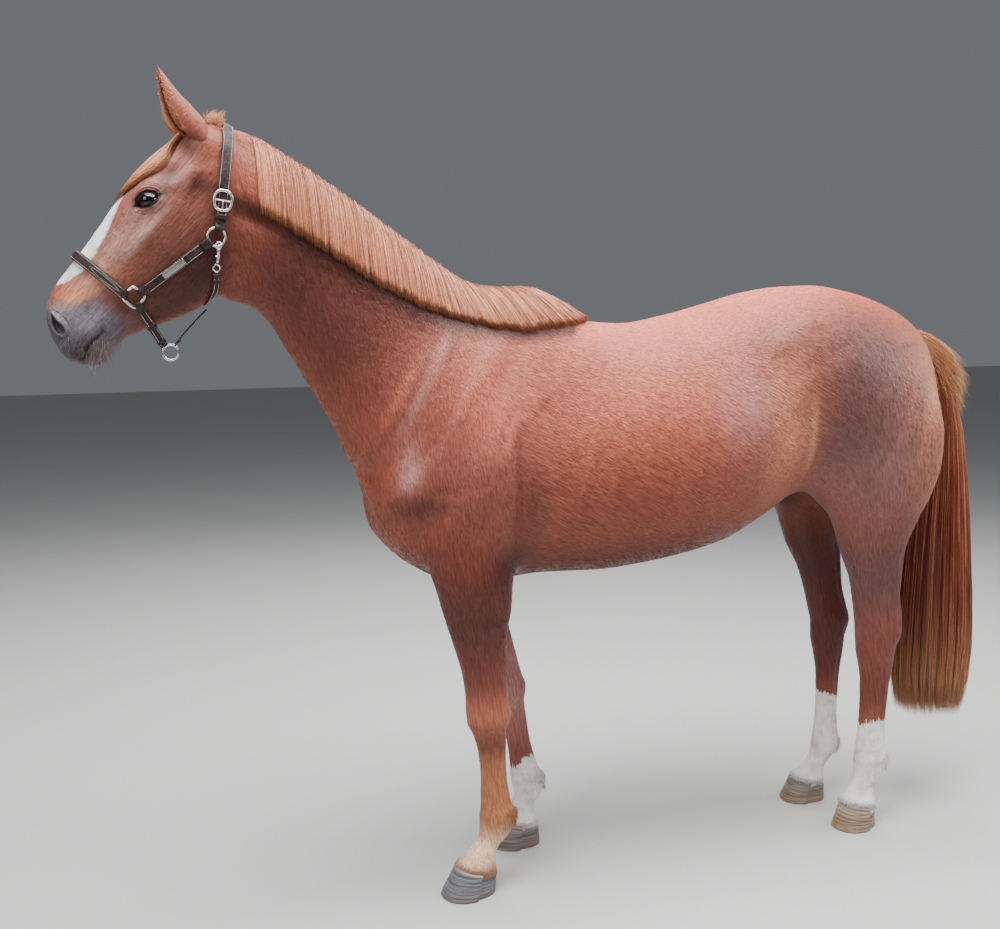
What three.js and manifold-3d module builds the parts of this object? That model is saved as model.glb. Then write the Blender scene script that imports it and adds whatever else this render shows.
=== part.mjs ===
// A standing horse at life size, wearing a leather halter. Millimetres, +Z up.
// The head looks along -X, the horse's left side is towards -Y, and the hooves stand on z = 0.
// The origin is at the centre of the bounding box's base.
//
// The body is one smooth field: lofts for the trunk, neck, head and legs, blended where they
// meet and shaped by muscle bumps. Meshes are settled on that field, joined, and parted by
// plane cuts into named pieces. The hair and the halter are laid on the same field.
import * as THREE from 'three';
import { mergeVertices } from 'three/addons/utils/BufferGeometryUtils.js';
import Module from 'manifold-3d';

const wasm = await Module();
wasm.setup();

// ---------------------------------------------------------------- driving sizes
const WITHERS_HEIGHT = 1596;
const CROUP_HEIGHT = 1610;
const NECK_ANGLE = 43;
const HEAD_ANGLE = 48;
const GAP = 0.4;               // between pieces that meet
const HAIR_DEPTH = 12;         // of the mane at its lower edge
const HAIR_ROOT = 25;          // how deep a hair sheet starts before the flesh is cut from it
const BLEND = { neck: 150, head: 88, foreleg: 70, hindleg: 90 };
const SETTLE_REACH = 30;
const BODY_CELL = 75;
const BODY_BOX = { low: [-1100, -390, 700], high: [1270, 390, 2110] };
const HEAD_PLACES = [
  -118, -90, -50, -5, 45, 85, 122, 160, 205, 255, 310, 365, 415, 455, 484, 508, 526, 540, 549,
];
const SIDES = { head: 16, leg: 10, hoof: 14, tail: 12, ear: 6, hair: 7 };

// Frames of the two sloping lofts: origin, axis along the part, and its upper (dorsal) side.
const rad = THREE.MathUtils.degToRad;
const NECK_FRAME = {
  origin: [-410, 0, 1365],
  axis: [-Math.cos(rad(NECK_ANGLE)), 0, Math.sin(rad(NECK_ANGLE))],
  up: [Math.sin(rad(NECK_ANGLE)), 0, Math.cos(rad(NECK_ANGLE))],
};
const HEAD_FRAME = {
  origin: [-970, 0, 1880],
  axis: [-Math.cos(rad(HEAD_ANGLE)), 0, -Math.sin(rad(HEAD_ANGLE))],
  up: [-Math.sin(rad(HEAD_ANGLE)), 0, Math.cos(rad(HEAD_ANGLE))],
};
const TRUNK_FRAME = { origin: [0, 0, 0], axis: [1, 0, 0], up: [0, 0, 1] };

// Stations: [place along the axis, top, bottom, half width, height of the widest place,
// roundness above, roundness below]. A roundness of 2 is an ellipse, less is more pointed.
const TRUNK = [
  [-584, 1100, 1010, 60, 1052, 2, 2],
  [-566, 1160, 965, 130, 1055, 2, 2],
  [-532, 1240, 924, 172, 1060, 2, 2],
  [-475, 1350, 876, 205, 1070, 2, 2],
  [-390, 1460, 833, 232, 1085, 1.9, 2.1],
  [-290, 1540, 818, 244, 1100, 1.8, 2.2],
  [-190, 1585, 826, 247, 1110, 1.6, 2.2],
  [-130, WITHERS_HEIGHT, 830, 251, 1120, 1.55, 2.2],
  [-50, 1568, 828, 260, 1125, 1.65, 2.2],
  [50, 1515, 825, 273, 1140, 1.95, 2.2],
  [150, 1510, 832, 283, 1150, 2.1, 2.2],
  [280, 1530, 848, 285, 1170, 2.1, 2.15],
  [420, 1564, 876, 274, 1205, 2.05, 2.05],
  [530, 1592, 925, 260, 1260, 2, 2],
  [640, 1607, 990, 258, 1300, 2, 2],
  [745, CROUP_HEIGHT, 1025, 256, 1300, 2, 2],
  [860, 1592, 1030, 245, 1270, 2, 2],
  [960, 1563, 1030, 226, 1240, 1.95, 2],
  [1050, 1520, 1050, 184, 1240, 1.9, 2],
  [1105, 1470, 1085, 128, 1250, 1.9, 2],
  [1128, 1410, 1170, 70, 1290, 2, 2],
];
const NECK = [
  [-160, 330, -250, 185, 0, 1.7, 2],
  [-60, 318, -290, 188, -40, 1.65, 2],
  [20, 290, -292, 176, -60, 1.6, 2],
  [110, 256, -258, 150, -55, 1.6, 2],
  [210, 240, -226, 124, -35, 1.7, 2],
  [320, 226, -192, 103, -15, 1.8, 2],
  [430, 212, -164, 90, 0, 1.9, 2],
  [530, 198, -160, 83, 5, 1.9, 2],
  [620, 181, -150, 77, 10, 2, 2],
  [700, 166, -120, 70, 15, 2, 2],
  [765, 142, -60, 58, 25, 2, 2],
  [812, 105, 10, 36, 55, 2, 2],
];
const HEAD = [
  [-118, 55, -20, 36, 18, 2, 2],
  [-90, 78, -70, 58, 15, 2, 2],
  [-45, 89, -125, 76, 20, 2.1, 2],
  [0, 94, -165, 88, 25, 2.2, 2],
  [60, 106, -196, 96, 35, 2.3, 2],
  [120, 111, -214, 101, 45, 2.5, 2.1],
  [180, 112, -221, 98, 35, 2.6, 2.3],
  [250, 105, -204, 84, 10, 2.5, 2.4],
  [320, 98, -166, 69, 5, 2.4, 2.2],
  [385, 94, -132, 59, 0, 2.3, 2.2],
  [435, 90, -116, 56, -5, 2.4, 2.4],
  [480, 76, -112, 57, -5, 2.5, 2.4],
  [512, 50, -104, 55, -15, 2.4, 2.3],
  [535, 14, -84, 46, -30, 2.3, 2.2],
  [550, -18, -56, 26, -36, 2, 2],
];

// Leg joints, [x, y, z], from the top down to the ground; the sections below go with them.
const LEGS = {
  foreleg_left: {
    side: -1, toeOut: 6,
    joints: [[-372, -150, 1050], [-343, -152, 863], [-304, -147, 470], [-285, -143, 205], [-346, -142, 75]],
    ground: [-369, -142, 0],
  },
  foreleg_right: {
    side: 1, toeOut: 6,
    joints: [[-320, 150, 1050], [-278, 150, 863], [-158, 135, 460], [-108, 122, 188], [-136, 117, 72]],
    ground: [-150, 115, 0],
  },
  hindleg_left: {
    side: -1, toeOut: 15,
    joints: [[915, -122, 1420], [860, -142, 1000], [914, -131, 595], [893, -128, 205], [857, -126, 78]],
    ground: [846, -124, 0],
  },
  hindleg_right: {
    side: 1, toeOut: 15,
    joints: [[905, 122, 1420], [818, 142, 1000], [915, 122, 570], [900, 118, 172], [836, 116, 70]],
    ground: [816, 115, 0],
  },
};
// Leg sections: [joint number and fraction of the way to the next, shift towards the tail,
// half depth, half width].
const FORE_SECTIONS = [
  [0, 0, 112, 66], [0.5, 0, 116, 76], [1, 0, 107, 75], [1.17, 2, 96, 66], [1.44, -1, 72, 53],
  [1.7, 2, 60, 46], [1.9, 0, 57, 48], [2, -1, 57, 49], [2.12, -2, 47, 42], [2.32, 1, 40, 33],
  [2.6, 0, 38, 29], [2.85, 0, 43, 33], [3, 0, 49, 37], [3.2, 11, 48, 36], [3.4, 15, 43, 34],
  [3.6, 6, 39, 31], [3.8, 0, 43, 35], [4, 0, 54, 46],
];
const HIND_SECTIONS = [
  [0, 0, 60, 40], [0.2, -4, 122, 78], [0.4, -8, 184, 101], [0.58, -12, 214, 112],
  [0.78, -3, 208, 111], [1, 14, 172, 98],
  [1.15, 18, 132, 84], [1.42, 2, 94, 66], [1.6, 4, 78, 55], [1.77, 0, 71, 48],
  [1.9, 0, 70, 50], [2, 0, 71, 51], [2.14, -6, 61, 47], [2.26, -2, 53, 41], [2.38, 0, 46, 34],
  [2.5, 0, 43, 30], [2.75, 0, 42, 29], [2.88, 0, 45, 33], [3, 0, 49, 38], [3.2, 9, 48, 37],
  [3.4, 10, 43, 34], [3.6, 4, 41, 33], [3.8, 0, 46, 38], [4, 0, 56, 48],
];
// Hooves: half length and width at the ground, the heels' share of the width, and levels as
// [share of the coronet's height, share of the length, share of the width].
const HOOF = {
  fore: [73, 64],
  hind: [68, 59],
  heel: 0.84,
  coronetDrop: 12,
  coronetNormal: [0.24, 0, 1],
  levels: [[1.25, 0.68, 0.64], [1, 0.77, 0.77], [0.5, 0.89, 0.9], [0.08, 0.99, 0.99], [0, 1, 1]],
};

// Bumps on both sides of the body: [x, |y|, z, slope of the long way in degrees (0 along +X,
// 90 up), half length, half breadth, half depth, height]. Negative heights are hollows.
const BODY_BUMPS = [
  [-900, 0, 1595, -20, 48, 42, 80, 15],       // throat
  [-552, 192, 1095, 60, 70, 45, 60, 15],      // point of the shoulder
  [-560, 0, 1055, 90, 90, 28, 70, -10],       // breast groove
  [-478, 212, 990, 50, 80, 30, 70, -13],      // hollow under the shoulder joint
  [-330, 240, 1130, 60, 150, 60, 60, 9],      // triceps
  [-240, 240, 1050, 88, 170, 22, 60, -9],     // edge behind the elbow
  [-310, 200, 1380, 62, 150, 26, 70, 6],      // shoulder blade spine
  [-245, 200, 1380, 62, 140, 30, 70, -6],     // hollow behind the blade
  [-420, 170, 1280, 58, 150, 36, 70, -6],     // hollow before the blade
  [610, 250, 1250, 70, 90, 60, 70, -14],      // flank hollow
  [545, 235, 1458, 20, 60, 40, 50, 10],       // point of the hip
  [640, 262, 1040, 50, 70, 40, 60, 8],        // stifle fold
  [1085, 110, 1320, 80, 90, 50, 80, 5],       // point of the buttock
  [1120, 0, 1280, 85, 160, 30, 90, -22],      // cleft below the tail
  [960, 245, 1180, 70, 170, 26, 70, -8],      // groove of the hamstrings
  [770, 265, 1160, 60, 160, 70, 70, 6],       // front of the thigh
];

// The same on the head, in its own frame: [along from the poll, |sideways|, towards the face,
// slope, half length, half breadth, half depth, height].
const HEAD_BUMPS = [
  [126, 96, 82, 8, 34, 13, 40, 9],            // brow over the eye
  [146, 96, 34, 8, 32, 12, 40, 3],            // rim under the eye
  [58, 92, 62, 35, 34, 18, 50, -11],          // hollow over the eye
  [222, 84, 16, 4, 78, 9, 40, 8],             // crest of the cheek
  [295, 62, 52, -8, 80, 17, 40, -5],          // hollow beside the nose
  [160, 92, -112, 0, 78, 60, 60, 6],          // cheek muscle
  [330, 62, -70, 0, 60, 30, 40, -5],          // hollow behind the lips
  [496, 56, 28, -60, 34, 24, 40, 5],          // nostril rim
  [503, 56, 28, -80, 22, 9, 24, -12],         // nostril
  [484, 50, -61, -3, 46, 5.5, 34, -7],        // mouth
  [505, 0, -102, 0, 26, 18, 34, 8],           // chin
  [425, 0, -112, 0, 40, 14, 40, -4],          // hollow behind the chin
];

// Ears: base middle and tips, the way the opening faces on the right, the forward bow of the
// middle line, and sections as [share of the length, half depth along the opening, half width,
// half angle of the shell].
const EAR = {
  base: [-992, 60, 1984],
  tip: { left: [-1070, -72, 2127], right: [-1055, 72, 2127] },
  facing: [-0.95, 0.25, -0.25],
  bow: 14,
  sections: [
    [-0.5, 15, 17, 165], [-0.08, 34, 35, 158], [0.28, 37, 31, 138], [0.5, 29, 26, 124],
    [0.72, 19, 18, 112], [0.89, 9, 9.5, 104], [1, 3, 3, 100],
  ],
  wall: 4.5,
};
const EYE = { place: [140, 82, 55], radius: 25 };

// Tail sections: [height, front, back, half width].
const TAIL = [
  [1472, 1098, 1128, 22], [1442, 1112, 1180, 40], [1395, 1128, 1230, 50], [1340, 1142, 1270, 55],
  [1255, 1150, 1298, 60], [1100, 1128, 1314, 64], [880, 1098, 1333, 70], [620, 1076, 1349, 76],
  [450, 1068, 1347, 78], [355, 1070, 1331, 76], [290, 1092, 1312, 68], [260, 1128, 1284, 52],
];
// Mane: [place along the neck, crest height, height of the lower edge].
const MANE = [
  [-214, 402, 398], [-178, 402, 345], [-94, 374, 250], [-22, 333, 198], [59, 290, 153],
  [157, 262, 108], [283, 240, 74], [394, 224, 55], [520, 204, 31], [626, 180, 14], [690, 170, 86],
  [748, 152, 146],
];
// Forelock: [place along the head, its edge on the left and on the right, in degrees].
const FORELOCK = [
  [-104, -17, 12], [-70, -18, 12], [-25, -23, 13], [8, -32, 12], [38, -49, 11], [80, -51, 9],
  [130, -42, 7], [182, -22, 4],
];

// Halter sizes.
const STRAP = { width: 23, thickness: 4, padded: 8, narrow: 15, thin: 3.5, lift: 2, bevel: 0.6 };
const RING = { wire: 3, round: 22, chin: 19, square: 20, buckle: 21, loop: 7.5, raise: 6.5 };
const NOSE_PLACE = 346;
const SQUARE_PLACE = [336, -62];
const ROUND_PLACE = [101, -113];
const CHIN_PLACE = [381, -214];
const CHEEK_STRAP = { from: [112, -111], to: [326, -68] };
const BUCKLE_ANGLE = 125;
// The crown strap lies in a plane: a middle inside the head, and the ray from it to the poll.
const CROWN_MIDDLE = [-27, -35];
const CROWN_RISE = [-0.828, 0.561];

// ---------------------------------------------------------------- small vector tools
const dot = (a, b) => a[0] * b[0] + a[1] * b[1] + a[2] * b[2];
const addScaled = (a, b, k) => [a[0] + b[0] * k, a[1] + b[1] * k, a[2] + b[2] * k];
const minus = (a, b) => [a[0] - b[0], a[1] - b[1], a[2] - b[2]];
const cross = (a, b) => [
  a[1] * b[2] - a[2] * b[1],
  a[2] * b[0] - a[0] * b[2],
  a[0] * b[1] - a[1] * b[0],
];
const unit = (a) => {
  const length = Math.hypot(...a);
  return [a[0] / length, a[1] / length, a[2] / length];
};
const lerp = (a, b, t) => a + (b - a) * t;
const lerpRow = (a, b, t) => a.map((value, k) => lerp(value, b[k], t));
const opposite = (a) => a.map((value) => -value);
const around = (count) => Array.from({ length: count }, (_, i) => i / count * Math.PI * 2);
const evenly = (from, to, count) => (
  Array.from({ length: count }, (_, i) => lerp(from, to, i / (count - 1)))
);
const roundedWave = (value, power) => Math.sign(value) * Math.abs(value) ** power;
const turnTo = (from, direction) => (
  new THREE.Quaternion().setFromUnitVectors(from, new THREE.Vector3(...unit(direction)))
);
const Y_AXIS = new THREE.Vector3(0, 1, 0);
const Z_AXIS = new THREE.Vector3(0, 0, 1);

// A smooth curve through rows of numbers whose first column rises, with no overshoot.
function curveThrough(rows) {
  const slopes = rows.map((row, i) => row.map((value, k) => {
    const before = rows[Math.max(i - 1, 0)];
    const after = rows[Math.min(i + 1, rows.length - 1)];
    const left = (value - before[k]) / (row[0] - before[0] || 1);
    const right = (after[k] - value) / (after[0] - row[0] || 1);
    return left * right <= 0 ? 0 : 2 * left * right / (left + right);
  }));
  return (s) => {
    const at = Math.min(Math.max(s, rows[0][0]), rows[rows.length - 1][0]);
    let i = 0;
    while (i < rows.length - 2 && rows[i + 1][0] < at) i += 1;
    const span = rows[i + 1][0] - rows[i][0];
    const t = (at - rows[i][0]) / span;
    const h1 = (1 + 2 * t) * (1 - t) ** 2;
    const h2 = t * (1 - t) ** 2;
    const h3 = t * t * (3 - 2 * t);
    const h4 = t * t * (t - 1);
    return rows[i].map((value, k) => (
      h1 * value + h2 * span * slopes[i][k] + h3 * rows[i + 1][k] + h4 * span * slopes[i + 1][k]
    ));
  };
}

// ---------------------------------------------------------------- lofts and the body field
// A loft has a frame and a curve that gives, at a place s along its axis, the section's
// top, bottom, half width, widest height, the two roundnesses, and its sideways centre.
function bodyLoft(frame, rows) {
  const full = rows.map((row) => [...row, 0]);
  return makeLoft(frame, full, 0);
}

function makeLoft(frame, rows, turn) {
  return {
    ...frame,
    side: cross(frame.axis, frame.up),
    at: curveThrough(rows),
    start: rows[0][0],
    end: rows[rows.length - 1][0],
    turn,
  };
}

// The place of a joint number with a fraction, on the chain of a leg's joints.
function alongJoints(joints, u) {
  const i = Math.min(Math.floor(u), joints.length - 2);
  return lerpRow(joints[i], joints[i + 1], u - i);
}

function legLoft(leg, sections) {
  const rows = sections.map(([u, shift, depth, width]) => {
    const [x, y, z] = alongJoints(leg.joints, u);
    return [-z, x + shift + depth, x + shift - depth, width, x + shift, 2.1, 2.1, -y];
  });
  const frame = { origin: [0, 0, 0], axis: [0, 0, -1], up: [1, 0, 0] };
  return makeLoft(frame, rows, rad(leg.toeOut * leg.side));
}

// Distance to a loft, negative inside; good near the surface.
function loftDistance(loft, p) {
  const q = minus(p, loft.origin);
  const s = dot(q, loft.axis);
  const [, top, bottom, width, middle, roundUp, roundDown, sideways] = loft.at(s);
  let d = dot(q, loft.up) - middle;
  let w = dot(q, loft.side) - sideways;
  if (loft.turn) {
    const c = Math.cos(loft.turn);
    const n = Math.sin(loft.turn);
    [d, w] = [c * d - n * w, n * d + c * w];
  }
  const height = d >= 0 ? top - middle : middle - bottom;
  const power = d >= 0 ? roundUp : roundDown;
  const ratio = ((Math.abs(d) / height) ** power + (Math.abs(w) / width) ** power) ** (1 / power);
  const across = ratio < 1e-6 ? -Math.min(height, width) : Math.hypot(d, w) * (1 - 1 / ratio);
  return Math.max(across, loft.start - s, s - loft.end);
}

const smoothMin = (a, b, reach) => {
  const h = Math.max(reach - Math.abs(a - b), 0) / reach;
  return Math.min(a, b) - h * h * h * reach / 6;
};

function bumpHeight(bump, p) {
  const [x, y, z, slope, length, breadth, depth, height] = bump;
  const dx = p[0] - x;
  const dz = p[2] - z;
  const c = Math.cos(rad(slope));
  const s = Math.sin(rad(slope));
  const along = (dx * c + dz * s) / length;
  const across = (dz * c - dx * s) / breadth;
  const inward = (Math.abs(p[1]) - y) / depth;
  return height * Math.exp(-(along * along + across * across + inward * inward));
}

const trunk = bodyLoft(TRUNK_FRAME, TRUNK);
const neck = bodyLoft(NECK_FRAME, NECK);
const head = bodyLoft(HEAD_FRAME, HEAD);
const legs = {};
for (const [name, leg] of Object.entries(LEGS)) {
  legs[name] = legLoft(leg, name.startsWith('fore') ? FORE_SECTIONS : HIND_SECTIONS);
}

function bodyField(p) {
  let f = smoothMin(loftDistance(trunk, p), loftDistance(neck, p), BLEND.neck);
  f = smoothMin(f, loftDistance(head, p), BLEND.head);
  for (const [name, loft] of Object.entries(legs)) {
    const reach = name.startsWith('fore') ? BLEND.foreleg : BLEND.hindleg;
    f = smoothMin(f, loftDistance(loft, p), reach);
  }
  for (const bump of BODY_BUMPS) f -= bumpHeight(bump, p);
  const q = minus(p, HEAD_FRAME.origin);
  const onHead = [dot(q, HEAD_FRAME.axis), p[1], dot(q, HEAD_FRAME.up)];
  for (const bump of HEAD_BUMPS) f -= bumpHeight(bump, onHead);
  return f;
}

function fieldNormal(p) {
  const step = 1.5;
  return unit([0, 1, 2].map((k) => {
    const e = [0, 0, 0];
    e[k] = step;
    return bodyField(addScaled(p, e, 1)) - bodyField(addScaled(p, e, -1));
  }));
}

// Moves a point to the field's surface, raised by an offset, if it lies near it.
function settle(p, offset) {
  if (Math.abs(bodyField(p)) > SETTLE_REACH) return p;
  let q = p;
  for (let i = 0; i < 4; i += 1) q = addScaled(q, fieldNormal(q), (offset - bodyField(q)) * 0.9);
  return q;
}

// ---------------------------------------------------------------- mesh making
// Rings of points with the same count, joined by quads and closed by a fan at each end.
function ringMesh(rings, isLoop = false) {
  const count = rings[0].length;
  const points = rings.flat();
  const faces = [];
  const bands = isLoop ? rings.length : rings.length - 1;
  for (let i = 0; i < bands; i += 1) {
    const next = (i + 1) % rings.length;
    for (let j = 0; j < count; j += 1) {
      const k = (j + 1) % count;
      const [a, b, c, d] = [i * count + j, i * count + k, next * count + k, next * count + j];
      faces.push(a, b, c, a, c, d);
    }
  }
  if (!isLoop) {
    closeEnd(points, faces, rings[0], 0);
    closeEnd(points, faces, rings[rings.length - 1], (rings.length - 1) * count);
  }
  return geometryFrom(points, faces);
}

// A fan from the middle of a ring's points, which start at a given number in the list.
function closeEnd(points, faces, ring, first) {
  const middle = ring.reduce((sum, p) => addScaled(sum, p, 1 / ring.length), [0, 0, 0]);
  points.push(middle);
  const centre = points.length - 1;
  for (let j = 0; j < ring.length; j += 1) {
    const a = first + j;
    const b = first + ((j + 1) % ring.length);
    if (first === 0) faces.push(b, a, centre);
    else faces.push(a, b, centre);
  }
}

function geometryFrom(points, faces) {
  const geometry = new THREE.BufferGeometry();
  geometry.setAttribute('position', new THREE.Float32BufferAttribute(points.flat(), 3));
  geometry.setIndex(faces);
  return geometry;
}

// A solid from any closed geometry; turned inside out first if its volume is negative.
function solidFrom(geometry) {
  const bare = geometry.index ? geometry.clone() : geometry;
  bare.deleteAttribute('normal');
  bare.deleteAttribute('uv');
  const merged = mergeVertices(bare, 1e-3);
  const vertProperties = new Float32Array(merged.attributes.position.array);
  const triVerts = new Uint32Array(merged.index.array);
  if (signedVolume(vertProperties, triVerts) < 0) {
    for (let i = 0; i < triVerts.length; i += 3) {
      [triVerts[i + 1], triVerts[i + 2]] = [triVerts[i + 2], triVerts[i + 1]];
    }
  }
  return new wasm.Manifold(new wasm.Mesh({ numProp: 3, vertProperties, triVerts }));
}

function signedVolume(v, t) {
  let volume = 0;
  const corner = (i) => [v[3 * i], v[3 * i + 1], v[3 * i + 2]];
  for (let i = 0; i < t.length; i += 3) {
    volume += dot(corner(t[i]), cross(corner(t[i + 1]), corner(t[i + 2]))) / 6;
  }
  return volume;
}

function geometryOf(solid) {
  const mesh = solid.getMesh();
  const geometry = new THREE.BufferGeometry();
  geometry.setAttribute('position', new THREE.BufferAttribute(new Float32Array(mesh.vertProperties), 3));
  geometry.setIndex(Array.from(mesh.triVerts));
  return geometry;
}

// A section ring of a loft at s, as points in space.
function sectionRing(loft, s, sides) {
  const [, top, bottom, width, middle, roundUp, roundDown, sideways] = loft.at(s);
  return around(sides).map((angle) => {
    const c = Math.cos(angle);
    const n = Math.sin(angle);
    const power = 2 / (c >= 0 ? roundUp : roundDown);
    const height = c >= 0 ? top - middle : middle - bottom;
    const d = roundedWave(c, power) * height;
    const w = roundedWave(n, power) * width;
    const cosTurn = Math.cos(loft.turn);
    const sinTurn = Math.sin(loft.turn);
    const p = addScaled(loft.origin, loft.axis, s);
    const raised = addScaled(p, loft.up, middle + cosTurn * d + sinTurn * w);
    return addScaled(raised, loft.side, sideways + cosTurn * w - sinTurn * d);
  });
}

function loftSolid(loft, places, sides, offset) {
  const rings = places.map((s) => sectionRing(loft, s, sides).map((p) => settle(p, offset)));
  return solidFrom(ringMesh(rings));
}

// A grid of cells over the neck, trunk and thighs, with the field's value at every corner.
function fieldGrid() {
  const { low, high } = BODY_BOX;
  const size = low.map((value, k) => Math.ceil((high[k] - value) / BODY_CELL) + 1);
  const margin = BODY_CELL * 1.5;
  const corner = (cell) => cell.map((count, k) => low[k] + count * BODY_CELL);
  const index = ([i, j, k]) => (i * size[1] + j) * size[2] + k;
  const values = new Float64Array(size[0] * size[1] * size[2]);
  eachCell(0, size, (cell) => {
    const p = corner(cell);
    values[index(cell)] = Math.max(bodyField(p), low[2] + margin - p[2], low[0] + margin - p[0]);
  });
  return { size, corner, isInside: (cell) => values[index(cell)] < 0, index, values };
}

function eachCell(from, size, visit) {
  for (let i = from; i < size[0]; i += 1) {
    for (let j = from; j < size[1]; j += 1) {
      for (let k = from; k < size[2]; k += 1) visit([i, j, k]);
    }
  }
}

const step = (cell, by) => cell.map((count, k) => count + by[k]);
const CORNERS = [
  [0, 0, 0], [0, 0, 1], [0, 1, 0], [0, 1, 1], [1, 0, 0], [1, 0, 1], [1, 1, 0], [1, 1, 1],
];
const EDGES = [
  [0, 1], [2, 3], [4, 5], [6, 7], [0, 2], [1, 3], [4, 6], [5, 7], [0, 4], [1, 5], [2, 6], [3, 7],
];
// For a grid edge along each axis, the four cells round it.
const CELLS_ROUND = [
  { along: [1, 0, 0], cells: [[0, -1, -1], [0, 0, -1], [0, 0, 0], [0, -1, 0]] },
  { along: [0, 1, 0], cells: [[-1, 0, -1], [-1, 0, 0], [0, 0, 0], [0, 0, -1]] },
  { along: [0, 0, 1], cells: [[-1, -1, 0], [0, -1, 0], [0, 0, 0], [-1, 0, 0]] },
];

// The middle of the places where the surface crosses a cell's edges, if it crosses any.
function crossingPoint(grid, cell) {
  const corners = CORNERS.map((by) => step(cell, by));
  const crossings = EDGES.filter(([a, b]) => grid.isInside(corners[a]) !== grid.isInside(corners[b]));
  if (crossings.length === 0) return null;
  const points = crossings.map(([a, b]) => {
    const valueA = grid.values[grid.index(corners[a])];
    const valueB = grid.values[grid.index(corners[b])];
    return lerpRow(grid.corner(corners[a]), grid.corner(corners[b]), valueA / (valueA - valueB));
  });
  return points.reduce((sum, p) => addScaled(sum, p, 1 / points.length), [0, 0, 0]);
}

// The neck, trunk and thighs as one closed mesh: a point in each cell that the surface
// crosses, and a quad for each grid edge that it crosses.
function bodyMesh(offset) {
  const grid = fieldGrid();
  const inner = grid.size.map((count) => count - 1);
  const points = [];
  const numberOf = new Map();
  eachCell(0, inner, (cell) => {
    const p = crossingPoint(grid, cell);
    if (!p) return;
    numberOf.set(grid.index(cell), points.length);
    points.push(settle(p, offset));
  });
  const faces = [];
  eachCell(1, inner, (cell) => {
    const isInside = grid.isInside(cell);
    for (const { along, cells } of CELLS_ROUND) {
      if (grid.isInside(step(cell, along)) === isInside) continue;
      const [a, b, c, d] = cells.map((by) => numberOf.get(grid.index(step(cell, by))));
      if (isInside) faces.push(a, b, c, a, c, d);
      else faces.push(c, b, a, d, c, a);
    }
  });
  return solidFrom(geometryFrom(points, faces));
}

const headSolid = (offset) => loftSolid(head, HEAD_PLACES, SIDES.head, offset);

// ---------------------------------------------------------------- parting
// A large box on one side of a plane through a point; the normal points into the box.
function halfSpace(point, normal) {
  const size = 4000;
  const box = new THREE.BoxGeometry(size, size, size);
  box.applyQuaternion(turnTo(Z_AXIS, normal));
  box.translate(...addScaled(point, unit(normal), size / 2));
  return solidFrom(box);
}

// Cuts a solid in two along a plane, with a gap between the two.
function cutApart(solid, point, normal) {
  const n = unit(normal);
  return [
    solid.intersect(halfSpace(addScaled(point, n, GAP / 2), n)),
    solid.intersect(halfSpace(addScaled(point, n, -GAP / 2), opposite(n))),
  ];
}

const CUTS = {
  poll: { point: [-932, 0, 1780], normal: [-1, 0, 0.06] },
  neckBase: { point: [-230, 0, 1605], normal: [-0.78, 0, 0.62] },
  foreLegs: 812,
  hindLegs: 948,
  hindLegsFront: 605,
};

// Everything of a solid that is below a height, or above it.
const below = (solid, z) => solid.intersect(halfSpace([0, 0, z], [0, 0, -1]));
const above = (solid, z) => solid.intersect(halfSpace([0, 0, z], [0, 0, 1]));

// ---------------------------------------------------------------- legs and hooves
// A leg down to its coronet, and its hoof. The coronet slopes down towards the heels.
function legParts(name) {
  const leg = LEGS[name];
  const isFore = name.startsWith('fore');
  const sections = isFore ? FORE_SECTIONS : HIND_SECTIONS;
  const places = sections.map(([u]) => -alongJoints(leg.joints, u)[2]);
  const column = loftSolid(legs[name], places, SIDES.leg, 0);
  const foot = hoofLoft(leg, isFore ? HOOF.fore : HOOF.hind);
  const whole = below(column.add(foot), (isFore ? CUTS.foreLegs : CUTS.hindLegs) - GAP);
  const coronet = addScaled(leg.joints[4], [0, 0, 1], -HOOF.coronetDrop);
  const [upper] = cutApart(whole, coronet, HOOF.coronetNormal);
  const [, hoof] = cutApart(foot, coronet, HOOF.coronetNormal);
  return { upper, hoof };
}

// A hoof: rings from above the coronet to the flat sole, its wall sloping to the toe.
function hoofLoft(leg, [halfLength, halfWidth]) {
  const [x, y, z] = leg.joints[4];
  const [groundX, groundY] = leg.ground;
  const turn = rad(leg.toeOut * leg.side);
  const rings = HOOF.levels.map(([up, long, wide]) => (
    around(SIDES.hoof).map((angle) => {
      const c = Math.cos(angle);
      const heelShare = c > 0 ? HOOF.heel : 1;
      const back = roundedWave(c, 0.9) * halfLength * long;
      const outwards = roundedWave(Math.sin(angle), 0.85) * halfWidth * wide * heelShare;
      return [
        lerp(groundX, x, up) + back * Math.cos(turn) + outwards * Math.sin(turn),
        lerp(groundY, y, up) - back * Math.sin(turn) + outwards * Math.cos(turn),
        up * z,
      ];
    })
  ));
  return solidFrom(ringMesh(rings));
}

// ---------------------------------------------------------------- head, ears and eyes
// A point from its place along the head, its sideways distance, and its height to the face.
function onHead(s, y, d) {
  const [x, , z] = addScaled(addScaled(HEAD_FRAME.origin, HEAD_FRAME.axis, s), HEAD_FRAME.up, d);
  return [x, y, z];
}

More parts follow.
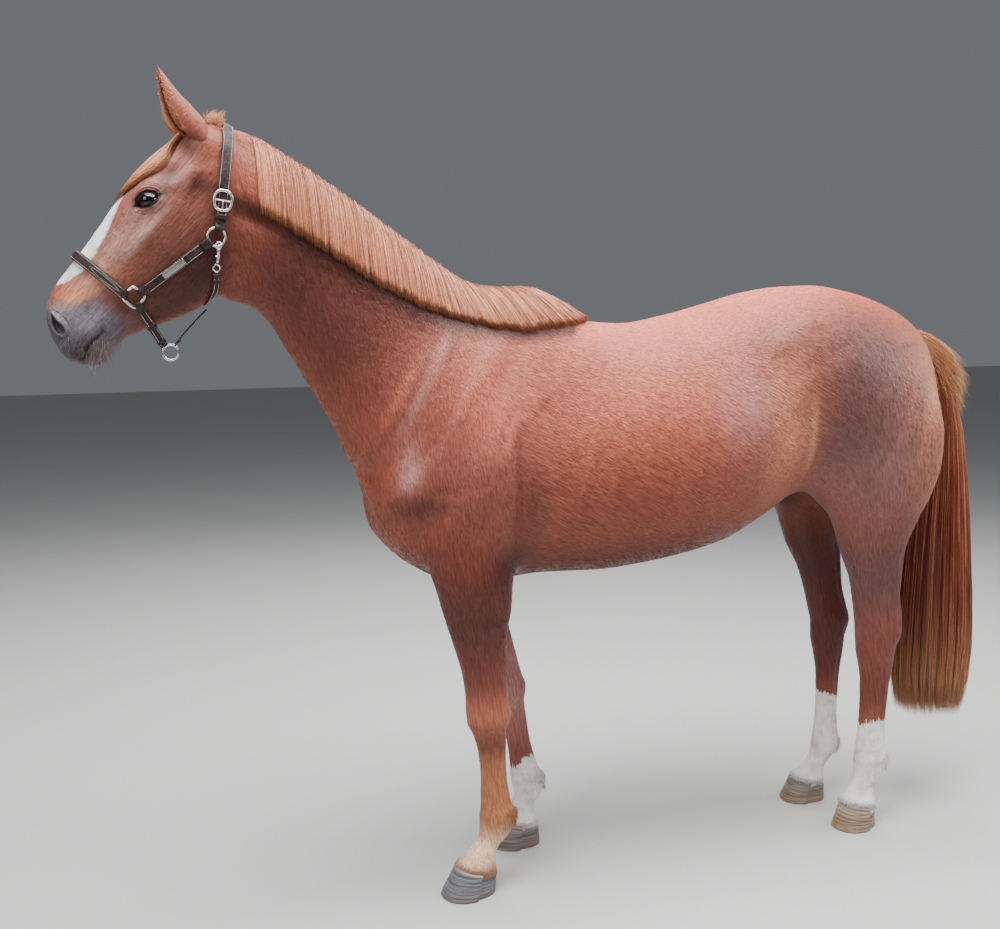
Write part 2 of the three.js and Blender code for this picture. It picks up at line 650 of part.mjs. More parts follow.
// An ear: a shell that is nearly closed at its base and opens towards the tip.
function earSolid(side, growth = 0) {
  const base = [EAR.base[0], EAR.base[1] * side, EAR.base[2]];
  const tip = side < 0 ? EAR.tip.left : EAR.tip.right;
  const axis = unit(minus(tip, base));
  const across = unit(cross(axis, [EAR.facing[0], EAR.facing[1] * side, EAR.facing[2]]));
  const opening = cross(across, axis);
  const length = Math.hypot(...minus(tip, base));
  const rings = EAR.sections.map(([share, depth, halfWidth, halfAngle]) => {
    const bow = EAR.bow * Math.sin(Math.PI * Math.max(share, 0));
    const centre = addScaled(addScaled(base, axis, share * length), opening, bow);
    const wall = Math.min(EAR.wall, depth * 0.6);
    const arc = (inset) => evenly(-halfAngle, halfAngle, SIDES.ear).map((angle) => {
      const behind = Math.cos(rad(angle)) * (depth - inset);
      const sideways = Math.sin(rad(angle)) * (halfWidth - inset);
      return addScaled(addScaled(centre, opening, -behind), across, sideways);
    });
    return [...arc(-growth), ...arc(wall + growth).reverse()];
  });
  return solidFrom(ringMesh(rings));
}

function eyeball(side, radius) {
  const [s, y, d] = EYE.place;
  const ball = new THREE.SphereGeometry(radius, 12, 7);
  ball.translate(...onHead(s, y * side, d));
  return solidFrom(ball);
}

// ---------------------------------------------------------------- hair
// The point of the surface, raised by an offset, on a ray from a centre inside the body.
function outward(centre, direction, offset) {
  let far = 10;
  while (bodyField(addScaled(centre, direction, far)) < offset && far < 500) far += 8;
  let near = far - 8;
  for (let i = 0; i < 14; i += 1) {
    const middle = (near + far) / 2;
    if (bodyField(addScaled(centre, direction, middle)) < offset) near = middle;
    else far = middle;
  }
  return addScaled(centre, direction, far);
}

// A ray across a sloping part: 0 degrees towards its upper side, positive to the right.
const rayAcross = (frame, degrees) => (
  addScaled(frame.up.map((value) => value * Math.cos(rad(degrees))), [0, 1, 0], Math.sin(rad(degrees)))
);

// A sheet of hair over a part: an outer arc and an inner arc at each place.
function hairSheet(frame, rows, depthAt) {
  const rings = rows.map(({ s, centre, from, to }) => {
    const middle = addScaled(addScaled(frame.origin, frame.axis, s), frame.up, centre);
    const outer = evenly(0, 1, SIDES.hair).map((t) => (
      outward(middle, rayAcross(frame, lerp(from, to, t)), depthAt(t))
    ));
    const inner = evenly(to, from, 3).map((a) => outward(middle, rayAcross(frame, a), -HAIR_ROOT));
    return [...outer, ...inner];
  });
  return solidFrom(ringMesh(rings));
}

// The angle at which a ray from a centre leaves the body at a wanted height of the frame.
function angleAtHeight(frame, s, centre, height) {
  const middle = addScaled(addScaled(frame.origin, frame.axis, s), frame.up, centre);
  let [low, high] = [0, 150];
  for (let i = 0; i < 16; i += 1) {
    const angle = (low + high) / 2;
    const p = outward(middle, rayAcross(frame, -angle), HAIR_DEPTH);
    if (dot(minus(p, frame.origin), frame.up) > height) low = angle;
    else high = angle;
  }
  return -low;
}

function maneSolid() {
  const rows = MANE.map(([s, crest, lower]) => {
    const centre = crest - 115;
    return { s, centre, from: 7, to: Math.min(angleAtHeight(NECK_FRAME, s, centre, lower), -8) };
  });
  return hairSheet(NECK_FRAME, rows, (t) => lerp(HAIR_DEPTH + 3, HAIR_DEPTH / 2, t));
}

function forelockSolid() {
  const rows = FORELOCK.map(([s, from, to]) => ({ s, centre: 10, from: to, to: from }));
  return hairSheet(HEAD_FRAME, rows, (t) => 6 + 10 * Math.sin(Math.PI * lerp(0.15, 0.85, t)));
}

function tailSolid() {
  const rings = TAIL.map(([z, front, back, halfWidth]) => (
    around(SIDES.tail).map((angle) => [
      (front + back) / 2 + Math.cos(angle) * (back - front) / 2,
      Math.sin(angle) * halfWidth,
      z,
    ])
  ));
  return solidFrom(ringMesh(rings));
}

// ---------------------------------------------------------------- halter
// A flat strap along surface points: each has a place and the direction that faces out.
function strap(stops, width, thickness, lift, samples) {
  const path = new THREE.CatmullRomCurve3(stops.map(({ at }) => new THREE.Vector3(...at)));
  const faces = new THREE.CatmullRomCurve3(stops.map(({ out }) => new THREE.Vector3(...out)));
  const rings = evenly(0, 1, samples).map((t) => {
    const at = path.getPoint(t).toArray();
    const along = path.getTangent(t).toArray();
    const out = unit(faces.getPoint(t).toArray());
    const across = unit(cross(along, out));
    const low = addScaled(at, out, lift);
    const high = addScaled(at, out, lift + thickness);
    const half = width / 2;
    return [
      addScaled(low, across, -half),
      addScaled(low, across, half),
      addScaled(high, across, half - STRAP.bevel),
      addScaled(high, across, -half + STRAP.bevel),
    ];
  });
  return solidFrom(ringMesh(rings));
}

// A stop on the cheek at a place and height of the head, on the left (-1) or right (1).
function cheekStop(s, d, side) {
  const at = outward(onHead(s, 0, d), [0, side, 0], 0);
  return { at, out: fieldNormal(at) };
}

// A stop round the head at a place and an angle from the face.
function roundStop(s, degrees) {
  const at = outward(onHead(s, 0, -10), rayAcross(HEAD_FRAME, degrees), 0);
  return { at, out: fieldNormal(at) };
}

const hangingStop = (s, y, d, out) => ({ at: onHead(s, y, d), out });

// A round ring of wire whose axis is given.
function wireRing(centre, axis, radius) {
  const ring = new THREE.TorusGeometry(radius, RING.wire, 5, 12);
  ring.applyQuaternion(turnTo(Z_AXIS, axis));
  ring.translate(...centre);
  return solidFrom(ring);
}

// A square ring with rounded corners, lying across an axis, its sides along a direction.
function squareRing(centre, axis, along, halfSide, wire) {
  const z = unit(axis);
  const x = unit(addScaled(along, z, -dot(along, z)));
  const y = cross(z, x);
  const corners = 12;
  const rings = around(corners).map((angle) => {
    const c = Math.cos(angle + Math.PI / corners);
    const n = Math.sin(angle + Math.PI / corners);
    const reach = halfSide / (Math.abs(c) ** 5 + Math.abs(n) ** 5) ** 0.2;
    const radial = addScaled(x.map((value) => value * c), y, n);
    const middle = addScaled(centre, radial, reach);
    return around(4).map((turn) => (
      addScaled(addScaled(middle, radial, Math.cos(turn) * wire), z, Math.sin(turn) * wire)
    ));
  });
  return solidFrom(ringMesh(rings, true));
}

// The room that a ring needs, so that straps end at its rim.
function discRoom(centre, axis, radius) {
  const disc = new THREE.CylinderGeometry(radius, radius, 30, 18);
  disc.applyQuaternion(turnTo(Y_AXIS, axis));
  disc.translate(...centre);
  return solidFrom(disc);
}

function squareRoom(centre, axis, along, halfSide) {
  const z = unit(axis);
  const x = unit(addScaled(along, z, -dot(along, z)));
  const box = new THREE.BoxGeometry(2 * halfSide, 2 * halfSide, 30);
  const turn = new THREE.Matrix4().makeBasis(
    new THREE.Vector3(...x), new THREE.Vector3(...cross(z, x)), new THREE.Vector3(...z),
  );
  box.applyMatrix4(turn);
  box.translate(...centre);
  return solidFrom(box);
}

const crownRay = addScaled(
  HEAD_FRAME.axis.map((value) => value * CROWN_RISE[0]), HEAD_FRAME.up, CROWN_RISE[1],
);

// A stop on the crown strap at an angle from the poll (0), positive to the right.
function crownStop(degrees) {
  const ray = addScaled(
    crownRay.map((value) => value * Math.cos(rad(degrees))), [0, 1, 0], Math.sin(rad(degrees)),
  );
  const at = outward(onHead(CROWN_MIDDLE[0], 0, CROWN_MIDDLE[1]), ray, 0);
  return { at, out: fieldNormal(at) };
}

// A stop at a share of the cheek strap's length.
function cheekStrapStop(share, side) {
  const [s, d] = lerpRow(CHEEK_STRAP.from, CHEEK_STRAP.to, share);
  return cheekStop(s, d, side);
}

// The straps that go round the head from one side to the other.
function roundStraps() {
  const { width, thickness, padded, narrow, lift } = STRAP;
  const noseStops = evenly(-126, 126, 13).map((angle) => roundStop(NOSE_PLACE, angle));
  const crownStops = evenly(-144, 144, 17).map(crownStop);
  const throatStops = [
    cheekStop(166, -168, -1), cheekStop(190, -190, -1), roundStop(217, -167), roundStop(232, 180),
    roundStop(217, 167), cheekStop(190, -190, 1), cheekStop(110, -124, 1),
  ];
  return {
    noseband: strap(noseStops, width, padded, lift, 15),
    crown_strap: strap(crownStops, width, thickness, lift, 19),
    throat_strap: strap(throatStops, narrow, thickness, lift, 22),
  };
}

// The thin strap under the jaw, from the throat strap to the chin ring.
function jawStrap() {
  const down = opposite(HEAD_FRAME.up);
  const end = CHIN_PLACE[0] - RING.chin - RING.wire - 1;
  const stops = [[243, -210], [280, -208], [320, -207], [end, -209]];
  return strap(
    stops.map(([s, d]) => hangingStop(s, 0, d, down)), STRAP.narrow - 3, STRAP.thin, 0, 8,
  );
}

// The strap from a square ring down to the chin ring.
function chinStrap(side) {
  const out = [0, side, 0];
  const stops = [
    cheekStop(340, -72, side), cheekStop(353, -110, side), hangingStop(362, 40 * side, -140, out),
    hangingStop(371, 17 * side, -168, out), hangingStop(379, 6 * side, -190, out),
  ];
  return strap(stops, STRAP.narrow + 3, STRAP.thin, STRAP.lift, 9);
}

// One side's straps, rings and buckle, and the room that its rings need.
function sideSolids(side) {
  const round = cheekStop(ROUND_PLACE[0], ROUND_PLACE[1], side);
  const square = cheekStop(SQUARE_PLACE[0], SQUARE_PLACE[1], side);
  const buckle = crownStop(BUCKLE_ANGLE * side);
  const cheekStops = evenly(0, 1, 6).map((share) => cheekStrapStop(share, side));
  const raised = ({ at, out }) => addScaled(at, out, RING.raise);
  const buckleAt = addScaled(buckle.at, buckle.out, RING.raise + STRAP.thickness);
  const roundRoom = discRoom(round.at, round.out, RING.round + RING.wire + GAP);
  const squareRoomHalf = RING.square + RING.wire + GAP;
  const room = roundRoom.add(squareRoom(square.at, square.out, HEAD_FRAME.axis, squareRoomHalf));
  return {
    room,
    straps: {
      cheek_strap: strap(cheekStops, STRAP.width, STRAP.thickness, STRAP.lift, 9),
      chin_strap: chinStrap(side),
    },
    metal: {
      round_ring: wireRing(raised(round), round.out, RING.round),
      square_ring: squareRing(raised(square), square.out, HEAD_FRAME.axis, RING.square, RING.wire),
      crown_buckle: squareRing(buckleAt, buckle.out, crownRay, RING.buckle, RING.wire),
    },
  };
}

// The snap and loop of the throat strap, on the left cheek only, and the plate on the strap.
function leftFittings() {
  const snapStops = [cheekStop(120, -136, -1), cheekStop(132, -145, -1), cheekStop(144, -153, -1)];
  const loop = cheekStop(156, -161, -1);
  const loopAt = addScaled(loop.at, loop.out, RING.raise - RING.wire / 2);
  const plateStops = [0.38, 0.47, 0.56, 0.66].map((share) => cheekStrapStop(share, -1));
  return {
    throat_snap: strap(snapStops, 11, 8, STRAP.lift, 4),
    throat_loop: squareRing(loopAt, loop.out, HEAD_FRAME.axis, RING.loop, 1.8),
    name_plate: strap(plateStops, 14, 1.5, STRAP.lift + STRAP.thickness + GAP, 6),
  };
}

// Every piece of the halter: the leather by name, and the metal by name.
function halterSolids() {
  const leather = { ...roundStraps(), jaw_strap: jawStrap() };
  const metal = { ...leftFittings() };
  metal.chin_ring = wireRing(onHead(CHIN_PLACE[0], 0, CHIN_PLACE[1]), [0, 1, 0], RING.chin);
  for (const [name, side] of [['left', -1], ['right', 1]]) {
    const parts = sideSolids(side);
    for (const [key, solid] of Object.entries(parts.straps)) leather[`${key}_${name}`] = solid;
    for (const [key, solid] of Object.entries(parts.metal)) metal[`${key}_${name}`] = solid;
    for (const key of Object.keys(leather)) leather[key] = leather[key].subtract(parts.room);
  }
  return { leather, metal };
}

// ---------------------------------------------------------------- assembly
const PAINT = {
  flesh: { color: 0x96543a, roughness: 0.45, metalness: 0 },
  head: { color: 0x9a5a3c, roughness: 0.5, metalness: 0 },
  eye: { color: 0x120c0a, roughness: 0.06, metalness: 0 },
  mane: { color: 0xc98f66, roughness: 0.55, metalness: 0 },
  forelock: { color: 0xd3a16c, roughness: 0.55, metalness: 0 },
  tail: { color: 0x7a3b28, roughness: 0.55, metalness: 0 },
  hoof: { color: 0x5c585a, roughness: 0.5, metalness: 0 },
  leather: { color: 0x2e201b, roughness: 0.5, metalness: 0 },
  metal: { color: 0xb9b5ac, roughness: 0.25, metalness: 1 },
};

const group = new THREE.Group();

function place(name, solid, paint) {
  const mesh = new THREE.Mesh(geometryOf(solid), new THREE.MeshStandardMaterial(PAINT[paint]));
  mesh.name = name;
  group.add(mesh);
}

const fleshKeptClear = headSolid(GAP).add(bodyMesh(GAP));

// The torso ends below where the legs are parted from it, and behind the poll.
const hindRegion = halfSpace([0, 0, CUTS.hindLegs], opposite([0, 0, 1]))
  .intersect(halfSpace([CUTS.hindLegsFront, 0, 0], [1, 0, 0]));
const torso = above(bodyMesh(0), CUTS.foreLegs).subtract(hindRegion);
const poll = unit(CUTS.poll.normal);
const behindPoll = halfSpace(addScaled(CUTS.poll.point, poll, -GAP), opposite(poll));
const [neckSolid, trunkSolid] = cutApart(
  torso.intersect(behindPoll), CUTS.neckBase.point, CUTS.neckBase.normal,
);
place('trunk', trunkSolid, 'flesh');
place('neck', neckSolid, 'flesh');

const sockets = eyeball(-1, EYE.radius + GAP).add(eyeball(1, EYE.radius + GAP));
const skull = headSolid(0).intersect(halfSpace(CUTS.poll.point, CUTS.poll.normal));
place('head', skull.subtract(sockets), 'head');
for (const [name, side] of [['left', -1], ['right', 1]]) {
  place(`eye_${name}`, eyeball(side, EYE.radius), 'eye');
  place(`ear_${name}`, earSolid(side).subtract(fleshKeptClear), 'head');
}

for (const name of Object.keys(LEGS)) {
  const { upper, hoof } = legParts(name);
  place(name, upper, 'flesh');
  place(name.replace('leg', 'hoof'), hoof, 'hoof');
}

const earsKeptClear = earSolid(-1, 1).add(earSolid(1, 1));
place('mane', maneSolid().subtract(fleshKeptClear), 'mane');
place('forelock', forelockSolid().subtract(fleshKeptClear).subtract(earsKeptClear), 'forelock');
place('tail', tailSolid().subtract(fleshKeptClear), 'tail');

for (const [paint, solids] of Object.entries(halterSolids())) {
  for (const [name, solid] of Object.entries(solids)) {
    place(name, solid.subtract(fleshKeptClear), paint);
  }
}

export default group;
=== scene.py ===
import math

import bpy
import numpy as np
from mathutils import Matrix, Vector


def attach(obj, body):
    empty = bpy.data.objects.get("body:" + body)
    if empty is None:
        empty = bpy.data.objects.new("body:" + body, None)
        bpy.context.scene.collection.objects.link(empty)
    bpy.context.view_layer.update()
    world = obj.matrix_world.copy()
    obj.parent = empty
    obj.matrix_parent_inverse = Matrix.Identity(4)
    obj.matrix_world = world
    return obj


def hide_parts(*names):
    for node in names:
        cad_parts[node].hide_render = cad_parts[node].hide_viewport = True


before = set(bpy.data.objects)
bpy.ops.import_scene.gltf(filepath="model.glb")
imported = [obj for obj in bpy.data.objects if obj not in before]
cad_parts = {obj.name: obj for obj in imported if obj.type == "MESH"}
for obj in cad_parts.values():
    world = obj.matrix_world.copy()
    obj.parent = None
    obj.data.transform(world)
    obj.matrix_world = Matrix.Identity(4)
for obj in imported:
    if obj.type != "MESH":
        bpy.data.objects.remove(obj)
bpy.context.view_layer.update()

MM = 0.001


def fewer(count):
    return count


# ---------------------------------------------------------------- driving sizes
NECK_ANGLE = math.radians(43)
HEAD_ANGLE = math.radians(48)
COAT_DEPTH = 2.0
BLEND = {"neck": 150, "head": 88, "fore": 70, "hind": 90}
# Beyond these planes the head's and the legs' own bumps are not worked out.
HEAD_BUMPS_BEFORE = -800
LEG_BUMPS_BELOW = 900
# The distance that stands for "far outside" where no distance is worked out.
FAR_OUTSIDE = 1000.0


def sloping_frame(origin, angle):
    """Origin, axis and upper side of a part that runs towards -X; a negative angle falls."""
    tilt = math.sin(angle)
    return (np.array(origin, float), np.array([-math.cos(angle), 0, tilt]),
            np.array([tilt, 0, math.cos(angle)]))


NECK_FRAME = sloping_frame((-410, 0, 1365), NECK_ANGLE)
HEAD_FRAME = sloping_frame((-970, 0, 1880), -HEAD_ANGLE)
TRUNK_FRAME = (np.zeros(3), np.array([1.0, 0, 0]), np.array([0, 0, 1.0]))

# Stations: place along the axis, top, bottom, half width, height of the widest place,
# roundness above, roundness below.
TRUNK = [
    (-584, 1100, 1010, 60, 1052, 2, 2), (-566, 1160, 965, 130, 1055, 2, 2),
    (-532, 1240, 924, 172, 1060, 2, 2), (-475, 1350, 876, 205, 1070, 2, 2),
    (-390, 1460, 833, 232, 1085, 1.9, 2.1), (-290, 1540, 818, 244, 1100, 1.8, 2.2),
    (-190, 1585, 826, 247, 1110, 1.6, 2.2), (-130, 1596, 830, 251, 1120, 1.55, 2.2),
    (-50, 1568, 828, 260, 1125, 1.65, 2.2), (50, 1515, 825, 273, 1140, 1.95, 2.2),
    (150, 1510, 832, 283, 1150, 2.1, 2.2), (280, 1530, 848, 285, 1170, 2.1, 2.15),
    (420, 1564, 876, 274, 1205, 2.05, 2.05), (530, 1592, 925, 260, 1260, 2, 2),
    (640, 1607, 990, 258, 1300, 2, 2), (745, 1610, 1025, 256, 1300, 2, 2),
    (860, 1592, 1030, 245, 1270, 2, 2), (960, 1563, 1030, 226, 1240, 1.95, 2),
    (1050, 1520, 1050, 184, 1240, 1.9, 2), (1105, 1470, 1085, 128, 1250, 1.9, 2),
    (1128, 1410, 1170, 70, 1290, 2, 2),
]
NECK = [
    (-160, 330, -250, 185, 0, 1.7, 2), (-60, 318, -290, 188, -40, 1.65, 2),
    (20, 290, -292, 176, -60, 1.6, 2), (110, 256, -258, 150, -55, 1.6, 2),
    (210, 240, -226, 124, -35, 1.7, 2), (320, 226, -192, 103, -15, 1.8, 2),
    (430, 212, -164, 90, 0, 1.9, 2), (530, 198, -160, 83, 5, 1.9, 2),
    (620, 181, -150, 77, 10, 2, 2), (700, 166, -120, 70, 15, 2, 2),
    (765, 142, -60, 58, 25, 2, 2), (812, 105, 10, 36, 55, 2, 2),
]
HEAD = [
    (-118, 55, -20, 36, 18, 2, 2), (-90, 78, -70, 58, 15, 2, 2), (-45, 89, -125, 76, 20, 2.1, 2),
    (0, 94, -165, 88, 25, 2.2, 2), (60, 106, -196, 96, 35, 2.3, 2),
    (120, 111, -214, 101, 45, 2.5, 2.1), (180, 112, -221, 98, 35, 2.6, 2.3),
    (250, 105, -204, 84, 10, 2.5, 2.4), (320, 98, -166, 69, 5, 2.4, 2.2),
    (385, 94, -132, 59, 0, 2.3, 2.2), (435, 90, -116, 56, -5, 2.4, 2.4),
    (480, 76, -112, 57, -5, 2.5, 2.4), (512, 50, -104, 55, -15, 2.4, 2.3),
    (535, 14, -84, 46, -30, 2.3, 2.2), (550, -18, -56, 26, -36, 2, 2),
]
# Leg joints from the top down to the coronet and the ground, the side, and the toe's turn out.
LEGS = {
    "foreleg_left": ([(-372, -150, 1050), (-343, -152, 863), (-304, -147, 470),
                      (-285, -143, 205), (-346, -142, 75), (-369, -142, 0)], -1, 6),
    "foreleg_right": ([(-320, 150, 1050), (-278, 150, 863), (-158, 135, 460),
                       (-108, 122, 188), (-136, 117, 72), (-150, 115, 0)], 1, 6),
    "hindleg_left": ([(915, -122, 1420), (860, -142, 1000), (914, -131, 595),
                      (893, -128, 205), (857, -126, 78), (846, -124, 0)], -1, 15),
    "hindleg_right": ([(905, 122, 1420), (818, 142, 1000), (915, 122, 570),
                       (900, 118, 172), (836, 116, 70), (816, 115, 0)], 1, 15),
}
# Leg sections: joint number and fraction, shift towards the tail, half depth, half width.
FORE_SECTIONS = [
    (0, 0, 112, 66), (0.5, 0, 116, 76), (1, 0, 107, 75), (1.17, 2, 96, 66), (1.44, -1, 72, 53),
    (1.7, 2, 60, 46), (1.9, 0, 57, 48), (2, -1, 57, 49), (2.12, -2, 47, 42), (2.32, 1, 40, 33),
    (2.6, 0, 38, 29), (2.85, 0, 43, 33), (3, 0, 49, 37), (3.2, 11, 48, 36), (3.4, 15, 43, 34),
    (3.6, 6, 39, 31), (3.8, 0, 43, 35), (4, 0, 54, 46), (4.25, 8, 54, 48), (4.5, 12, 48, 44),
]
HIND_SECTIONS = [
    (0, 0, 60, 40), (0.2, -4, 122, 78), (0.4, -8, 184, 101), (0.58, -12, 214, 112),
    (0.78, -3, 208, 111), (1, 14, 172, 98),
    (1.15, 18, 132, 84), (1.42, 2, 94, 66), (1.6, 4, 78, 55), (1.77, 0, 71, 48),
    (1.9, 0, 70, 50), (2, 0, 71, 51), (2.14, -6, 61, 47), (2.26, -2, 53, 41), (2.38, 0, 46, 34),
    (2.5, 0, 43, 30), (2.75, 0, 42, 29), (2.88, 0, 45, 33), (3, 0, 49, 38), (3.2, 9, 48, 37),
    (3.4, 10, 43, 34), (3.6, 4, 41, 33), (3.8, 0, 46, 38), (4, 0, 54, 48), (4.25, 6, 52, 46),
    (4.5, 8, 46, 40),
]
# Bumps on both sides of the body: x, |y|, z, slope of the long way in degrees (0 along +X, 90
# up), half length, half breadth, half depth, height. Negative heights are hollows.
BODY_BUMPS = [
    (-900, 0, 1595, -20, 48, 42, 80, 15),          # throat
    (-552, 192, 1095, 60, 70, 45, 60, 15),         # point of the shoulder
    (-560, 0, 1055, 90, 90, 28, 70, -10),          # breast groove
    (-478, 212, 990, 50, 80, 30, 70, -13),         # hollow under the shoulder joint
    (-330, 240, 1130, 60, 150, 60, 60, 9),         # triceps
    (-240, 240, 1050, 88, 170, 22, 60, -9),        # edge behind the elbow
    (-310, 200, 1380, 62, 150, 26, 70, 6),         # shoulder blade spine
    (-245, 200, 1380, 62, 140, 30, 70, -6),        # hollow behind the blade
    (-420, 170, 1280, 58, 150, 36, 70, -6),        # hollow before the blade
    (610, 250, 1250, 70, 90, 60, 70, -14),         # flank hollow
    (545, 235, 1458, 20, 60, 40, 50, 10),          # point of the hip
    (640, 262, 1040, 50, 70, 40, 60, 8),           # stifle fold
    (1085, 110, 1320, 80, 90, 50, 80, 5),          # point of the buttock
    (1120, 0, 1280, 85, 160, 30, 90, -22),         # cleft below the tail
    (960, 245, 1180, 70, 170, 26, 70, -8),         # groove of the hamstrings
    (770, 265, 1160, 60, 160, 70, 70, 6),          # front of the thigh
]
# The same on the head, in its own frame: along from the poll, |sideways|, towards the face.
HEAD_BUMPS = [
    (126, 96, 82, 8, 34, 13, 40, 9),               # brow over the eye
    (146, 96, 34, 8, 32, 12, 40, 3),               # rim under the eye
    (58, 92, 62, 35, 34, 18, 50, -11),             # hollow over the eye
    (222, 84, 16, 4, 78, 9, 40, 8),                # crest of the cheek
    (295, 62, 52, -8, 80, 17, 40, -5),             # hollow beside the nose
    (160, 92, -112, 0, 78, 60, 60, 6),             # cheek muscle
    (330, 62, -70, 0, 60, 30, 40, -5),             # hollow behind the lips
    (496, 56, 28, -60, 34, 24, 40, 5),             # nostril rim
    (484, 50, -61, -3, 46, 5.5, 34, -9),           # mouth
    (505, 0, -102, 0, 26, 18, 34, 8),              # chin
    (425, 0, -112, 0, 40, 14, 40, -4),             # hollow behind the chin
]


# ---------------------------------------------------------------- the body's field
class Curve:
    """A smooth curve through rows of numbers whose first column rises, with no overshoot."""

    def __init__(self, rows):
        self.rows = np.array(rows, float)
        place = self.rows[:, 0]
        steps = np.diff(self.rows, axis=0) / np.diff(place)[:, None]
        left = np.vstack([np.zeros(self.rows.shape[1]), steps])
        right = np.vstack([steps, np.zeros(self.rows.shape[1])])
        product = left * right
        total = left + right
        total[product <= 0] = 1
        self.slopes = np.where(product > 0, 2 * product / total, 0)
        self.slopes[:, 0] = 1
        self.place = place

    def __call__(self, s):
        at = np.clip(s, self.place[0], self.place[-1])
        i = np.clip(np.searchsorted(self.place, at, "right") - 1, 0, len(self.place) - 2)
        span = (self.place[i + 1] - self.place[i])[:, None]
        t = ((at - self.place[i]) / span[:, 0])[:, None]
        h1 = (1 + 2 * t) * (1 - t) ** 2
        h2 = t * (1 - t) ** 2
        h3 = t * t * (3 - 2 * t)
        h4 = t * t * (t - 1)
        return (h1 * self.rows[i] + h2 * span * self.slopes[i]
                + h3 * self.rows[i + 1] + h4 * span * self.slopes[i + 1])


class Loft:
    """A loft along an axis, with a bounding box beyond which its distance isn't worked out."""

    MARGIN = 190

    def __init__(self, base, rows, turn=0.0):
        self.origin, self.axis, self.up = base
        self.side = np.cross(self.axis, self.up)
        self.curve = Curve(rows)
        self.start, self.end = rows[0][0], rows[-1][0]
        self.turn = turn
        self.low, self.high = self.box()

    def box(self):
        rows = self.curve.rows
        points = []
        for s, top, bottom, width, *rest in rows:
            centre = self.origin + self.axis * s
            sideways = rest[3] if len(rest) > 3 else 0
            for d in (top, bottom):
                for w in (sideways - width, sideways + width):
                    points.append(centre + self.up * d + self.side * w)
        points = np.array(points)
        return points.min(0) - self.MARGIN, points.max(0) + self.MARGIN

    def distance(self, points):
        """Distance to the loft, negative inside; good near the surface."""
        near = np.all((points > self.low) & (points < self.high), axis=1)
        result = np.full(len(points), FAR_OUTSIDE)
        q = points[near] - self.origin
        s = q @ self.axis
        row = self.curve(s)
        top, bottom, width, middle, round_up, round_down = row[:, 1:7].T
        sideways = row[:, 7] if row.shape[1] > 7 else 0
        d = q @ self.up - middle
        w = q @ self.side - sideways
        if self.turn:
            c, n = math.cos(self.turn), math.sin(self.turn)
            d, w = c * d - n * w, n * d + c * w
        height = np.where(d >= 0, top - middle, middle - bottom)
        power = np.where(d >= 0, round_up, round_down)
        ratio = ((np.abs(d) / height) ** power + (np.abs(w) / width) ** power) ** (1 / power)
        safe = np.maximum(ratio, 1e-6)
        across = np.where(ratio < 1e-6, -np.minimum(height, width), np.hypot(d, w) * (1 - 1 / safe))
        result[near] = np.maximum(across, np.maximum(self.start - s, s - self.end))
        return result


def along_joints(joints, u):
    """A place on the line through joints, at a joint number and fraction."""
    i = min(int(u), len(joints) - 2)
    a, b = np.array(joints[i], float), np.array(joints[i + 1], float)
    return a + (b - a) * (u - i)


def leg_loft(name):
    """A leg's column; its sections turn inwards by the angle at which its hoof turns out."""
    joints, side, toe_out = LEGS[name]
    rows = []
    for u, shift, depth, width in (FORE_SECTIONS if name.startswith("fore") else HIND_SECTIONS):
        x, y, z = along_joints(joints, u)
        rows.append((-z, x + shift + depth, x + shift - depth, width, x + shift, 2.1, 2.1, -y))
    base = (np.zeros(3), np.array([0, 0, -1.0]), np.array([1.0, 0, 0]))
    return Loft(base, rows, math.radians(toe_out * side))


TRUNK_LOFT = Loft(TRUNK_FRAME, TRUNK)
NECK_LOFT = Loft(NECK_FRAME, NECK)
HEAD_LOFT = Loft(HEAD_FRAME, HEAD)
LEG_LOFTS = {name: leg_loft(name) for name in LEGS}


def smooth_min(a, b, reach):
    """The smaller of two distances, rounded off where they are close."""
    h = np.maximum(reach - np.abs(a - b), 0) / reach
    return np.minimum(a, b) - h * h * h * reach / 6


def bump_height(bump, points):
    """The height of a bump at each point, the same on both sides."""
    x, y, z, slope, length, breadth, depth, height = bump
    dx, dz = points[:, 0] - x, points[:, 2] - z
    c, s = math.cos(math.radians(slope)), math.sin(math.radians(slope))
    along = (dx * c + dz * s) / length
    across = (dz * c - dx * s) / breadth
    inward = (np.abs(points[:, 1]) - y) / depth
    return height * np.exp(-(along ** 2 + across ** 2 + inward ** 2))


def to_frame(points, base):
    """Places in a part's own frame: along its axis, sideways, towards its upper side."""
    q = points - base[0]
    return np.stack([q @ base[1], points[:, 1], q @ base[2]], axis=1)


def to_head(points):
    """Places in the head's own frame."""
    return to_frame(points, HEAD_FRAME)


def from_head(s, y, d):
    """Points at places of the head's own frame: along, sideways, towards the face."""
    s, y, d = np.broadcast_arrays(np.asarray(s, float), y, d)
    points = (HEAD_FRAME[0] + s[..., None] * HEAD_FRAME[1] + d[..., None] * HEAD_FRAME[2])
    points[..., 1] = y
    return points


def to_neck(points):
    """Places in the neck's own frame."""
    return to_frame(points, NECK_FRAME)


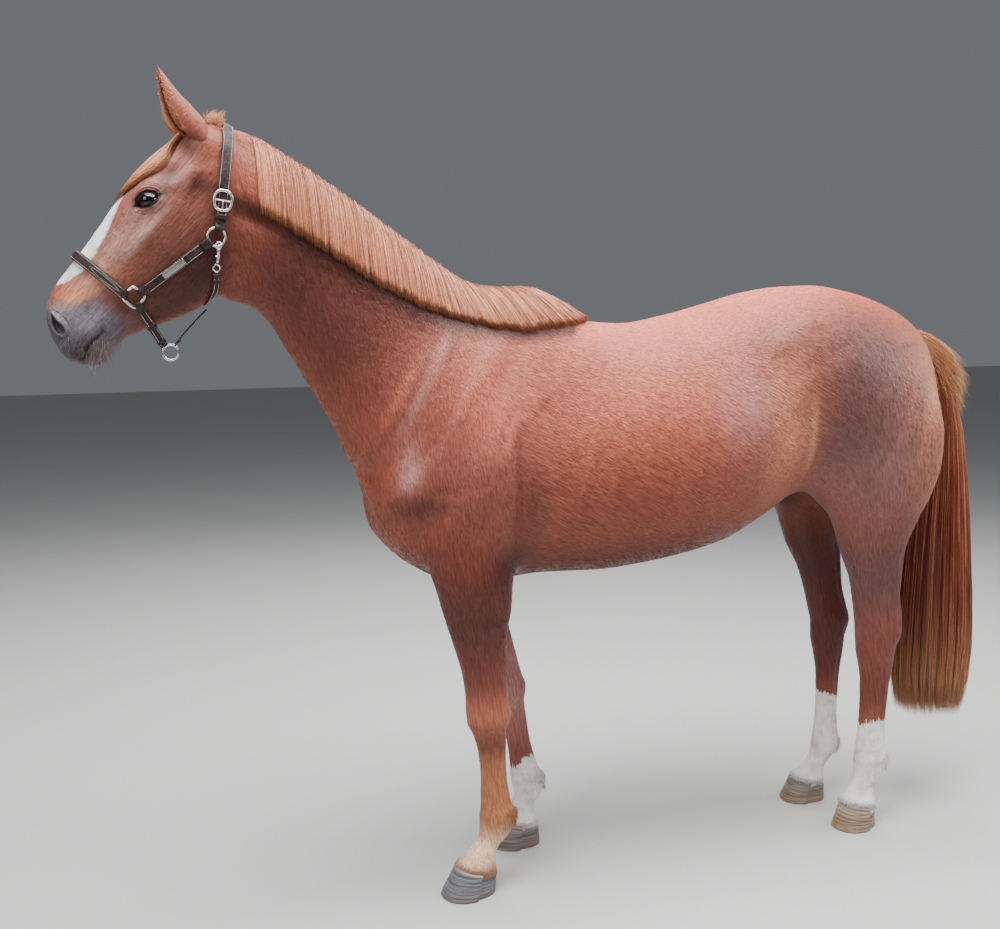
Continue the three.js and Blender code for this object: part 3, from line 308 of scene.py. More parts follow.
def body_field(points):
    """Distance to the body's surface in millimetres, negative inside."""
    f = smooth_min(TRUNK_LOFT.distance(points), NECK_LOFT.distance(points), BLEND["neck"])
    f = smooth_min(f, HEAD_LOFT.distance(points), BLEND["head"])
    for name, loft in LEG_LOFTS.items():
        f = smooth_min(f, loft.distance(points), BLEND[name[:4]])
    for bump in BODY_BUMPS + FINE_BODY_BUMPS:
        f = f - bump_height(bump, points)
    near = points[:, 0] < HEAD_BUMPS_BEFORE
    on_head = to_head(points[near])
    relief = np.zeros(len(on_head))
    for bump in HEAD_BUMPS + FINE_HEAD_BUMPS:
        relief += bump_height(bump, on_head)
    f[near] -= relief
    low = points[:, 2] < LEG_BUMPS_BELOW
    relief = np.zeros(low.sum())
    for name, leg in LEG_BUMPS.items():
        for bump in leg:
            relief += leg_bump_height(name, bump, points[low])
    f[low] -= relief
    return f


def field_gradient(points, step=1.5):
    """The slope of the field at each point."""
    gradient = np.empty_like(points)
    for k in range(3):
        e = np.zeros(3)
        e[k] = step
        gradient[:, k] = (body_field(points + e) - body_field(points - e)) / (2 * step)
    return gradient


def field_normal(points):
    """The way out of the body at each point, one unit long."""
    gradient = field_gradient(points)
    return gradient / np.maximum(np.linalg.norm(gradient, axis=1, keepdims=True), 1e-9)


LONGEST_MOVE = 20


def settle(points, offset):
    """Moves points along the field's slope until they are at the offset from its surface."""
    for _ in range(2):
        gap = np.clip(offset - body_field(points), -LONGEST_MOVE, LONGEST_MOVE)
        gradient = field_gradient(points)
        steepness = np.maximum((gradient ** 2).sum(axis=1), 0.5)
        points = points + gradient * (gap / steepness)[:, None]
    return points


RAY_START, RAY_STEP, RAY_STEPS, RAY_HALVINGS = 10.0, 8, 60, 12


def outward(centres, directions, offset):
    """Where rays from inside the body leave its surface, raised by an offset."""
    far = np.full(len(centres), RAY_START)
    offset = np.broadcast_to(offset, far.shape)
    for _ in range(RAY_STEPS):
        inside = body_field(centres + directions * far[:, None]) < offset
        if not inside.any():
            break
        far[inside] += RAY_STEP
    near = far - RAY_STEP
    for _ in range(RAY_HALVINGS):
        middle = (near + far) / 2
        inside = body_field(centres + directions * middle[:, None]) < offset
        near = np.where(inside, middle, near)
        far = np.where(inside, far, middle)
    return centres + directions * far[:, None]


# ---------------------------------------------------------------- finer relief of the skin
FINE_BODY_BUMPS = [
    (-505, 198, 1150, 50, 90, 14, 50, -5),         # groove before the shoulder's muscle
    (-395, 236, 1010, 35, 60, 30, 50, 5),          # muscle over the elbow
    (-300, 250, 985, 70, 50, 18, 50, 5),           # elbow
    (-360, 190, 1330, 62, 120, 12, 60, 4),         # front edge of the blade
    (-268, 235, 1240, 68, 90, 14, 60, -5),         # groove of the triceps
    (-150, 250, 1010, 80, 70, 20, 60, -4),         # behind the elbow
    (-60, 270, 1120, 75, 150, 13, 60, 2.2),        # ribs
    (20, 275, 1120, 76, 160, 13, 60, 2.4),
    (98, 280, 1125, 77, 165, 13, 60, 2.4),
    (176, 283, 1130, 78, 165, 13, 60, 2.2),
    (254, 284, 1140, 79, 155, 13, 60, 2.0),
    (330, 280, 1150, 80, 140, 14, 60, 1.8),
    (410, 276, 1150, 62, 150, 24, 60, 3),          # last ribs and the edge of the flank
    (478, 262, 1130, 52, 130, 20, 60, -4),         # hollow behind them
    (590, 220, 1010, 35, 100, 16, 70, 6),          # fold of the flank
    (700, 240, 1420, 25, 120, 26, 60, -4),         # hollow under the croup
    (620, 215, 1500, 10, 60, 20, 60, 4),           # edge of the hip bone
    (860, 255, 1330, 62, 130, 26, 60, 3),          # muscle of the quarters
    (905, 250, 1240, 68, 150, 13, 60, -4),         # groove of the quarters
    (1010, 225, 1190, 74, 150, 22, 60, 4),         # hamstring
    (700, 268, 1090, 55, 90, 20, 60, -4),          # groove of the stifle
]
# On the head: veins, bones and folds.
FINE_HEAD_BUMPS = [
    (-58, 68, 56, 0, 44, 38, 44, 13),              # root of the ear
    (30, 94, 34, 40, 60, 10, 40, 3),               # arch behind the eye
    (66, 86, 88, 15, 36, 10, 40, 4),               # upper edge of the temple
    (100, 99, -30, -20, 70, 14, 40, -3),           # hollow before the cheek's muscle
    (196, 86, -40, -62, 70, 4, 30, 2.2),           # vein below the crest
    (262, 74, -18, -22, 60, 3.5, 30, 1.8),         # vein over the cheek
    (300, 58, 72, -6, 90, 8, 30, 3),               # edge of the nose bone
    (408, 58, 8, -25, 40, 14, 30, 3),              # muscle of the upper lip
    (452, 56, -22, -40, 30, 10, 30, -2.5),         # fold behind the nostril
    (430, 50, -66, -10, 30, 9, 30, 4),             # upper lip's corner
    (440, 47, -92, -10, 40, 10, 30, 3),            # lower lip
    (522, 30, -52, -60, 20, 14, 30, 3),            # front of the upper lip
    (225, 52, -196, -8, 110, 12, 30, 4),           # edge of the jaw
    (215, 0, -205, -8, 130, 26, 40, -14),          # channel between the jaw bones
    (12, 70, -150, 70, 70, 18, 40, -6),            # hollow behind the jaw
    (-50, 58, 66, 60, 44, 34, 40, 9),              # root of the ear
    (445, 50, -60, 0, 8, 8, 24, -3),               # corner of the mouth
]
# On a leg: joint number and fraction, towards the tail, outwards, half height, half depth,
# half width, height.
FORE_BUMPS = [
    (1.22, -66, 20, 100, 26, 40, 7),               # forearm's front muscle
    (1.26, 62, 30, 100, 26, 34, 5),                # forearm's rear muscle
    (1.3, 6, 60, 120, 9, 40, -4),                  # groove between them
    (1.93, -48, 0, 26, 22, 34, 3),                 # knee's upper row
    (2.04, -46, 0, 16, 22, 34, 3),                 # knee's lower row
    (1.95, 56, 8, 26, 20, 18, 6),                  # bone behind the knee
    (2.5, 10, 30, 100, 7, 16, -5),                 # groove before the tendon
    (2.5, 10, -30, 100, 7, 16, -5),
    (2.5, -2, 0, 110, 60, 60, -1.5),
    (2.98, 40, 0, 22, 22, 24, 5),                  # back of the fetlock
    (3.0, -6, 36, 18, 18, 14, 3),
    (3.0, -6, -36, 18, 18, 14, 3),
    (3.5, 34, 0, 24, 20, 24, -3),                  # hollow of the pastern
    (3.96, 0, 0, 9, 90, 90, 2),                    # coronet
]
HIND_BUMPS = [
    (1.3, -70, 30, 100, 34, 40, 6),                # gaskin's front muscle
    (1.62, 34, 48, 90, 12, 24, -9),                # hollow before the hock's tendon
    (1.62, 34, -48, 90, 12, 24, -9),
    (1.86, 66, 0, 34, 18, 16, 8),                  # point of the hock
    (1.96, -22, 42, 26, 24, 18, 4),
    (1.96, -22, -42, 26, 24, 18, 5),
    (2.1, -48, 0, 40, 16, 26, -3),
    (2.5, 12, 30, 110, 7, 16, -5),                 # groove before the tendon
    (2.5, 12, -30, 110, 7, 16, -5),
    (2.98, 42, 0, 22, 22, 24, 5),                  # back of the fetlock
    (3.0, -6, 36, 18, 18, 14, 3),
    (3.0, -6, -36, 18, 18, 14, 3),
    (3.5, 32, 0, 24, 20, 24, -3),                  # hollow of the pastern
    (3.96, 0, 0, 9, 90, 90, 2),                    # coronet
]
LEG_BUMPS = {name: FORE_BUMPS if name.startswith("fore") else HIND_BUMPS for name in LEGS}


def on_leg(name, points):
    """Places on a leg: depth towards the tail and distance outwards from its middle line."""
    loft = LEG_LOFTS[name]
    row = loft.curve(-points[:, 2])
    d = points[:, 0] - row[:, 4]
    w = -points[:, 1] - row[:, 7]
    c, n = math.cos(loft.turn), math.sin(loft.turn)
    return c * d - n * w, -LEGS[name][1] * (n * d + c * w)


BUMP_REACH = 2.6
LEG_REACH = 220


def leg_bump_height(name, bump, points):
    """Height of a bump of a leg at each point, nothing beyond its reach."""
    u, back, out, half_height, half_depth, half_width, height = bump
    joints, side, _ = LEGS[name]
    x, _, z = along_joints(joints, u)
    result = np.zeros(len(points))
    near = (np.abs(points[:, 2] - z) < BUMP_REACH * half_height) & (points[:, 1] * side > 0)
    near &= np.abs(points[:, 0] - x) < LEG_REACH
    if not near.any():
        return result
    depth, outwards = on_leg(name, points[near])
    power = (((points[near, 2] - z) / half_height) ** 2 + ((depth - back) / half_depth) ** 2
             + ((outwards - out) / half_width) ** 2)
    result[near] = height * np.exp(-power)
    return result


# ---------------------------------------------------------------- meshing the skin
SKIN_CELL = 13.0
COARSE_STEP = 4
COARSE_REACH = 1.35
POINTS_AT_ONCE = 60000
SKIN_LOW = np.array([-1384.0, -331.0, 21.0])
SKIN_HIGH = np.array([1190.0, 330.0, 2030.0])
CORNERS = np.array([(i, j, k) for i in (0, 1) for j in (0, 1) for k in (0, 1)])
EDGES = [(0, 1), (2, 3), (4, 5), (6, 7), (0, 2), (1, 3), (4, 6), (5, 7), (0, 4), (1, 5), (2, 6),
         (3, 7)]
CELLS_ROUND = [
    ((1, 0, 0), [(0, -1, -1), (0, 0, -1), (0, 0, 0), (0, -1, 0)]),
    ((0, 1, 0), [(-1, 0, -1), (-1, 0, 0), (0, 0, 0), (0, 0, -1)]),
    ((0, 0, 1), [(-1, -1, 0), (0, -1, 0), (0, 0, 0), (-1, 0, 0)]),
]


def sampled_field(low, high, cell):
    """The field on a grid, worked out only near the surface and signed elsewhere."""
    blocks = np.ceil((high - low) / (cell * COARSE_STEP)).astype(int)
    coarse_axes = [low[k] + np.arange(blocks[k] + 1) * cell * COARSE_STEP for k in range(3)]
    coarse = body_field(np.stack(np.meshgrid(*coarse_axes, indexing="ij"), -1).reshape(-1, 3))
    coarse = coarse.reshape(blocks + 1)
    reach = cell * COARSE_STEP * COARSE_REACH
    corners = np.stack([coarse[i:blocks[0] + i, j:blocks[1] + j, k:blocks[2] + k]
                        for i, j, k in CORNERS])
    is_near = (np.abs(corners).min(0) < reach) | ((corners < 0).any(0) & (corners > 0).any(0))
    size = blocks * COARSE_STEP + 1
    values = np.full(size, FAR_OUTSIDE)
    inside = np.repeat(np.repeat(np.repeat(coarse[:-1, :-1, :-1] < 0, COARSE_STEP, 0),
                                 COARSE_STEP, 1), COARSE_STEP, 2)
    values[:-1, :-1, :-1][inside] = -FAR_OUTSIDE
    wanted = np.zeros(size, bool)
    for i, j, k in np.argwhere(is_near):
        a, b, c = i * COARSE_STEP, j * COARSE_STEP, k * COARSE_STEP
        wanted[a:a + COARSE_STEP + 1, b:b + COARSE_STEP + 1, c:c + COARSE_STEP + 1] = True
    cells = np.argwhere(wanted)
    for part in np.array_split(cells, max(1, len(cells) // POINTS_AT_ONCE)):
        values[tuple(part.T)] = body_field(low + part * cell) + COAT_DEPTH
    return values


def field_mesh(low, high, cell):
    """Quads of the field's surface, one point in each cell that it crosses."""
    values = sampled_field(low, high, cell)
    inside = values < 0
    size = np.array(values.shape) - 1
    corner_inside = np.stack([inside[i:size[0] + i, j:size[1] + j, k:size[2] + k]
                              for i, j, k in CORNERS])
    mixed = corner_inside.any(0) & ~corner_inside.all(0)
    cells = np.argwhere(mixed)
    corner_values = np.stack([values[tuple((cells + c).T)] for c in CORNERS], 1)
    total = np.zeros((len(cells), 3))
    count = np.zeros(len(cells))
    for a, b in EDGES:
        va, vb = corner_values[:, a], corner_values[:, b]
        crossed = (va < 0) != (vb < 0)
        t = np.where(crossed, va / np.where(crossed, va - vb, 1), 0)[:, None]
        place = CORNERS[a] + (CORNERS[b] - CORNERS[a]) * t
        total += np.where(crossed[:, None], place, 0)
        count += crossed
    points = low + (cells + total / count[:, None]) * cell
    number = np.full(mixed.shape, -1)
    number[tuple(cells.T)] = np.arange(len(cells))
    quads = []
    for along, around_edge in CELLS_ROUND:
        here = inside[1:size[0], 1:size[1], 1:size[2]]
        there = inside[1 + along[0]:size[0] + along[0], 1 + along[1]:size[1] + along[1],
                       1 + along[2]:size[2] + along[2]]
        for flip, cross in ((False, here & ~there), (True, ~here & there)):
            edge = np.argwhere(cross) + 1
            loop = [number[tuple((edge + c).T)] for c in around_edge]
            quads.append(np.stack(loop[::-1] if flip else loop, 1))
    return points, np.concatenate(quads)


def triangles_of(points, quads):
    """Splits quads along their shorter diagonal."""
    first = np.linalg.norm(points[quads[:, 0]] - points[quads[:, 2]], axis=1)
    second = np.linalg.norm(points[quads[:, 1]] - points[quads[:, 3]], axis=1)
    turned = np.where((first <= second)[:, None], quads, np.roll(quads, -1, axis=1))
    return np.concatenate([turned[:, [0, 1, 2]], turned[:, [0, 2, 3]]])


def face_edges(faces):
    """The three edges of each triangle, the lower point number first."""
    return np.sort(np.concatenate([faces[:, [0, 1]], faces[:, [1, 2]], faces[:, [2, 0]]]), axis=1)


LONG_EDGE = 1.35


def refine(points, faces):
    """Halves each edge that is longer than wanted there, and divides the faces to match."""
    unique, of_face = np.unique(face_edges(faces), axis=0, return_inverse=True)
    of_face = of_face.reshape(3, -1).T
    middle = points[unique].mean(axis=1)
    length = np.linalg.norm(points[unique[:, 0]] - points[unique[:, 1]], axis=1)
    is_long = length > wanted_edge(middle) * LONG_EDGE
    number = np.full(len(unique), -1)
    number[is_long] = len(points) + np.arange(is_long.sum())
    points = np.concatenate([points, middle[is_long]])
    m = number[of_face]
    split = m >= 0
    result = [faces[split.sum(1) == 0]]
    for turn in range(3):
        a, b, c = (faces[:, (turn + k) % 3] for k in range(3))
        ab, bc, ca = (m[:, (turn + k) % 3] for k in range(3))
        one = (ab >= 0) & (bc < 0) & (ca < 0)
        result.append(np.stack([a, ab, c], 1)[one])
        result.append(np.stack([ab, b, c], 1)[one])
        two = (ab >= 0) & (bc >= 0) & (ca < 0)
        result.append(np.stack([ab, b, bc], 1)[two])
        result.append(np.stack([a, ab, bc], 1)[two])
        result.append(np.stack([a, bc, c], 1)[two])
    three = split.all(1)
    a, b, c = faces[three].T
    ab, bc, ca = m[three].T
    for corner in ((a, ab, ca), (ab, b, bc), (ca, bc, c), (ab, bc, ca)):
        result.append(np.stack(corner, 1))
    return points, np.concatenate(result)


def relax(points, faces, share):
    """Moves each point part of the way to the middle of its neighbours."""
    edges = np.unique(face_edges(faces), axis=0)
    total = np.zeros_like(points)
    count = np.zeros(len(points))
    for a, b in (edges.T, edges.T[::-1]):
        for k in range(3):
            total[:, k] += np.bincount(a, points[b, k], len(points))
        count += np.bincount(a, minlength=len(points))
    return points + (total / np.maximum(count, 1)[:, None] - points) * share


def point_normals(points, faces):
    """The way out of a mesh at each of its points."""
    corner = points[faces]
    normal = np.cross(corner[:, 1] - corner[:, 0], corner[:, 2] - corner[:, 0])
    result = np.zeros_like(points)
    for k in range(3):
        for j in range(3):
            result[:, j] += np.bincount(faces[:, k], normal[:, j], len(points))
    return result / np.maximum(np.linalg.norm(result, axis=1, keepdims=True), 1e-12)


EYE_PLACE = np.array([140.0, 82.0, 55.0])
EYE_RADIUS = 25.0
NOSTRIL_PLACE = np.array([503.0, 50.0, 27.0])
# Edges wanted on each part, and the planes where the legs, feet, head and muzzle begin.
WANTED = {"body": 15.0, "leg": 8.5, "foot": 7.0, "head": 6.5, "muzzle": 4.0, "opening": 3.2}
LEG_TOP, FOOT_TOP, HEAD_BACK, POLL_PLACE, MUZZLE_PLACE = 700, 300, -850, -60, 395
EYE_REACH, NOSTRIL_REACH = 55, 34


def wanted_edge(points):
    """The longest edge wanted at each place: fine at the head's openings, coarse on the trunk."""
    edge = np.full(len(points), WANTED["body"])
    edge[points[:, 2] < LEG_TOP] = WANTED["leg"]
    edge[points[:, 2] < FOOT_TOP] = WANTED["foot"]
    head = to_head(points)
    head[:, 1] = np.abs(head[:, 1])
    on_head = (points[:, 0] < HEAD_BACK) & (head[:, 0] > POLL_PLACE)
    edge[on_head] = WANTED["head"]
    edge[on_head & (head[:, 0] > MUZZLE_PLACE)] = WANTED["muzzle"]
    for place, reach in ((EYE_PLACE, EYE_REACH), (NOSTRIL_PLACE, NOSTRIL_REACH)):
        edge[on_head & (np.linalg.norm(head - place, axis=1) < reach)] = WANTED["opening"]
    return edge


def skin_mesh():
    """The skin of the whole body, a coat's depth inside the field's surface."""
    points, quads = field_mesh(SKIN_LOW, SKIN_HIGH, SKIN_CELL)
    points = settle(points, -COAT_DEPTH)
    faces = triangles_of(points, quads)
    for _ in range(3):
        points, faces = refine(points, faces)
        points = relax(points, faces, 0.4)
        points = settle(points, -COAT_DEPTH)
    points = relax(points, faces, 0.3)
    points = settle(points, -COAT_DEPTH)
    return points, faces


# ---------------------------------------------------------------- markings and colour
def linear(red, green, blue):
    """A colour given as 0 to 255 of a screen, as the linear light that Blender mixes."""
    return tuple((v / 255) ** 2.2 for v in (red, green, blue))


CHESTNUT = linear(140, 79, 64)
RED = linear(104, 48, 37)
MAUVE = linear(98, 70, 71)
BROWN = linear(76, 45, 43)
# Painted highlight: the coat's pink sheen where the light falls on it.
SALMON_SHEEN = linear(212, 122, 100)
SUNLIT = linear(214, 112, 88)
# Painted highlight on lit edges.
EDGE_HIGHLIGHT = linear(226, 158, 118)
TAN = linear(206, 134, 104)
# Painted highlight: the coat's lilac sheen.
LILAC_SHEEN = linear(186, 140, 142)
SHADOW = linear(48, 24, 20)
SAND = linear(168, 114, 76)
CREAM = linear(236, 208, 178)
GREY = linear(80, 84, 96)
DARK = linear(44, 28, 26)
WHITE = linear(236, 234, 232)
# Areas of the coat: x, |y|, z, half length, half width, half height, colour, strength. Some are
# painted highlights and painted shade.
BODY_AREAS = [
    (700, 0, 1640, 480, 220, 110, SUNLIT, 0.7),    # croup
    (150, 120, 1540, 460, 200, 120, SUNLIT, 0.7),  # back
    (120, 290, 1310, 420, 120, 150, SALMON_SHEEN, 0.6),  # painted highlight on the side of the barrel
    (420, 260, 1290, 110, 120, 120, LILAC_SHEEN, 0.52),  # painted highlight on the flank
    (-330, 240, 1130, 190, 140, 230, MAUVE, 0.45),              # shoulder and upper arm
    # painted highlight on the shoulder
    (-300, 240, 1300, 110, 120, 150, SALMON_SHEEN, 0.45),
    (800, 240, 1370, 170, 150, 190, MAUVE, 0.95),  # quarters
    (840, 240, 1110, 200, 150, 200, linear(130, 97, 94), 0.9),
    (740, 240, 1220, 110, 150, 230, MAUVE, 0.7),
    (540, 200, 1440, 110, 120, 70, MAUVE, 0.65),   # behind the point of the hip
    (535, 250, 1210, 74, 130, 200, TAN, 0.75),     # fold of the flank
    (1085, 130, 1150, 110, 120, 230, EDGE_HIGHLIGHT, 0.95),  # painted highlight on the edge of the buttock
    (200, 130, 800, 520, 220, 130, RED, 0.95),     # painted shade on the belly's underside
    # deeper painted shade low under the belly
    (250, 60, 790, 500, 200, 120, linear(66, 26, 15), 0.97),
    (-430, 120, 900, 150, 170, 130, RED, 0.6),     # breast
    (-640, 110, 1500, 240, 110, 190, BROWN, 0.85),              # neck
    (-780, 100, 1640, 170, 90, 160, BROWN, 0.95),
    (-262, 200, 880, 60, 110, 62, SHADOW, 0.9),    # under the elbow
    (710, 70, 975, 70, 60, 50, DARK, 0.9),         # painted shade in the groin
]
# Narrow streaks: x, |y|, z, slope, half length, half breadth, half depth, colour, strength; painted
# shade and highlights along edges and hollows.
BODY_STREAKS = [
    (-500, 175, 1332, 61, 112, 9, 90, BROWN, 0.42),             # front edge of the shoulder blade: painted shade between painted highlights
    (-482, 175, 1324, 61, 116, 14, 90, LILAC_SHEEN, 0.28),
    (-522, 175, 1342, 61, 100, 14, 90, SALMON_SHEEN, 0.3),
    # a second edge higher up: painted shade beside a painted highlight
    (-382, 185, 1454, 59, 46, 9, 90, BROWN, 0.6),
    (-402, 185, 1464, 59, 50, 13, 90, LILAC_SHEEN, 0.32),
    (-510, 190, 1150, 80, 66, 24, 90, LILAC_SHEEN, 0.58),             # painted highlight on the point of the shoulder
    (-494, 200, 1060, 20, 74, 36, 90, BROWN, 0.85),             # painted shade in the hollow under it
    (-240, 245, 1060, 90, 170, 10, 90, BROWN, 0.5),             # painted shade behind the triceps
    (-208, 245, 1050, 90, 170, 36, 90, BROWN, 0.4),
    (618, 225, 1180, 90, 120, 10, 70, EDGE_HIGHLIGHT, 0.6),  # painted highlight on the edge of the flank's fold
]
# On the head: along, |sideways|, towards the face, the three half sizes, colour, strength. Some are
# painted highlights and painted shade.
HEAD_AREAS = [
    (200, 80, -20, 260, 90, 160, linear(112, 74, 63), 0.68),
    (60, 60, 80, 90, 60, 40, linear(182, 128, 122), 0.65),      # painted highlight on the forehead
    # painted highlight down the side of the nose
    (250, 60, 50, 120, 50, 26, linear(200, 160, 150), 0.6),
    (56, 90, 58, 42, 50, 20, BROWN, 0.85),         # painted shade in the hollow over the eye
    # painted highlight in front of the eye
    (180, 84, 30, 50, 40, 12, linear(206, 170, 158), 0.5),
    (170, 90, -60, 120, 60, 70, linear(98, 62, 54), 0.8),       # cheek
    (72, 92, 36, 30, 60, 12, SHADOW, 0.75),        # shade behind the temple
    (42, 92, 0, 28, 60, 16, SHADOW, 0.75),
    # painted highlight on the brow behind the eye
    (36, 92, 40, 40, 60, 11, linear(200, 150, 142), 0.5),
    (-20, 84, 66, 22, 60, 24, SHADOW, 0.7),        # under the ear
    (222, 84, 12, 76, 40, 9, linear(214, 178, 170), 0.7),       # painted highlight on the crest of the cheek
    (370, 66, 30, 56, 60, 40, linear(206, 150, 126), 0.7),      # side of the nose
    (430, 56, 38, 30, 50, 22, linear(206, 138, 102), 0.8),
    (392, 60, -10, 50, 60, 26, MAUVE, 0.55),
    (390, 60, -60, 60, 60, 30, BROWN, 0.6),
    (215, 80, -142, 200, 90, 62, DARK, 0.9),       # painted shade under the jaw
    # more painted shade under the jaw
    (300, 60, -120, 90, 60, 40, BROWN, 0.85),
    (138, 100, 50, 40, 50, 34, MAUVE, 0.6),        # round the eye
]
# The same on the bare skin of the muzzle.
BARE_AREAS = [
    (436, 56, -24, 46, 50, 30, linear(160, 160, 178), 0.45),    # painted bluish highlight behind the nostril
    (474, 50, 40, 34, 50, 34, linear(150, 144, 154), 0.6),      # over the nostril
    (512, 45, -56, 56, 50, 34, linear(52, 50, 58), 0.85),       # lips
    (474, 40, -104, 50, 50, 30, linear(122, 108, 110), 0.6),    # chin
]
# On each leg, below a height: height of the middle, reach up and down, colour, strength.
LEG_PAINT_BELOW = 950
LEG_AREAS = {
    "foreleg_left": [(740, 150, BROWN, 0.85), (600, 110, BROWN, 0.35), (490, 50, TAN, 0.3),
                     (320, 100, SAND, 0.7), (408, 40, BROWN, 0.5), (205, 60, SAND, 0.8),
                     (120, 46, CREAM, 0.95)],
    # a painted lilac highlight round the far foreleg's knee
    "foreleg_right": [(800, 170, MAUVE, 0.3), (520, 200, LILAC_SHEEN, 0.6), (250, 60, BROWN, 0.3)],
    "hindleg_left": [(760, 170, MAUVE, 0.9), (560, 90, BROWN, 0.3), (410, 90, BROWN, 0.6)],
    "hindleg_right": [(760, 180, BROWN, 0.9), (560, 120, BROWN, 0.8), (440, 90, BROWN, 0.75)],
}
# The lower edge of the mane, along the neck and up from its axis: the coat is dark under it.
MANE_SHADOW = [(-180, 345), (-94, 250), (-22, 198), (59, 153), (157, 108), (283, 74), (394, 55),
               (520, 31), (626, 12), (752, -30)]
# Heights of the tops of the white socks, and how much higher they are in front and outside.
SOCKS = {"foreleg_right": (238, -10, -22), "hindleg_left": (320, -6, 8),
         "hindleg_right": (338, 8, 8)}
# A distance, in metres, that is far outside any white marking.
NO_MARKING = -0.2
# The near edge of the white stripe: places along the head, and heights towards the face.
BLAZE_LOW = [(30, 60, 110, 170, 193, 241, 314, 367, 414, 440, 470),
             (400, 150, 120, 106, 100, 84, 66, 64, 74, 94, 140)]
# Half the stripe's width along the head, and how far it may come round on the near side.
BLAZE_HALF = [(60, 110, 170, 250, 330, 400, 440, 470), (-14, 16, 27, 33, 30, 24, 8, -20)]
BLAZE_WRAP = 40
# The upper edge of the bare muzzle: heights towards the face, and places along the head.
MUZZLE_EDGE = [(-110, -74, -2, 40, 70), (404, 372, 386, 440, 462)]
MUZZLE_FADE = 44
# How far down from the mane's edge its shadow reaches, along the neck.
SHADOW_REACH = [(0, 120, 420, 700), (30, 52, 46, 24)]
FACE_BEFORE = -900


def gauss(*terms):
    """A smooth hill: 1 where all the terms are 0, and near 0 beyond 2."""
    return np.exp(-sum(t * t for t in terms))


def mix(colour, other, share):
    """Colours moved towards another one by a share for each."""
    return colour + (np.array(other) - colour) * share[:, None]


HIND_FROM = 400


def leg_of(points):
    """The name of the leg that each point belongs to, by its quarter of the body."""
    fore = points[:, 0] < HIND_FROM
    left = points[:, 1] < 0
    return np.where(fore, np.where(left, "foreleg_left", "foreleg_right"),
                    np.where(left, "hindleg_left", "hindleg_right"))


def sock_distance(points):
    """Metres below the edge of a white sock, negative above it."""
    result = np.full(len(points), NO_MARKING)
    owner = leg_of(points)
    for name, (top, front, outside) in SOCKS.items():
        mine = (owner == name) & (points[:, 2] < LEG_TOP)
        depth, outwards = on_leg(name, points[mine])
        around = np.hypot(depth, outwards) + 1e-6
        edge = top - front * depth / around + outside * outwards / around
        result[mine] = (edge - points[mine, 2]) * MM
    return result


def blaze_distance(points):
    """Metres inside the white stripe of the face, negative outside it."""
    head = to_head(points)
    s, y, d = head.T
    half = np.interp(s, *BLAZE_HALF)
    low = np.interp(s, *BLAZE_LOW)
    result = np.where(y < 0, np.minimum(d - low, half + BLAZE_WRAP), half - y) * MM
    return np.where((d > 20) & (s > 40) & (points[:, 0] < FACE_BEFORE), result, NO_MARKING)


def bareness(points):
    """How bare and grey the skin is: muzzle, lips and round the eyes."""
    head = to_head(points)
    s, y, d = head[:, 0], np.abs(head[:, 1]), head[:, 2]
    is_head = points[:, 0] < FACE_BEFORE
    muzzle = np.clip((s - np.interp(d, *MUZZLE_EDGE) + 8) / MUZZLE_FADE, 0, 1)
    lip = gauss((s - 455) / 70, (d + 88) / 34)
    eye = gauss((s - 138) / 27, (d - 58) / 20, (y - 92) / 30)
    return np.where(is_head, np.clip(np.maximum(muzzle, np.maximum(lip, 0.75 * eye)), 0, 1), 0)


def painted(tone, places, areas, share=1.0):
    """Lays areas on a tone, each fading away from its middle, the same on both sides."""
    x, y, z = places[:, 0], np.abs(places[:, 1]), places[:, 2]
    for cx, cy, cz, rx, ry, rz, colour, strength in areas:
        near = gauss((x - cx) / rx, (y - cy) / ry, (z - cz) / rz)
        tone = mix(tone, colour, strength * share * near)
    return tone


def mane_shadow(points):
    """How deep each point is in the shadow under the mane, on the near side of the neck."""
    along, y, up = to_neck(points).T
    edge = np.interp(along, *np.array(MANE_SHADOW, float).T)
    shadow = gauss((up - edge + 4) / np.interp(along, *SHADOW_REACH))
    return shadow * ((y < 0) & (along > -190) & (along < 770))


def coat_tone(points):
    """The coat's colour at each place, before its grain, with painted highlights and painted shade
    laid in.
    """
    tone = np.tile(np.array(CHESTNUT), (len(points), 1))
    tone = painted(tone, points, BODY_AREAS)
    for *place, colour, strength in BODY_STREAKS:
        tone = mix(tone, colour, bump_height((*place, strength), points))
    tone = mix(tone, SHADOW, 0.9 * mane_shadow(points))
    is_head = np.clip((-860 - points[:, 0]) / 90, 0, 1)
    head = to_head(points)
    tone = painted(tone, head, HEAD_AREAS, is_head)
    owner = leg_of(points)
    z = points[:, 2]
    for name, areas in LEG_AREAS.items():
        for centre, reach, colour, strength in areas:
            share = np.where(owner == name, strength * gauss((z - centre) / reach), 0)
            tone = mix(tone, colour, np.where(z < LEG_PAINT_BELOW, share, 0))
    bare = painted(np.tile(np.array(GREY), (len(points), 1)), head, BARE_AREAS)
    return tone + (bare - tone) * 0.92 * bareness(points)[:, None]


# The hair's directions: on the trunk, and then, each taking over from the one before it, the
# place along X where it starts, how far on it has taken over, and the direction.
TRUNK_LIE = (0.86, 0.0, -0.5)
LIES = [
    (600, 250, (0.35, 0, -0.94)),                  # quarters
    (-150, -200, (0.25, 0, -0.97)),                # shoulder
    (-430, -150, (0.42, 0, -0.9)),                 # neck
    (-880, -80, tuple(-HEAD_FRAME[1])),            # head
]
LEG_LIE = (0.08, 0, -1.0)


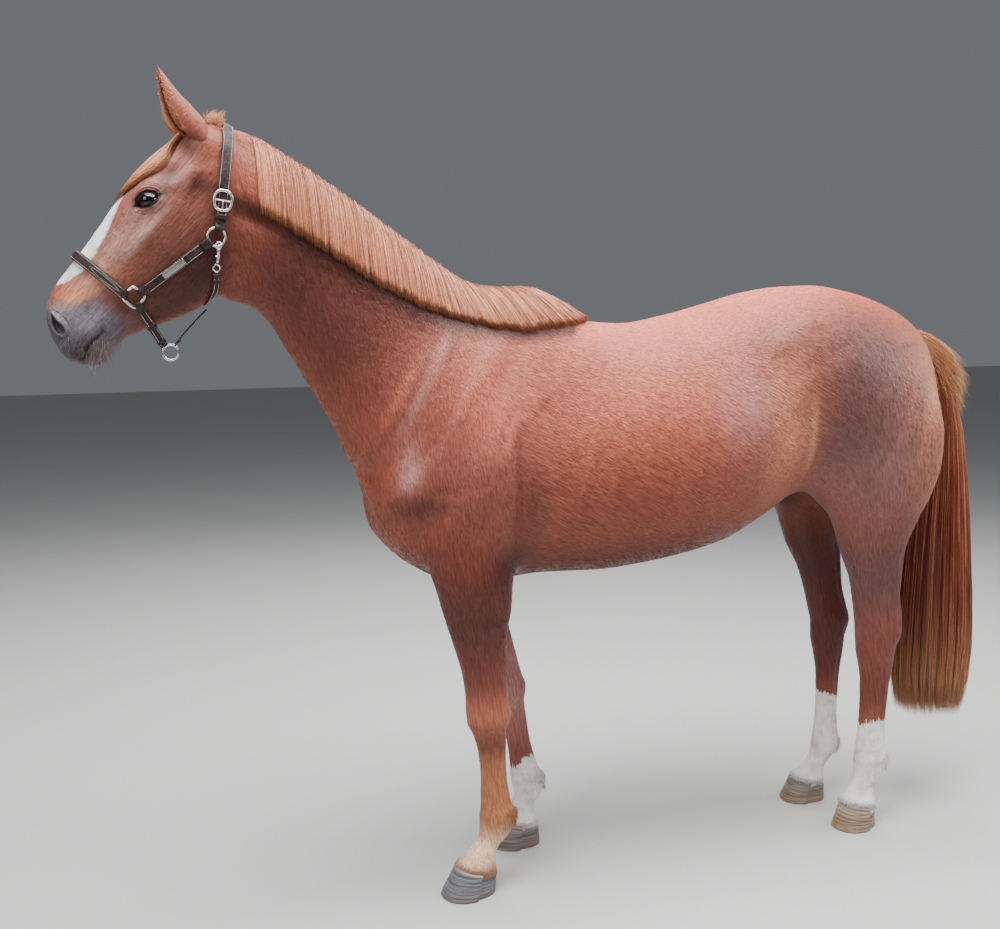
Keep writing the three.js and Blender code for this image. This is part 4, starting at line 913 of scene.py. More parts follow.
def hair_lie(points):
    """The way the coat's hair points at each place, before it is laid on the skin."""
    x, z = points[:, 0], points[:, 2]
    lie = np.tile(np.array(TRUNK_LIE), (len(points), 1))
    for start, length, direction in LIES:
        lie = mix(lie, direction, np.clip((x - start) / length, 0, 1))
    return mix(lie, LEG_LIE, np.clip((880 - z) / 150, 0, 1) * (x > -800))


def laid(lie, normals):
    """Directions laid down on the surface, one unit long."""
    flat = lie - normals * (lie * normals).sum(1, keepdims=True)
    return flat / np.maximum(np.linalg.norm(flat, axis=1, keepdims=True), 1e-9)


# ---------------------------------------------------------------- Blender meshes
def new_object(name, mesh):
    """Adds a mesh to the scene; the horse stands still, so it rides on the root."""
    piece = bpy.data.objects.new(name, mesh)
    bpy.context.scene.collection.objects.link(piece)
    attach(piece, "root")
    return piece


def mesh_object(name, points, faces, smooth=True):
    """A mesh object from points in millimetres and faces of three or four points."""
    mesh = bpy.data.meshes.new(name)
    faces = [np.asarray(f) for f in (faces if isinstance(faces, list) else [faces])]
    loops = np.concatenate([f.reshape(-1) for f in faces])
    sizes = np.concatenate([np.full(len(f), f.shape[1]) for f in faces])
    mesh.vertices.add(len(points))
    mesh.vertices.foreach_set("co", (np.asarray(points) * MM).astype(np.float32).ravel())
    mesh.loops.add(len(loops))
    mesh.loops.foreach_set("vertex_index", loops.astype(np.int32))
    mesh.polygons.add(len(sizes))
    mesh.polygons.foreach_set("loop_start", (np.cumsum(sizes) - sizes).astype(np.int32))
    mesh.polygons.foreach_set("loop_total", sizes.astype(np.int32))
    mesh.update(calc_edges=True)
    mesh.validate()
    mesh.polygons.foreach_set("use_smooth", np.full(len(mesh.polygons), smooth))
    return new_object(name, mesh)


def shade_like(piece, normals):
    """Gives a mesh the shading of the surface that it lies on."""
    piece.data.normals_split_custom_set_from_vertices(normals.astype(np.float32))


def set_float(piece, name, values):
    """Gives each point of a piece a number for its material."""
    layer = piece.data.attributes.new(name, "FLOAT", "POINT")
    layer.data.foreach_set("value", np.asarray(values, np.float32))


def set_colour(piece, name, values):
    """Gives each point of a piece a colour for its material."""
    layer = piece.data.attributes.new(name, "FLOAT_COLOR", "POINT")
    rgba = np.concatenate([values, np.ones((len(values), 1))], axis=1)
    layer.data.foreach_set("color", rgba.astype(np.float32).ravel())


def paint_coat(piece, points):
    """Gives a piece of skin or coat the same markings, worked out at the given places."""
    set_colour(piece, "tone", coat_tone(points))
    set_float(piece, "sock", sock_distance(points))
    set_float(piece, "blaze", blaze_distance(points))
    set_float(piece, "bare", bareness(points))
    down, face = lie_weights(points)
    set_float(piece, "lie_down", down)
    set_float(piece, "lie_head", face)


# ---------------------------------------------------------------- materials
class Shader:
    """A material with a Principled shader, and short ways to add the nodes before it."""

    def __init__(self, name, **settings):
        self.material = bpy.data.materials.new(name)
        self.material.use_nodes = True
        self.tree = self.material.node_tree
        self.shader = self.tree.nodes["Principled BSDF"]
        for key, value in settings.items():
            self.shader.inputs[key.replace("_", " ")].default_value = value

    def node(self, kind, outlet=0, settings=None, **inputs):
        node = self.tree.nodes.new(kind)
        for key, value in (settings or {}).items():
            setattr(node, key, value)
        for key, value in inputs.items():
            socket = node.inputs[int(key[1:])] if key[0] == "i" and key[1:].isdigit() else \
                node.inputs[key.replace("_", " ")]
            if isinstance(value, bpy.types.NodeSocket):
                self.tree.links.new(value, socket)
            else:
                socket.default_value = value
        return node.outputs[outlet]

    def attribute(self, name, outlet="Fac"):
        return self.node("ShaderNodeAttribute", outlet, {"attribute_name": name})

    def place(self):
        return self.node("ShaderNodeTexCoord", "Object")

    def math(self, operation, a, b=0.0, c=0.0):
        return self.node("ShaderNodeMath", 0, {"operation": operation}, i0=a, i1=b, i2=c)

    def stretched(self, angle, *cell):
        """The object's place, turned about Y and measured in cells that are long one way."""
        return self.node("ShaderNodeMapping", 0, {"vector_type": "TEXTURE"}, Vector=self.place(),
                         Rotation=(0, math.radians(angle), 0), Scale=(*cell, cell[-1])[:3])

    def noise(self, vector, scale=1.0, detail=2.0, roughness=0.5, distortion=0.0):
        return self.node("ShaderNodeTexNoise", 0, None, Vector=vector, Scale=scale, Detail=detail,
                         Roughness=roughness, Distortion=distortion)

    def ramp(self, value, low, high, to_low=0.0, to_high=1.0):
        return self.node("ShaderNodeMapRange", 0, None, i0=value, i1=low, i2=high, i3=to_low,
                         i4=to_high)

    def blend(self, share, a, b, mode="MIX"):
        node = self.tree.nodes.new("ShaderNodeMix")
        node.data_type = "RGBA"
        node.blend_type = mode
        for socket, value in ((node.inputs[0], share), (node.inputs[6], a), (node.inputs[7], b)):
            if isinstance(value, bpy.types.NodeSocket):
                self.tree.links.new(value, socket)
            elif socket.type == "RGBA":
                socket.default_value = (*value[:3], 1)
            else:
                socket.default_value = value
        return node.outputs[2]

    def bump(self, height, distance, strength=1.0, normal=None):
        inputs = {"Height": height, "Distance": distance, "Strength": strength}
        if normal is not None:
            inputs["Normal"] = normal
        return self.node("ShaderNodeBump", 0, None, **inputs)

    def out(self, **inputs):
        for key, value in inputs.items():
            self.tree.links.new(value, self.shader.inputs[key.replace("_", " ")])
        return self.material


LIE_ANGLES = {"body": 30, "down": 82, "head": -48}


def marked_colour(m, colour):
    """Lays the white socks and the blaze on a colour, with hairy edges."""
    fine = m.noise(m.stretched(90, 0.03, 0.004), detail=3)
    ragged = m.noise(m.place(), scale=26, detail=3)
    shift = m.math("MULTIPLY_ADD", m.math("ADD", fine, ragged), 0.045, -0.045)
    sock = m.ramp(m.math("ADD", m.attribute("sock"), shift), -0.002, 0.003)
    blaze_noise = m.noise(m.stretched(LIE_ANGLES["head"], 0.03, 0.005), detail=3)
    blaze_shift = m.math("MULTIPLY_ADD", blaze_noise, 0.016, -0.008)
    blaze = m.ramp(m.math("ADD", m.attribute("blaze"), blaze_shift), -0.002, 0.003)
    white = m.math("MAXIMUM", sock, blaze)
    dirt = m.noise(m.place(), scale=22, detail=4, roughness=0.65)
    soiled = m.blend(m.ramp(dirt, 0.46, 0.7, 0, 0.6), WHITE, linear(164, 146, 132))
    return m.blend(white, colour, soiled)


def coat_material(name, is_skin):
    """The coat's grain, streaks and markings; the skin has pores, wrinkles and relief as well."""
    m = Shader(name, Roughness=0.44, IOR=1.4, Specular_IOR_Level=0.3, Sheen_Weight=0.04,
               Sheen_Roughness=0.4)
    m.shader.inputs["Sheen Tint"].default_value = (1.0, 0.72, 0.62, 1)
    down, head = m.attribute("lie_down"), m.attribute("lie_head")
    streaks = []
    for long_cell, thin_cell in ((0.05, 0.0042), (0.022, 0.0018)):
        body, fall, face = (m.noise(m.stretched(LIE_ANGLES[k], long_cell, thin_cell), detail=2)
                            for k in ("body", "down", "head"))
        both = m.node("ShaderNodeMix", 0, None, i0=down, i2=body, i3=fall)
        streaks.append(m.node("ShaderNodeMix", 0, None, i0=head, i2=both, i3=face))
    blotch = m.noise(m.place(), scale=9, detail=3)
    ripple = m.noise(m.stretched(LIE_ANGLES["body"], 0.03, 0.014), detail=2, distortion=0.6)
    tone = m.attribute("tone", "Color")
    dark = m.blend(1.0, tone, (0.68, 0.6, 0.58), "MULTIPLY")
    pale = m.blend(1.0, tone, (1.34, 1.28, 1.22), "MULTIPLY")
    grain = m.math("MULTIPLY_ADD", streaks[0], 0.6, m.math("MULTIPLY", streaks[1], 0.4))
    colour = m.blend(m.ramp(grain, 0.36, 0.64), dark, pale)
    colour = m.blend(m.ramp(blotch, 0.35, 0.7, 0, 0.3), colour, dark)
    colour = marked_colour(m, colour)
    if not is_skin:
        shade = m.attribute("shade")
        colour = m.blend(1.0, colour, m.node("ShaderNodeCombineColor", 0, None, Red=shade,
                                             Green=shade, Blue=shade), "MULTIPLY")
        return m.out(Base_Color=colour)
    bare = m.attribute("bare")
    pores = m.noise(m.place(), scale=420, detail=2)
    wrinkle = m.noise(m.stretched(LIE_ANGLES["head"], 0.006, 0.011), detail=3, distortion=0.8)
    colour = m.blend(m.math("MULTIPLY", bare, m.ramp(wrinkle, 0.4, 0.65, 0, 0.35)), colour, DARK)
    # Near black: the lids' dark rims, and painted shade in the eyes' corners, the nostrils, the mouth
    # and the groin.
    colour = m.blend(m.attribute("dark"), colour, linear(26, 18, 20))
    normal = m.bump(ripple, 0.0028, m.math("SUBTRACT", 0.8, m.math("MULTIPLY", bare, 0.6)))
    normal = m.bump(streaks[0], 0.0022, 0.85, normal)
    normal = m.bump(streaks[1], 0.0008, 0.8, normal)
    normal = m.bump(m.math("MULTIPLY", bare, m.math("ADD", wrinkle, pores)), 0.0016, 0.8, normal)
    rough = m.math("MULTIPLY_ADD", bare, 0.12, m.ramp(streaks[1], 0.3, 0.7, 0.36, 0.5))
    return m.out(Base_Color=colour, Roughness=rough, Normal=normal)


def hair_material(name):
    """Long hair: each strand has its own colour, which on the mane and forelock is darker at the root
    with painted shade.
    """
    m = Shader(name, Roughness=0.46, IOR=1.5, Specular_IOR_Level=0.28, Sheen_Weight=0.04)
    fine = m.noise(m.place(), scale=170, detail=2)
    tone = m.attribute("tone", "Color")
    dark = m.blend(1.0, tone, (0.74, 0.68, 0.66), "MULTIPLY")
    colour = m.blend(m.ramp(fine, 0.35, 0.65), dark, tone)
    return m.out(Base_Color=colour, Roughness=m.ramp(fine, 0.3, 0.7, 0.4, 0.54))


# ---------------------------------------------------------------- camera, light and floor
CAMERA_PLACE = (-1.225, -3.087, 1.498)
# The camera's turn to the right, its tilt down and its roll, in degrees.
CAMERA_TURNS = (18.146, 6.447, 0.94)
CAMERA_LENS, CAMERA_SENSOR = 43.2, 36


def add_camera():
    """The camera of the photo's view."""
    yaw, pitch, roll = (math.radians(angle) for angle in CAMERA_TURNS)
    forward = Vector((math.sin(yaw) * math.cos(pitch), math.cos(yaw) * math.cos(pitch),
                      -math.sin(pitch)))
    right = Vector((math.cos(yaw), -math.sin(yaw), 0))
    up = right.cross(forward)
    turned_right = right * math.cos(roll) - up * math.sin(roll)
    turned_up = up * math.cos(roll) + right * math.sin(roll)
    data = bpy.data.cameras.new("camera")
    data.lens = CAMERA_LENS
    data.sensor_width = CAMERA_SENSOR
    camera = bpy.data.objects.new("camera", data)
    turn = Matrix((turned_right, turned_up, -forward)).transposed().to_4x4()
    camera.matrix_world = Matrix.Translation(Vector(CAMERA_PLACE)) @ turn
    bpy.context.scene.collection.objects.link(camera)
    bpy.context.scene.camera = camera


# Lamps: name, place, the place they aim at, length and breadth, watts, colour.
LAMPS = [
    ("sky", (0.1, -0.7, 4.6), (0, 0, 1.0), (5.0, 3.0), 630, (1, 1, 1)),
    ("key", (-3.9, -2.9, 3.2), (-0.3, 0, 1.2), (2.2, 2.2), 85, (1.0, 0.985, 0.96)),
    ("rear", (4.3, -0.9, 2.7), (0.8, 0, 1.2), (2.0, 2.0), 95, (1, 1, 1)),
    ("back", (0.9, 3.6, 3.9), (0, 0, 1.4), (4.4, 2.2), 130, (1, 1, 1)),
]
FLOOR_SIZE, FLOOR_DROP = 60, 0.0005


def add_light(name, place, aim, size, power, colour):
    """One rectangular lamp."""
    data = bpy.data.lights.new(name, "AREA")
    data.shape = "RECTANGLE"
    data.size, data.size_y = size
    data.energy = power
    data.color = colour
    light = bpy.data.objects.new(name, data)
    light.location = place
    light.rotation_euler = (Vector(aim) - Vector(place)).to_track_quat("-Z", "Y").to_euler()
    bpy.context.scene.collection.objects.link(light)


def add_stage():
    """The studio: a floor, a pale surrounding and four lamps."""
    bpy.ops.mesh.primitive_plane_add(size=FLOOR_SIZE, location=(0, 0, -FLOOR_DROP))
    floor = bpy.context.object
    floor.name = "floor"
    m = Shader("floor", Roughness=0.7)
    tint = m.noise(m.place(), scale=0.8, detail=3)
    floor.data.materials.append(m.out(Base_Color=m.blend(tint, (0.47, 0.47, 0.46),
                                                         (0.53, 0.53, 0.52))))
    world = bpy.data.worlds.new("studio")
    world.use_nodes = True
    world.node_tree.nodes["Background"].inputs["Color"].default_value = (0.86, 0.9, 0.96, 1)
    world.node_tree.nodes["Background"].inputs["Strength"].default_value = 0.18
    bpy.context.scene.world = world
    for lamp in LAMPS:
        add_light(*lamp)


add_camera()
add_stage()


# ---------------------------------------------------------------- ears, lids and nostrils
def facing_out(points, faces):
    """The same faces, turned round if they enclose a negative volume."""
    a, b, c = (points[faces[:, k]] - points.mean(0) for k in range(3))
    return faces if np.einsum("ij,ij->i", a, np.cross(b, c)).sum() > 0 else faces[:, ::-1]


def ring_faces(steps, count, around):
    """Triangles from each of the first rings to the next one, round to ring 0 after the last."""
    i, j = np.meshgrid(np.arange(steps), np.arange(around), indexing="ij")
    here, there = i * around, (i + 1) % count * around
    after = (j + 1) % around
    a, b, c, d = (v.ravel() for v in (here + j, here + after, there + after, there + j))
    return np.concatenate([np.stack([a, b, c], 1), np.stack([a, c, d], 1)])


def ring_mesh(rings):
    """A closed tube through rings of points, with a fan of triangles at each end."""
    rings = np.asarray(rings)
    count, around = rings.shape[:2]
    points = rings.reshape(-1, 3)
    fans = []
    for start, flip in ((0, True), ((count - 1) * around, False)):
        points = np.vstack([points, points[start:start + around].mean(0)])
        here = start + np.arange(around)
        following = start + (np.arange(around) + 1) % around
        middle = np.full(around, len(points) - 1)
        fans.append(np.stack([following, here, middle] if flip else [here, following, middle], 1))
    faces = np.concatenate([ring_faces(count - 1, count, around), *fans])
    return points, facing_out(points, faces)


def closed_rings(rings):
    """Rings that come back to the first one, as in a wire ring."""
    count, around = rings.shape[:2]
    points = rings.reshape(-1, 3)
    return points, facing_out(points, ring_faces(count, count, around))


def join(parts):
    """Joins meshes given as points and triangles."""
    starts = np.cumsum([0] + [len(points) for points, _ in parts[:-1]])
    return (np.concatenate([points for points, _ in parts]),
            np.concatenate([faces + start for (_, faces), start in zip(parts, starts)]))


def smoothstep(low, high, x):
    """A smooth step from 0 at the low edge to 1 at the high edge."""
    t = np.clip((x - low) / (high - low), 0, 1)
    return t * t * (3 - 2 * t)


class FacePatch:
    """A flat frame laid over a place of the head, in which folds are drawn as heights."""

    def __init__(self, place, outwards, long_way, side):
        s, y, d = place
        self.side = side
        self.centre = from_head(s, side * y, d)
        self.normal = self.turned(outwards)
        along = self.turned(long_way)
        along -= self.normal * (along @ self.normal)
        self.u = along / np.linalg.norm(along)
        self.v = np.cross(self.normal, self.u) * side

    def turned(self, direction):
        s, y, d = direction
        vector = HEAD_FRAME[1] * s + HEAD_FRAME[2] * d + np.array([0, self.side * y, 0])
        return vector / np.linalg.norm(vector)

    def at(self, flat, height):
        return (self.centre + flat[:, :1] * self.u + flat[:, 1:] * self.v
                + np.asarray(height)[:, None] * self.normal)

    def surface_height(self, flat, back):
        """Height of the skin's surface over the frame, found from a depth below it."""
        start = self.at(flat, np.full(len(flat), -float(back)))
        hit = outward(start, np.tile(self.normal, (len(flat), 1)), -COAT_DEPTH)
        return (hit - self.centre) @ self.normal

    def flatten(self, points):
        q = points - self.centre
        return np.stack([q @ self.u, q @ self.v], 1), q @ self.normal


# The eye: its lids' opening, measured from the middle of the eyeball.
LID = {"half": 27.0, "up": 17.0, "down": 15.5, "thick": 3.2, "outer": (45.0, 37.0)}
EYE_OUTWARDS = (0.05, 0.965, 0.26)
EYE_LONG_WAY = (0.87, 0.0, 0.49)
EYE_RINGS = [0, 0.8, 1.8, 3, 4.4, 6, 7.6, 9.2, 11, 13, 15.5, 18.5, 22, 26, 31, 37]


def eye_frame(side):
    """The flat frame over an eye."""
    return FacePatch(EYE_PLACE, EYE_OUTWARDS, EYE_LONG_WAY, side)


def lid_opening(count):
    """The almond between the lids; u runs to the front corner and v up."""
    angle = np.arange(count) / count * 2 * np.pi
    c, n = np.cos(angle), np.sin(angle)
    u = LID["half"] * np.sign(c) * np.abs(c) ** 0.9
    v = np.where(n > 0, LID["up"], LID["down"]) * np.sign(n) * np.abs(n) ** 1.15
    return np.stack([u, v - 0.06 * u], 1)


def to_rim(edge, half_sizes):
    """From each point of an opening, the distance and direction to the patch's oval rim."""
    angle = np.arctan2(edge[:, 1] / half_sizes[1], edge[:, 0] / half_sizes[0])
    rim = np.stack([half_sizes[0] * np.cos(angle), half_sizes[1] * np.sin(angle)], 1)
    reach = np.linalg.norm(rim - edge, axis=1)
    return reach, (rim - edge) / reach[:, None]


# The lids' inner edges, over the ball: share of the opening, and height over the ball.
LID_INSIDE = [(1.12, 0.4), (1.03, 0.4), (0.99, 0.8), (0.985, 2.0), (0.995, 2.9)]
LID_POINTS = 112
EYE_SOCKET = 60


def eye_patch(side):
    """The lids with their folds, from inside the eyeball's edge out to the skin round them."""
    frame_ = eye_frame(side)
    edge = lid_opening(LID_POINTS)
    reach, outwards = to_rim(edge, LID["outer"])
    skin_at_edge = frame_.surface_height(edge, EYE_SOCKET)

    def on_ball(flat, radius):
        far = np.linalg.norm(flat, axis=1)
        return np.sqrt(np.maximum(radius ** 2 - far ** 2, (0.42 * radius) ** 2))

    lid_top = on_ball(edge, EYE_RADIUS + LID["thick"])
    flats, heights = [], []
    for scale, radius in LID_INSIDE:
        flats.append(edge * scale)
        heights.append(on_ball(edge * scale, EYE_RADIUS + radius))
    upper = smoothstep(-0.15, 0.45, edge[:, 1] / LID["up"])
    lower = smoothstep(-0.1, 0.5, -edge[:, 1] / LID["down"])
    for ring in EYE_RINGS:
        share = ring / EYE_RINGS[-1]
        distance = share * reach
        flat = edge + outwards * distance[:, None]
        skin = frame_.surface_height(flat, EYE_SOCKET)
        lift = (lid_top - skin_at_edge) * np.exp(-(distance / 11.5) ** 2)
        fold = upper * (-1.9 * gauss((distance - 6.5) / 1.5) + 1.1 * gauss((distance - 9.5) / 1.9)
                        - 1.3 * gauss((distance - 12.8) / 1.8) + 0.9 * gauss((distance - 16) / 2.5))
        fold += lower * (-1.2 * gauss((distance - 5.2) / 1.3) + 0.6 * gauss((distance - 8) / 1.7)
                         - 0.7 * gauss((distance - 11) / 1.8))
        corner = gauss((flat[:, 0] - 31) / 7, (flat[:, 1] + 3.5) / 3.2)
        corner += 0.8 * gauss((flat[:, 0] + 30) / 6, (flat[:, 1] - 1) / 3)
        sink = 0.9 * smoothstep(0.86, 1.0, share)
        flats.append(flat)
        heights.append(skin + lift + fold - 3.0 * corner - sink)
    flats, heights = np.array(flats), np.array(heights)
    first = len(LID_INSIDE) + 1
    depth = np.interp(EYE_RINGS[1:], [0, 8, 20], [2.4, 3.5, 5])[:, None]
    flats = np.concatenate([flats, flats[first:][::-1]])
    heights = np.concatenate([heights, (heights[first:] - depth)[::-1]])
    return closed_rings(np.array([frame_.at(f, h) for f, h in zip(flats, heights)]))


# The nostril: a comma that narrows upwards and curls back, with a funnel behind it.
NOSTRIL = {"half": 27.0, "wide": 11.5, "outer": (37.0, 25.0), "depth": 30.0}
NOSTRIL_OUTWARDS = (0.5, 0.84, 0.2)
NOSTRIL_LONG_WAY = (-0.1, 0.0, 1.0)
NOSTRIL_RINGS = [0, 0.9, 2, 3.4, 5, 7, 9.5, 12.5, 16, 20]


def nostril_frame(side):
    """The flat frame over a nostril."""
    return FacePatch(NOSTRIL_PLACE, NOSTRIL_OUTWARDS, NOSTRIL_LONG_WAY, side)


def nostril_opening(count):
    """The opening; u runs up and v backwards."""
    angle = np.arange(count) / count * 2 * np.pi
    c, n = np.cos(angle), np.sin(angle)
    u = NOSTRIL["half"] * c
    v = NOSTRIL["wide"] * n * (1 - 0.42 * c) + 7.5 * np.maximum(u / NOSTRIL["half"], 0) ** 2
    return np.stack([u, v], 1)


# The nostril's funnel from its end outwards: share of its depth, and share of the opening.
NOSTRIL_INSIDE = [(1.0, 0.3), (0.85, 0.45), (0.65, 0.62), (0.45, 0.78), (0.28, 0.9), (0.14, 0.97),
                  (0.05, 0.995)]
NOSTRIL_TURN = (3.0, 13.0)
NOSTRIL_WALL = 3.0
NOSTRIL_POINTS = 72
NOSTRIL_SOCKET = 30


def nostril_patch(side):
    """The nostril's funnel and rolled rim, and the skin round them."""
    frame_ = nostril_frame(side)
    edge = nostril_opening(NOSTRIL_POINTS)
    reach, outwards = to_rim(edge, NOSTRIL["outer"])
    behind = smoothstep(-0.2, 0.8, edge[:, 1] / NOSTRIL["wide"])
    top_of_rim = frame_.surface_height(edge, NOSTRIL_SOCKET)
    flats, heights = [], []
    for deep, narrow in NOSTRIL_INSIDE:
        flats.append(edge * narrow + np.array([NOSTRIL_TURN]) * deep)
        heights.append(top_of_rim * (1 - 0.3 * deep) - NOSTRIL["depth"] * deep)
    for ring in NOSTRIL_RINGS:
        share = ring / NOSTRIL_RINGS[-1]
        distance = share * reach
        flat = edge + outwards * distance[:, None]
        skin = frame_.surface_height(flat, NOSTRIL_SOCKET)
        rolled = (1.4 + 2.0 * behind) * gauss((distance - 3.4) / 4.2)
        crease = behind * 0.7 * gauss((distance - 11) / 3.5)
        flats.append(flat)
        heights.append(skin + rolled - crease - 0.9 * smoothstep(0.82, 1.0, share))
    flats, heights = np.array(flats), np.array(heights)
    back_flats = flats[1:][::-1].copy()
    back_flats[1 - len(NOSTRIL_INSIDE):] *= 1.12
    flats = np.concatenate([back_flats, flats])
    heights = np.concatenate([heights[1:][::-1] - NOSTRIL_WALL, heights])
    return ring_mesh(np.array([frame_.at(f, h) for f, h in zip(flats, heights)]))


def clear_patches(points):
    """Sinks the skin under the lids and nostrils, so that only their patches show."""
    points = points.copy()
    for frame_, (long_half, short_half), shallow, deep in (
            *((eye_frame(side), LID["outer"], 9.0, 24.0) for side in (-1, 1)),
            *((nostril_frame(side), NOSTRIL["outer"], 7.0, 32.0) for side in (-1, 1))):
        near = np.linalg.norm(points - frame_.centre, axis=1) < 80
        flat, height = frame_.flatten(points[near])
        e = np.hypot(flat[:, 0] / long_half, flat[:, 1] / short_half)
        push = shallow * smoothstep(0.99, 0.84, e) + deep * smoothstep(0.8, 0.55, e)
        push = np.where(height > -30, push, 0)
        points[near] -= push[:, None] * frame_.normal
    return points


# The ears: places of the base and tips, and sections: share of the length, depth and half width
# of the shell, and how far round it reaches to each side in degrees.
EAR_BASE = np.array([-992.0, 60, 1984])
EAR_TIPS = {-1: np.array([-1070.0, -72, 2127]), 1: np.array([-1055.0, 72, 2127])}
EAR_FACING = np.array([-0.95, 0.25, -0.25])
EAR_BOW = 14.0
EAR_WALL = 4.2
EAR_SECTIONS = [
    (-0.5, 8, 10, 165), (-0.08, 31, 34, 158), (0.1, 37, 34, 150), (0.28, 37, 31, 138),
    (0.5, 29, 26, 124), (0.72, 19, 18, 112), (0.89, 9, 9.5, 104), (1, 2, 2, 100),
]


def ear_axes(side):
    """An ear's base, axis and length, and the directions across it and out of its opening."""
    base = EAR_BASE * (1, side, 1)
    axis = EAR_TIPS[side] - base
    length = np.linalg.norm(axis)
    axis = axis / length
    across = np.cross(axis, EAR_FACING * (1, side, 1))
    across /= np.linalg.norm(across)
    return base, axis, length, across, np.cross(across, axis)


def ear_arc(side, share, inset, angles):
    """Points across an ear's shell at a share of its length, from edge (-1) to edge (1)."""
    base, axis, length, across, opening = ear_axes(side)
    _, depth, half_width, half_angle = Curve(EAR_SECTIONS)(np.array([share]))[0]
    bow = EAR_BOW * math.sin(math.pi * max(share, 0))
    centre = base + axis * share * length + opening * bow
    radians = np.radians(angles * half_angle)
    rolled = 1 - 0.16 * np.abs(angles) ** 6
    behind = np.cos(radians) * (depth - inset) * rolled
    sideways = np.sin(radians) * (half_width - inset) * rolled
    return centre - opening * behind[:, None] + across * sideways[:, None]


def ear_shell(side):
    """The thin shell of an ear, its outer face a coat's half depth under the CAD model's."""
    rings = []
    angles = np.linspace(-1, 1, 27)
    for share in np.concatenate([[-0.42, -0.2], np.linspace(-0.06, 0.9, 24), [0.95, 0.985, 1.0]]):
        wall = EAR_WALL * min(1.0, 1.15 - 0.7 * max(share, 0)) + 1.5 * max(0, -share)
        depth = Curve(EAR_SECTIONS)(np.array([share]))[0][1] - COAT_DEPTH * 0.5
        wall = min(wall, depth * 0.55)
        outer = ear_arc(side, share, COAT_DEPTH * 0.5, angles)
        inner = ear_arc(side, share, COAT_DEPTH * 0.5 + wall, angles * 0.985)
        rings.append(np.concatenate([outer, inner[::-1]]))
    return ring_mesh(np.array(rings))


# ---------------------------------------------------------------- the skin
def lie_weights(points):
    """How far the coat's streaks follow the fall of the legs and neck, and the face."""
    lie = hair_lie(points)
    steep = np.clip((np.degrees(np.arctan2(-lie[:, 2], lie[:, 0])) - 35) / 40, 0, 1)
    face = np.clip((-880 - points[:, 0]) / 80, 0, 1)
    return np.where(face > 0, 1, steep), face


# The slit of the mouth: places along the head, and heights towards the face.
MOUTH_LINE = [(444, 495, 518), (-63, -58, -68)]
MOUTH_BEFORE = -1000
PATCH_NEAR = 60


def patch_places(frame_, points):
    """Where points are on an eye's or a nostril's frame, and which of them are near it."""
    flat, height = frame_.flatten(points)
    near = (np.abs(height) < PATCH_NEAR) & (np.linalg.norm(flat, axis=1) < PATCH_NEAR)
    return flat, height, near


def dark_skin_and_shade(points):
    """How nearly black the skin is: its own dark rims of the lids, and painted shade in the eyes'
    corners, deep in the nostrils, along the mouth's slit and in the groin.
    """
    result = np.zeros(len(points))
    for side in (-1, 1):
        flat, _, near = patch_places(eye_frame(side), points)
        opening = np.hypot(flat[:, 0] / (LID["half"] + 4), flat[:, 1] / (LID["up"] + 3.5))
        # Painted shade in the eye's two corners.
        corner = gauss((flat[:, 0] - 33) / 7, (flat[:, 1] + 4) / 4)
        corner += 0.8 * gauss((flat[:, 0] + 31) / 6, (flat[:, 1] - 1) / 4)
        result = np.maximum(result, np.where(near, smoothstep(1.12, 0.9, opening) + corner, 0))
        nostril = nostril_frame(side)
        flat, height, near = patch_places(nostril, points)
        # Painted shade, deeper further inside the nostril.
        under = -COAT_DEPTH - body_field(nostril.at(flat[near], height[near]))
        result[near] = np.maximum(result[near], smoothstep(2, 6.5, under))
    s, _, d = to_head(points).T
    on_muzzle = points[:, 0] < MOUTH_BEFORE
    # Painted shade along the mouth's slit and in its corner.
    along = smoothstep(434, 448, s) * smoothstep(540, 520, s)
    mouth = 0.9 * along * gauss((d - np.interp(s, *MOUTH_LINE)) / 3.4)
    corner = 0.85 * gauss((s - 446) / 7, (d + 62) / 6)
    result = np.maximum(result, np.maximum(mouth, corner) * on_muzzle)
    # Painted shade in the groin.
    groin = gauss((points[:, 0] - 690) / 34, (np.abs(points[:, 1]) - 70) / 60,
                  (points[:, 2] - 985) / 40)
    return np.clip(np.maximum(result, 0.8 * groin), 0, 1)


SKIN_POINTS, SKIN_FACES = skin_mesh()
parts = [(clear_patches(SKIN_POINTS), SKIN_FACES)]
for side in (-1, 1):
    parts += [eye_patch(side), nostril_patch(side), ear_shell(side)]
points, faces = join(parts)
skin = mesh_object("skin", points, faces)
paint_coat(skin, points)
set_float(skin, "dark", dark_skin_and_shade(points))
skin.data.materials.append(coat_material("coat", True))
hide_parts("trunk", "neck", "head", "ear_left", "ear_right", *LEGS)


# ---------------------------------------------------------------- eyes
def eye_material():
    """A dark brown iris with rays, and a pupil that is longer than high."""
    m = Shader("eye", Roughness=0.12, IOR=1.38, Coat_Weight=0.7, Coat_Roughness=0.05,
               Specular_IOR_Level=0.4)
    iris, pupil = m.attribute("iris"), m.attribute("pupil")
    rays = m.noise(m.place(), scale=900, detail=2)
    brown = m.blend(m.ramp(rays, 0.35, 0.65), linear(18, 12, 11), linear(38, 25, 20))
    colour = m.blend(m.ramp(iris, 0.2, 0.8), linear(44, 32, 30), brown)
    return m.out(Base_Color=m.blend(m.ramp(pupil, 0.3, 0.7), colour, linear(7, 9, 14)))


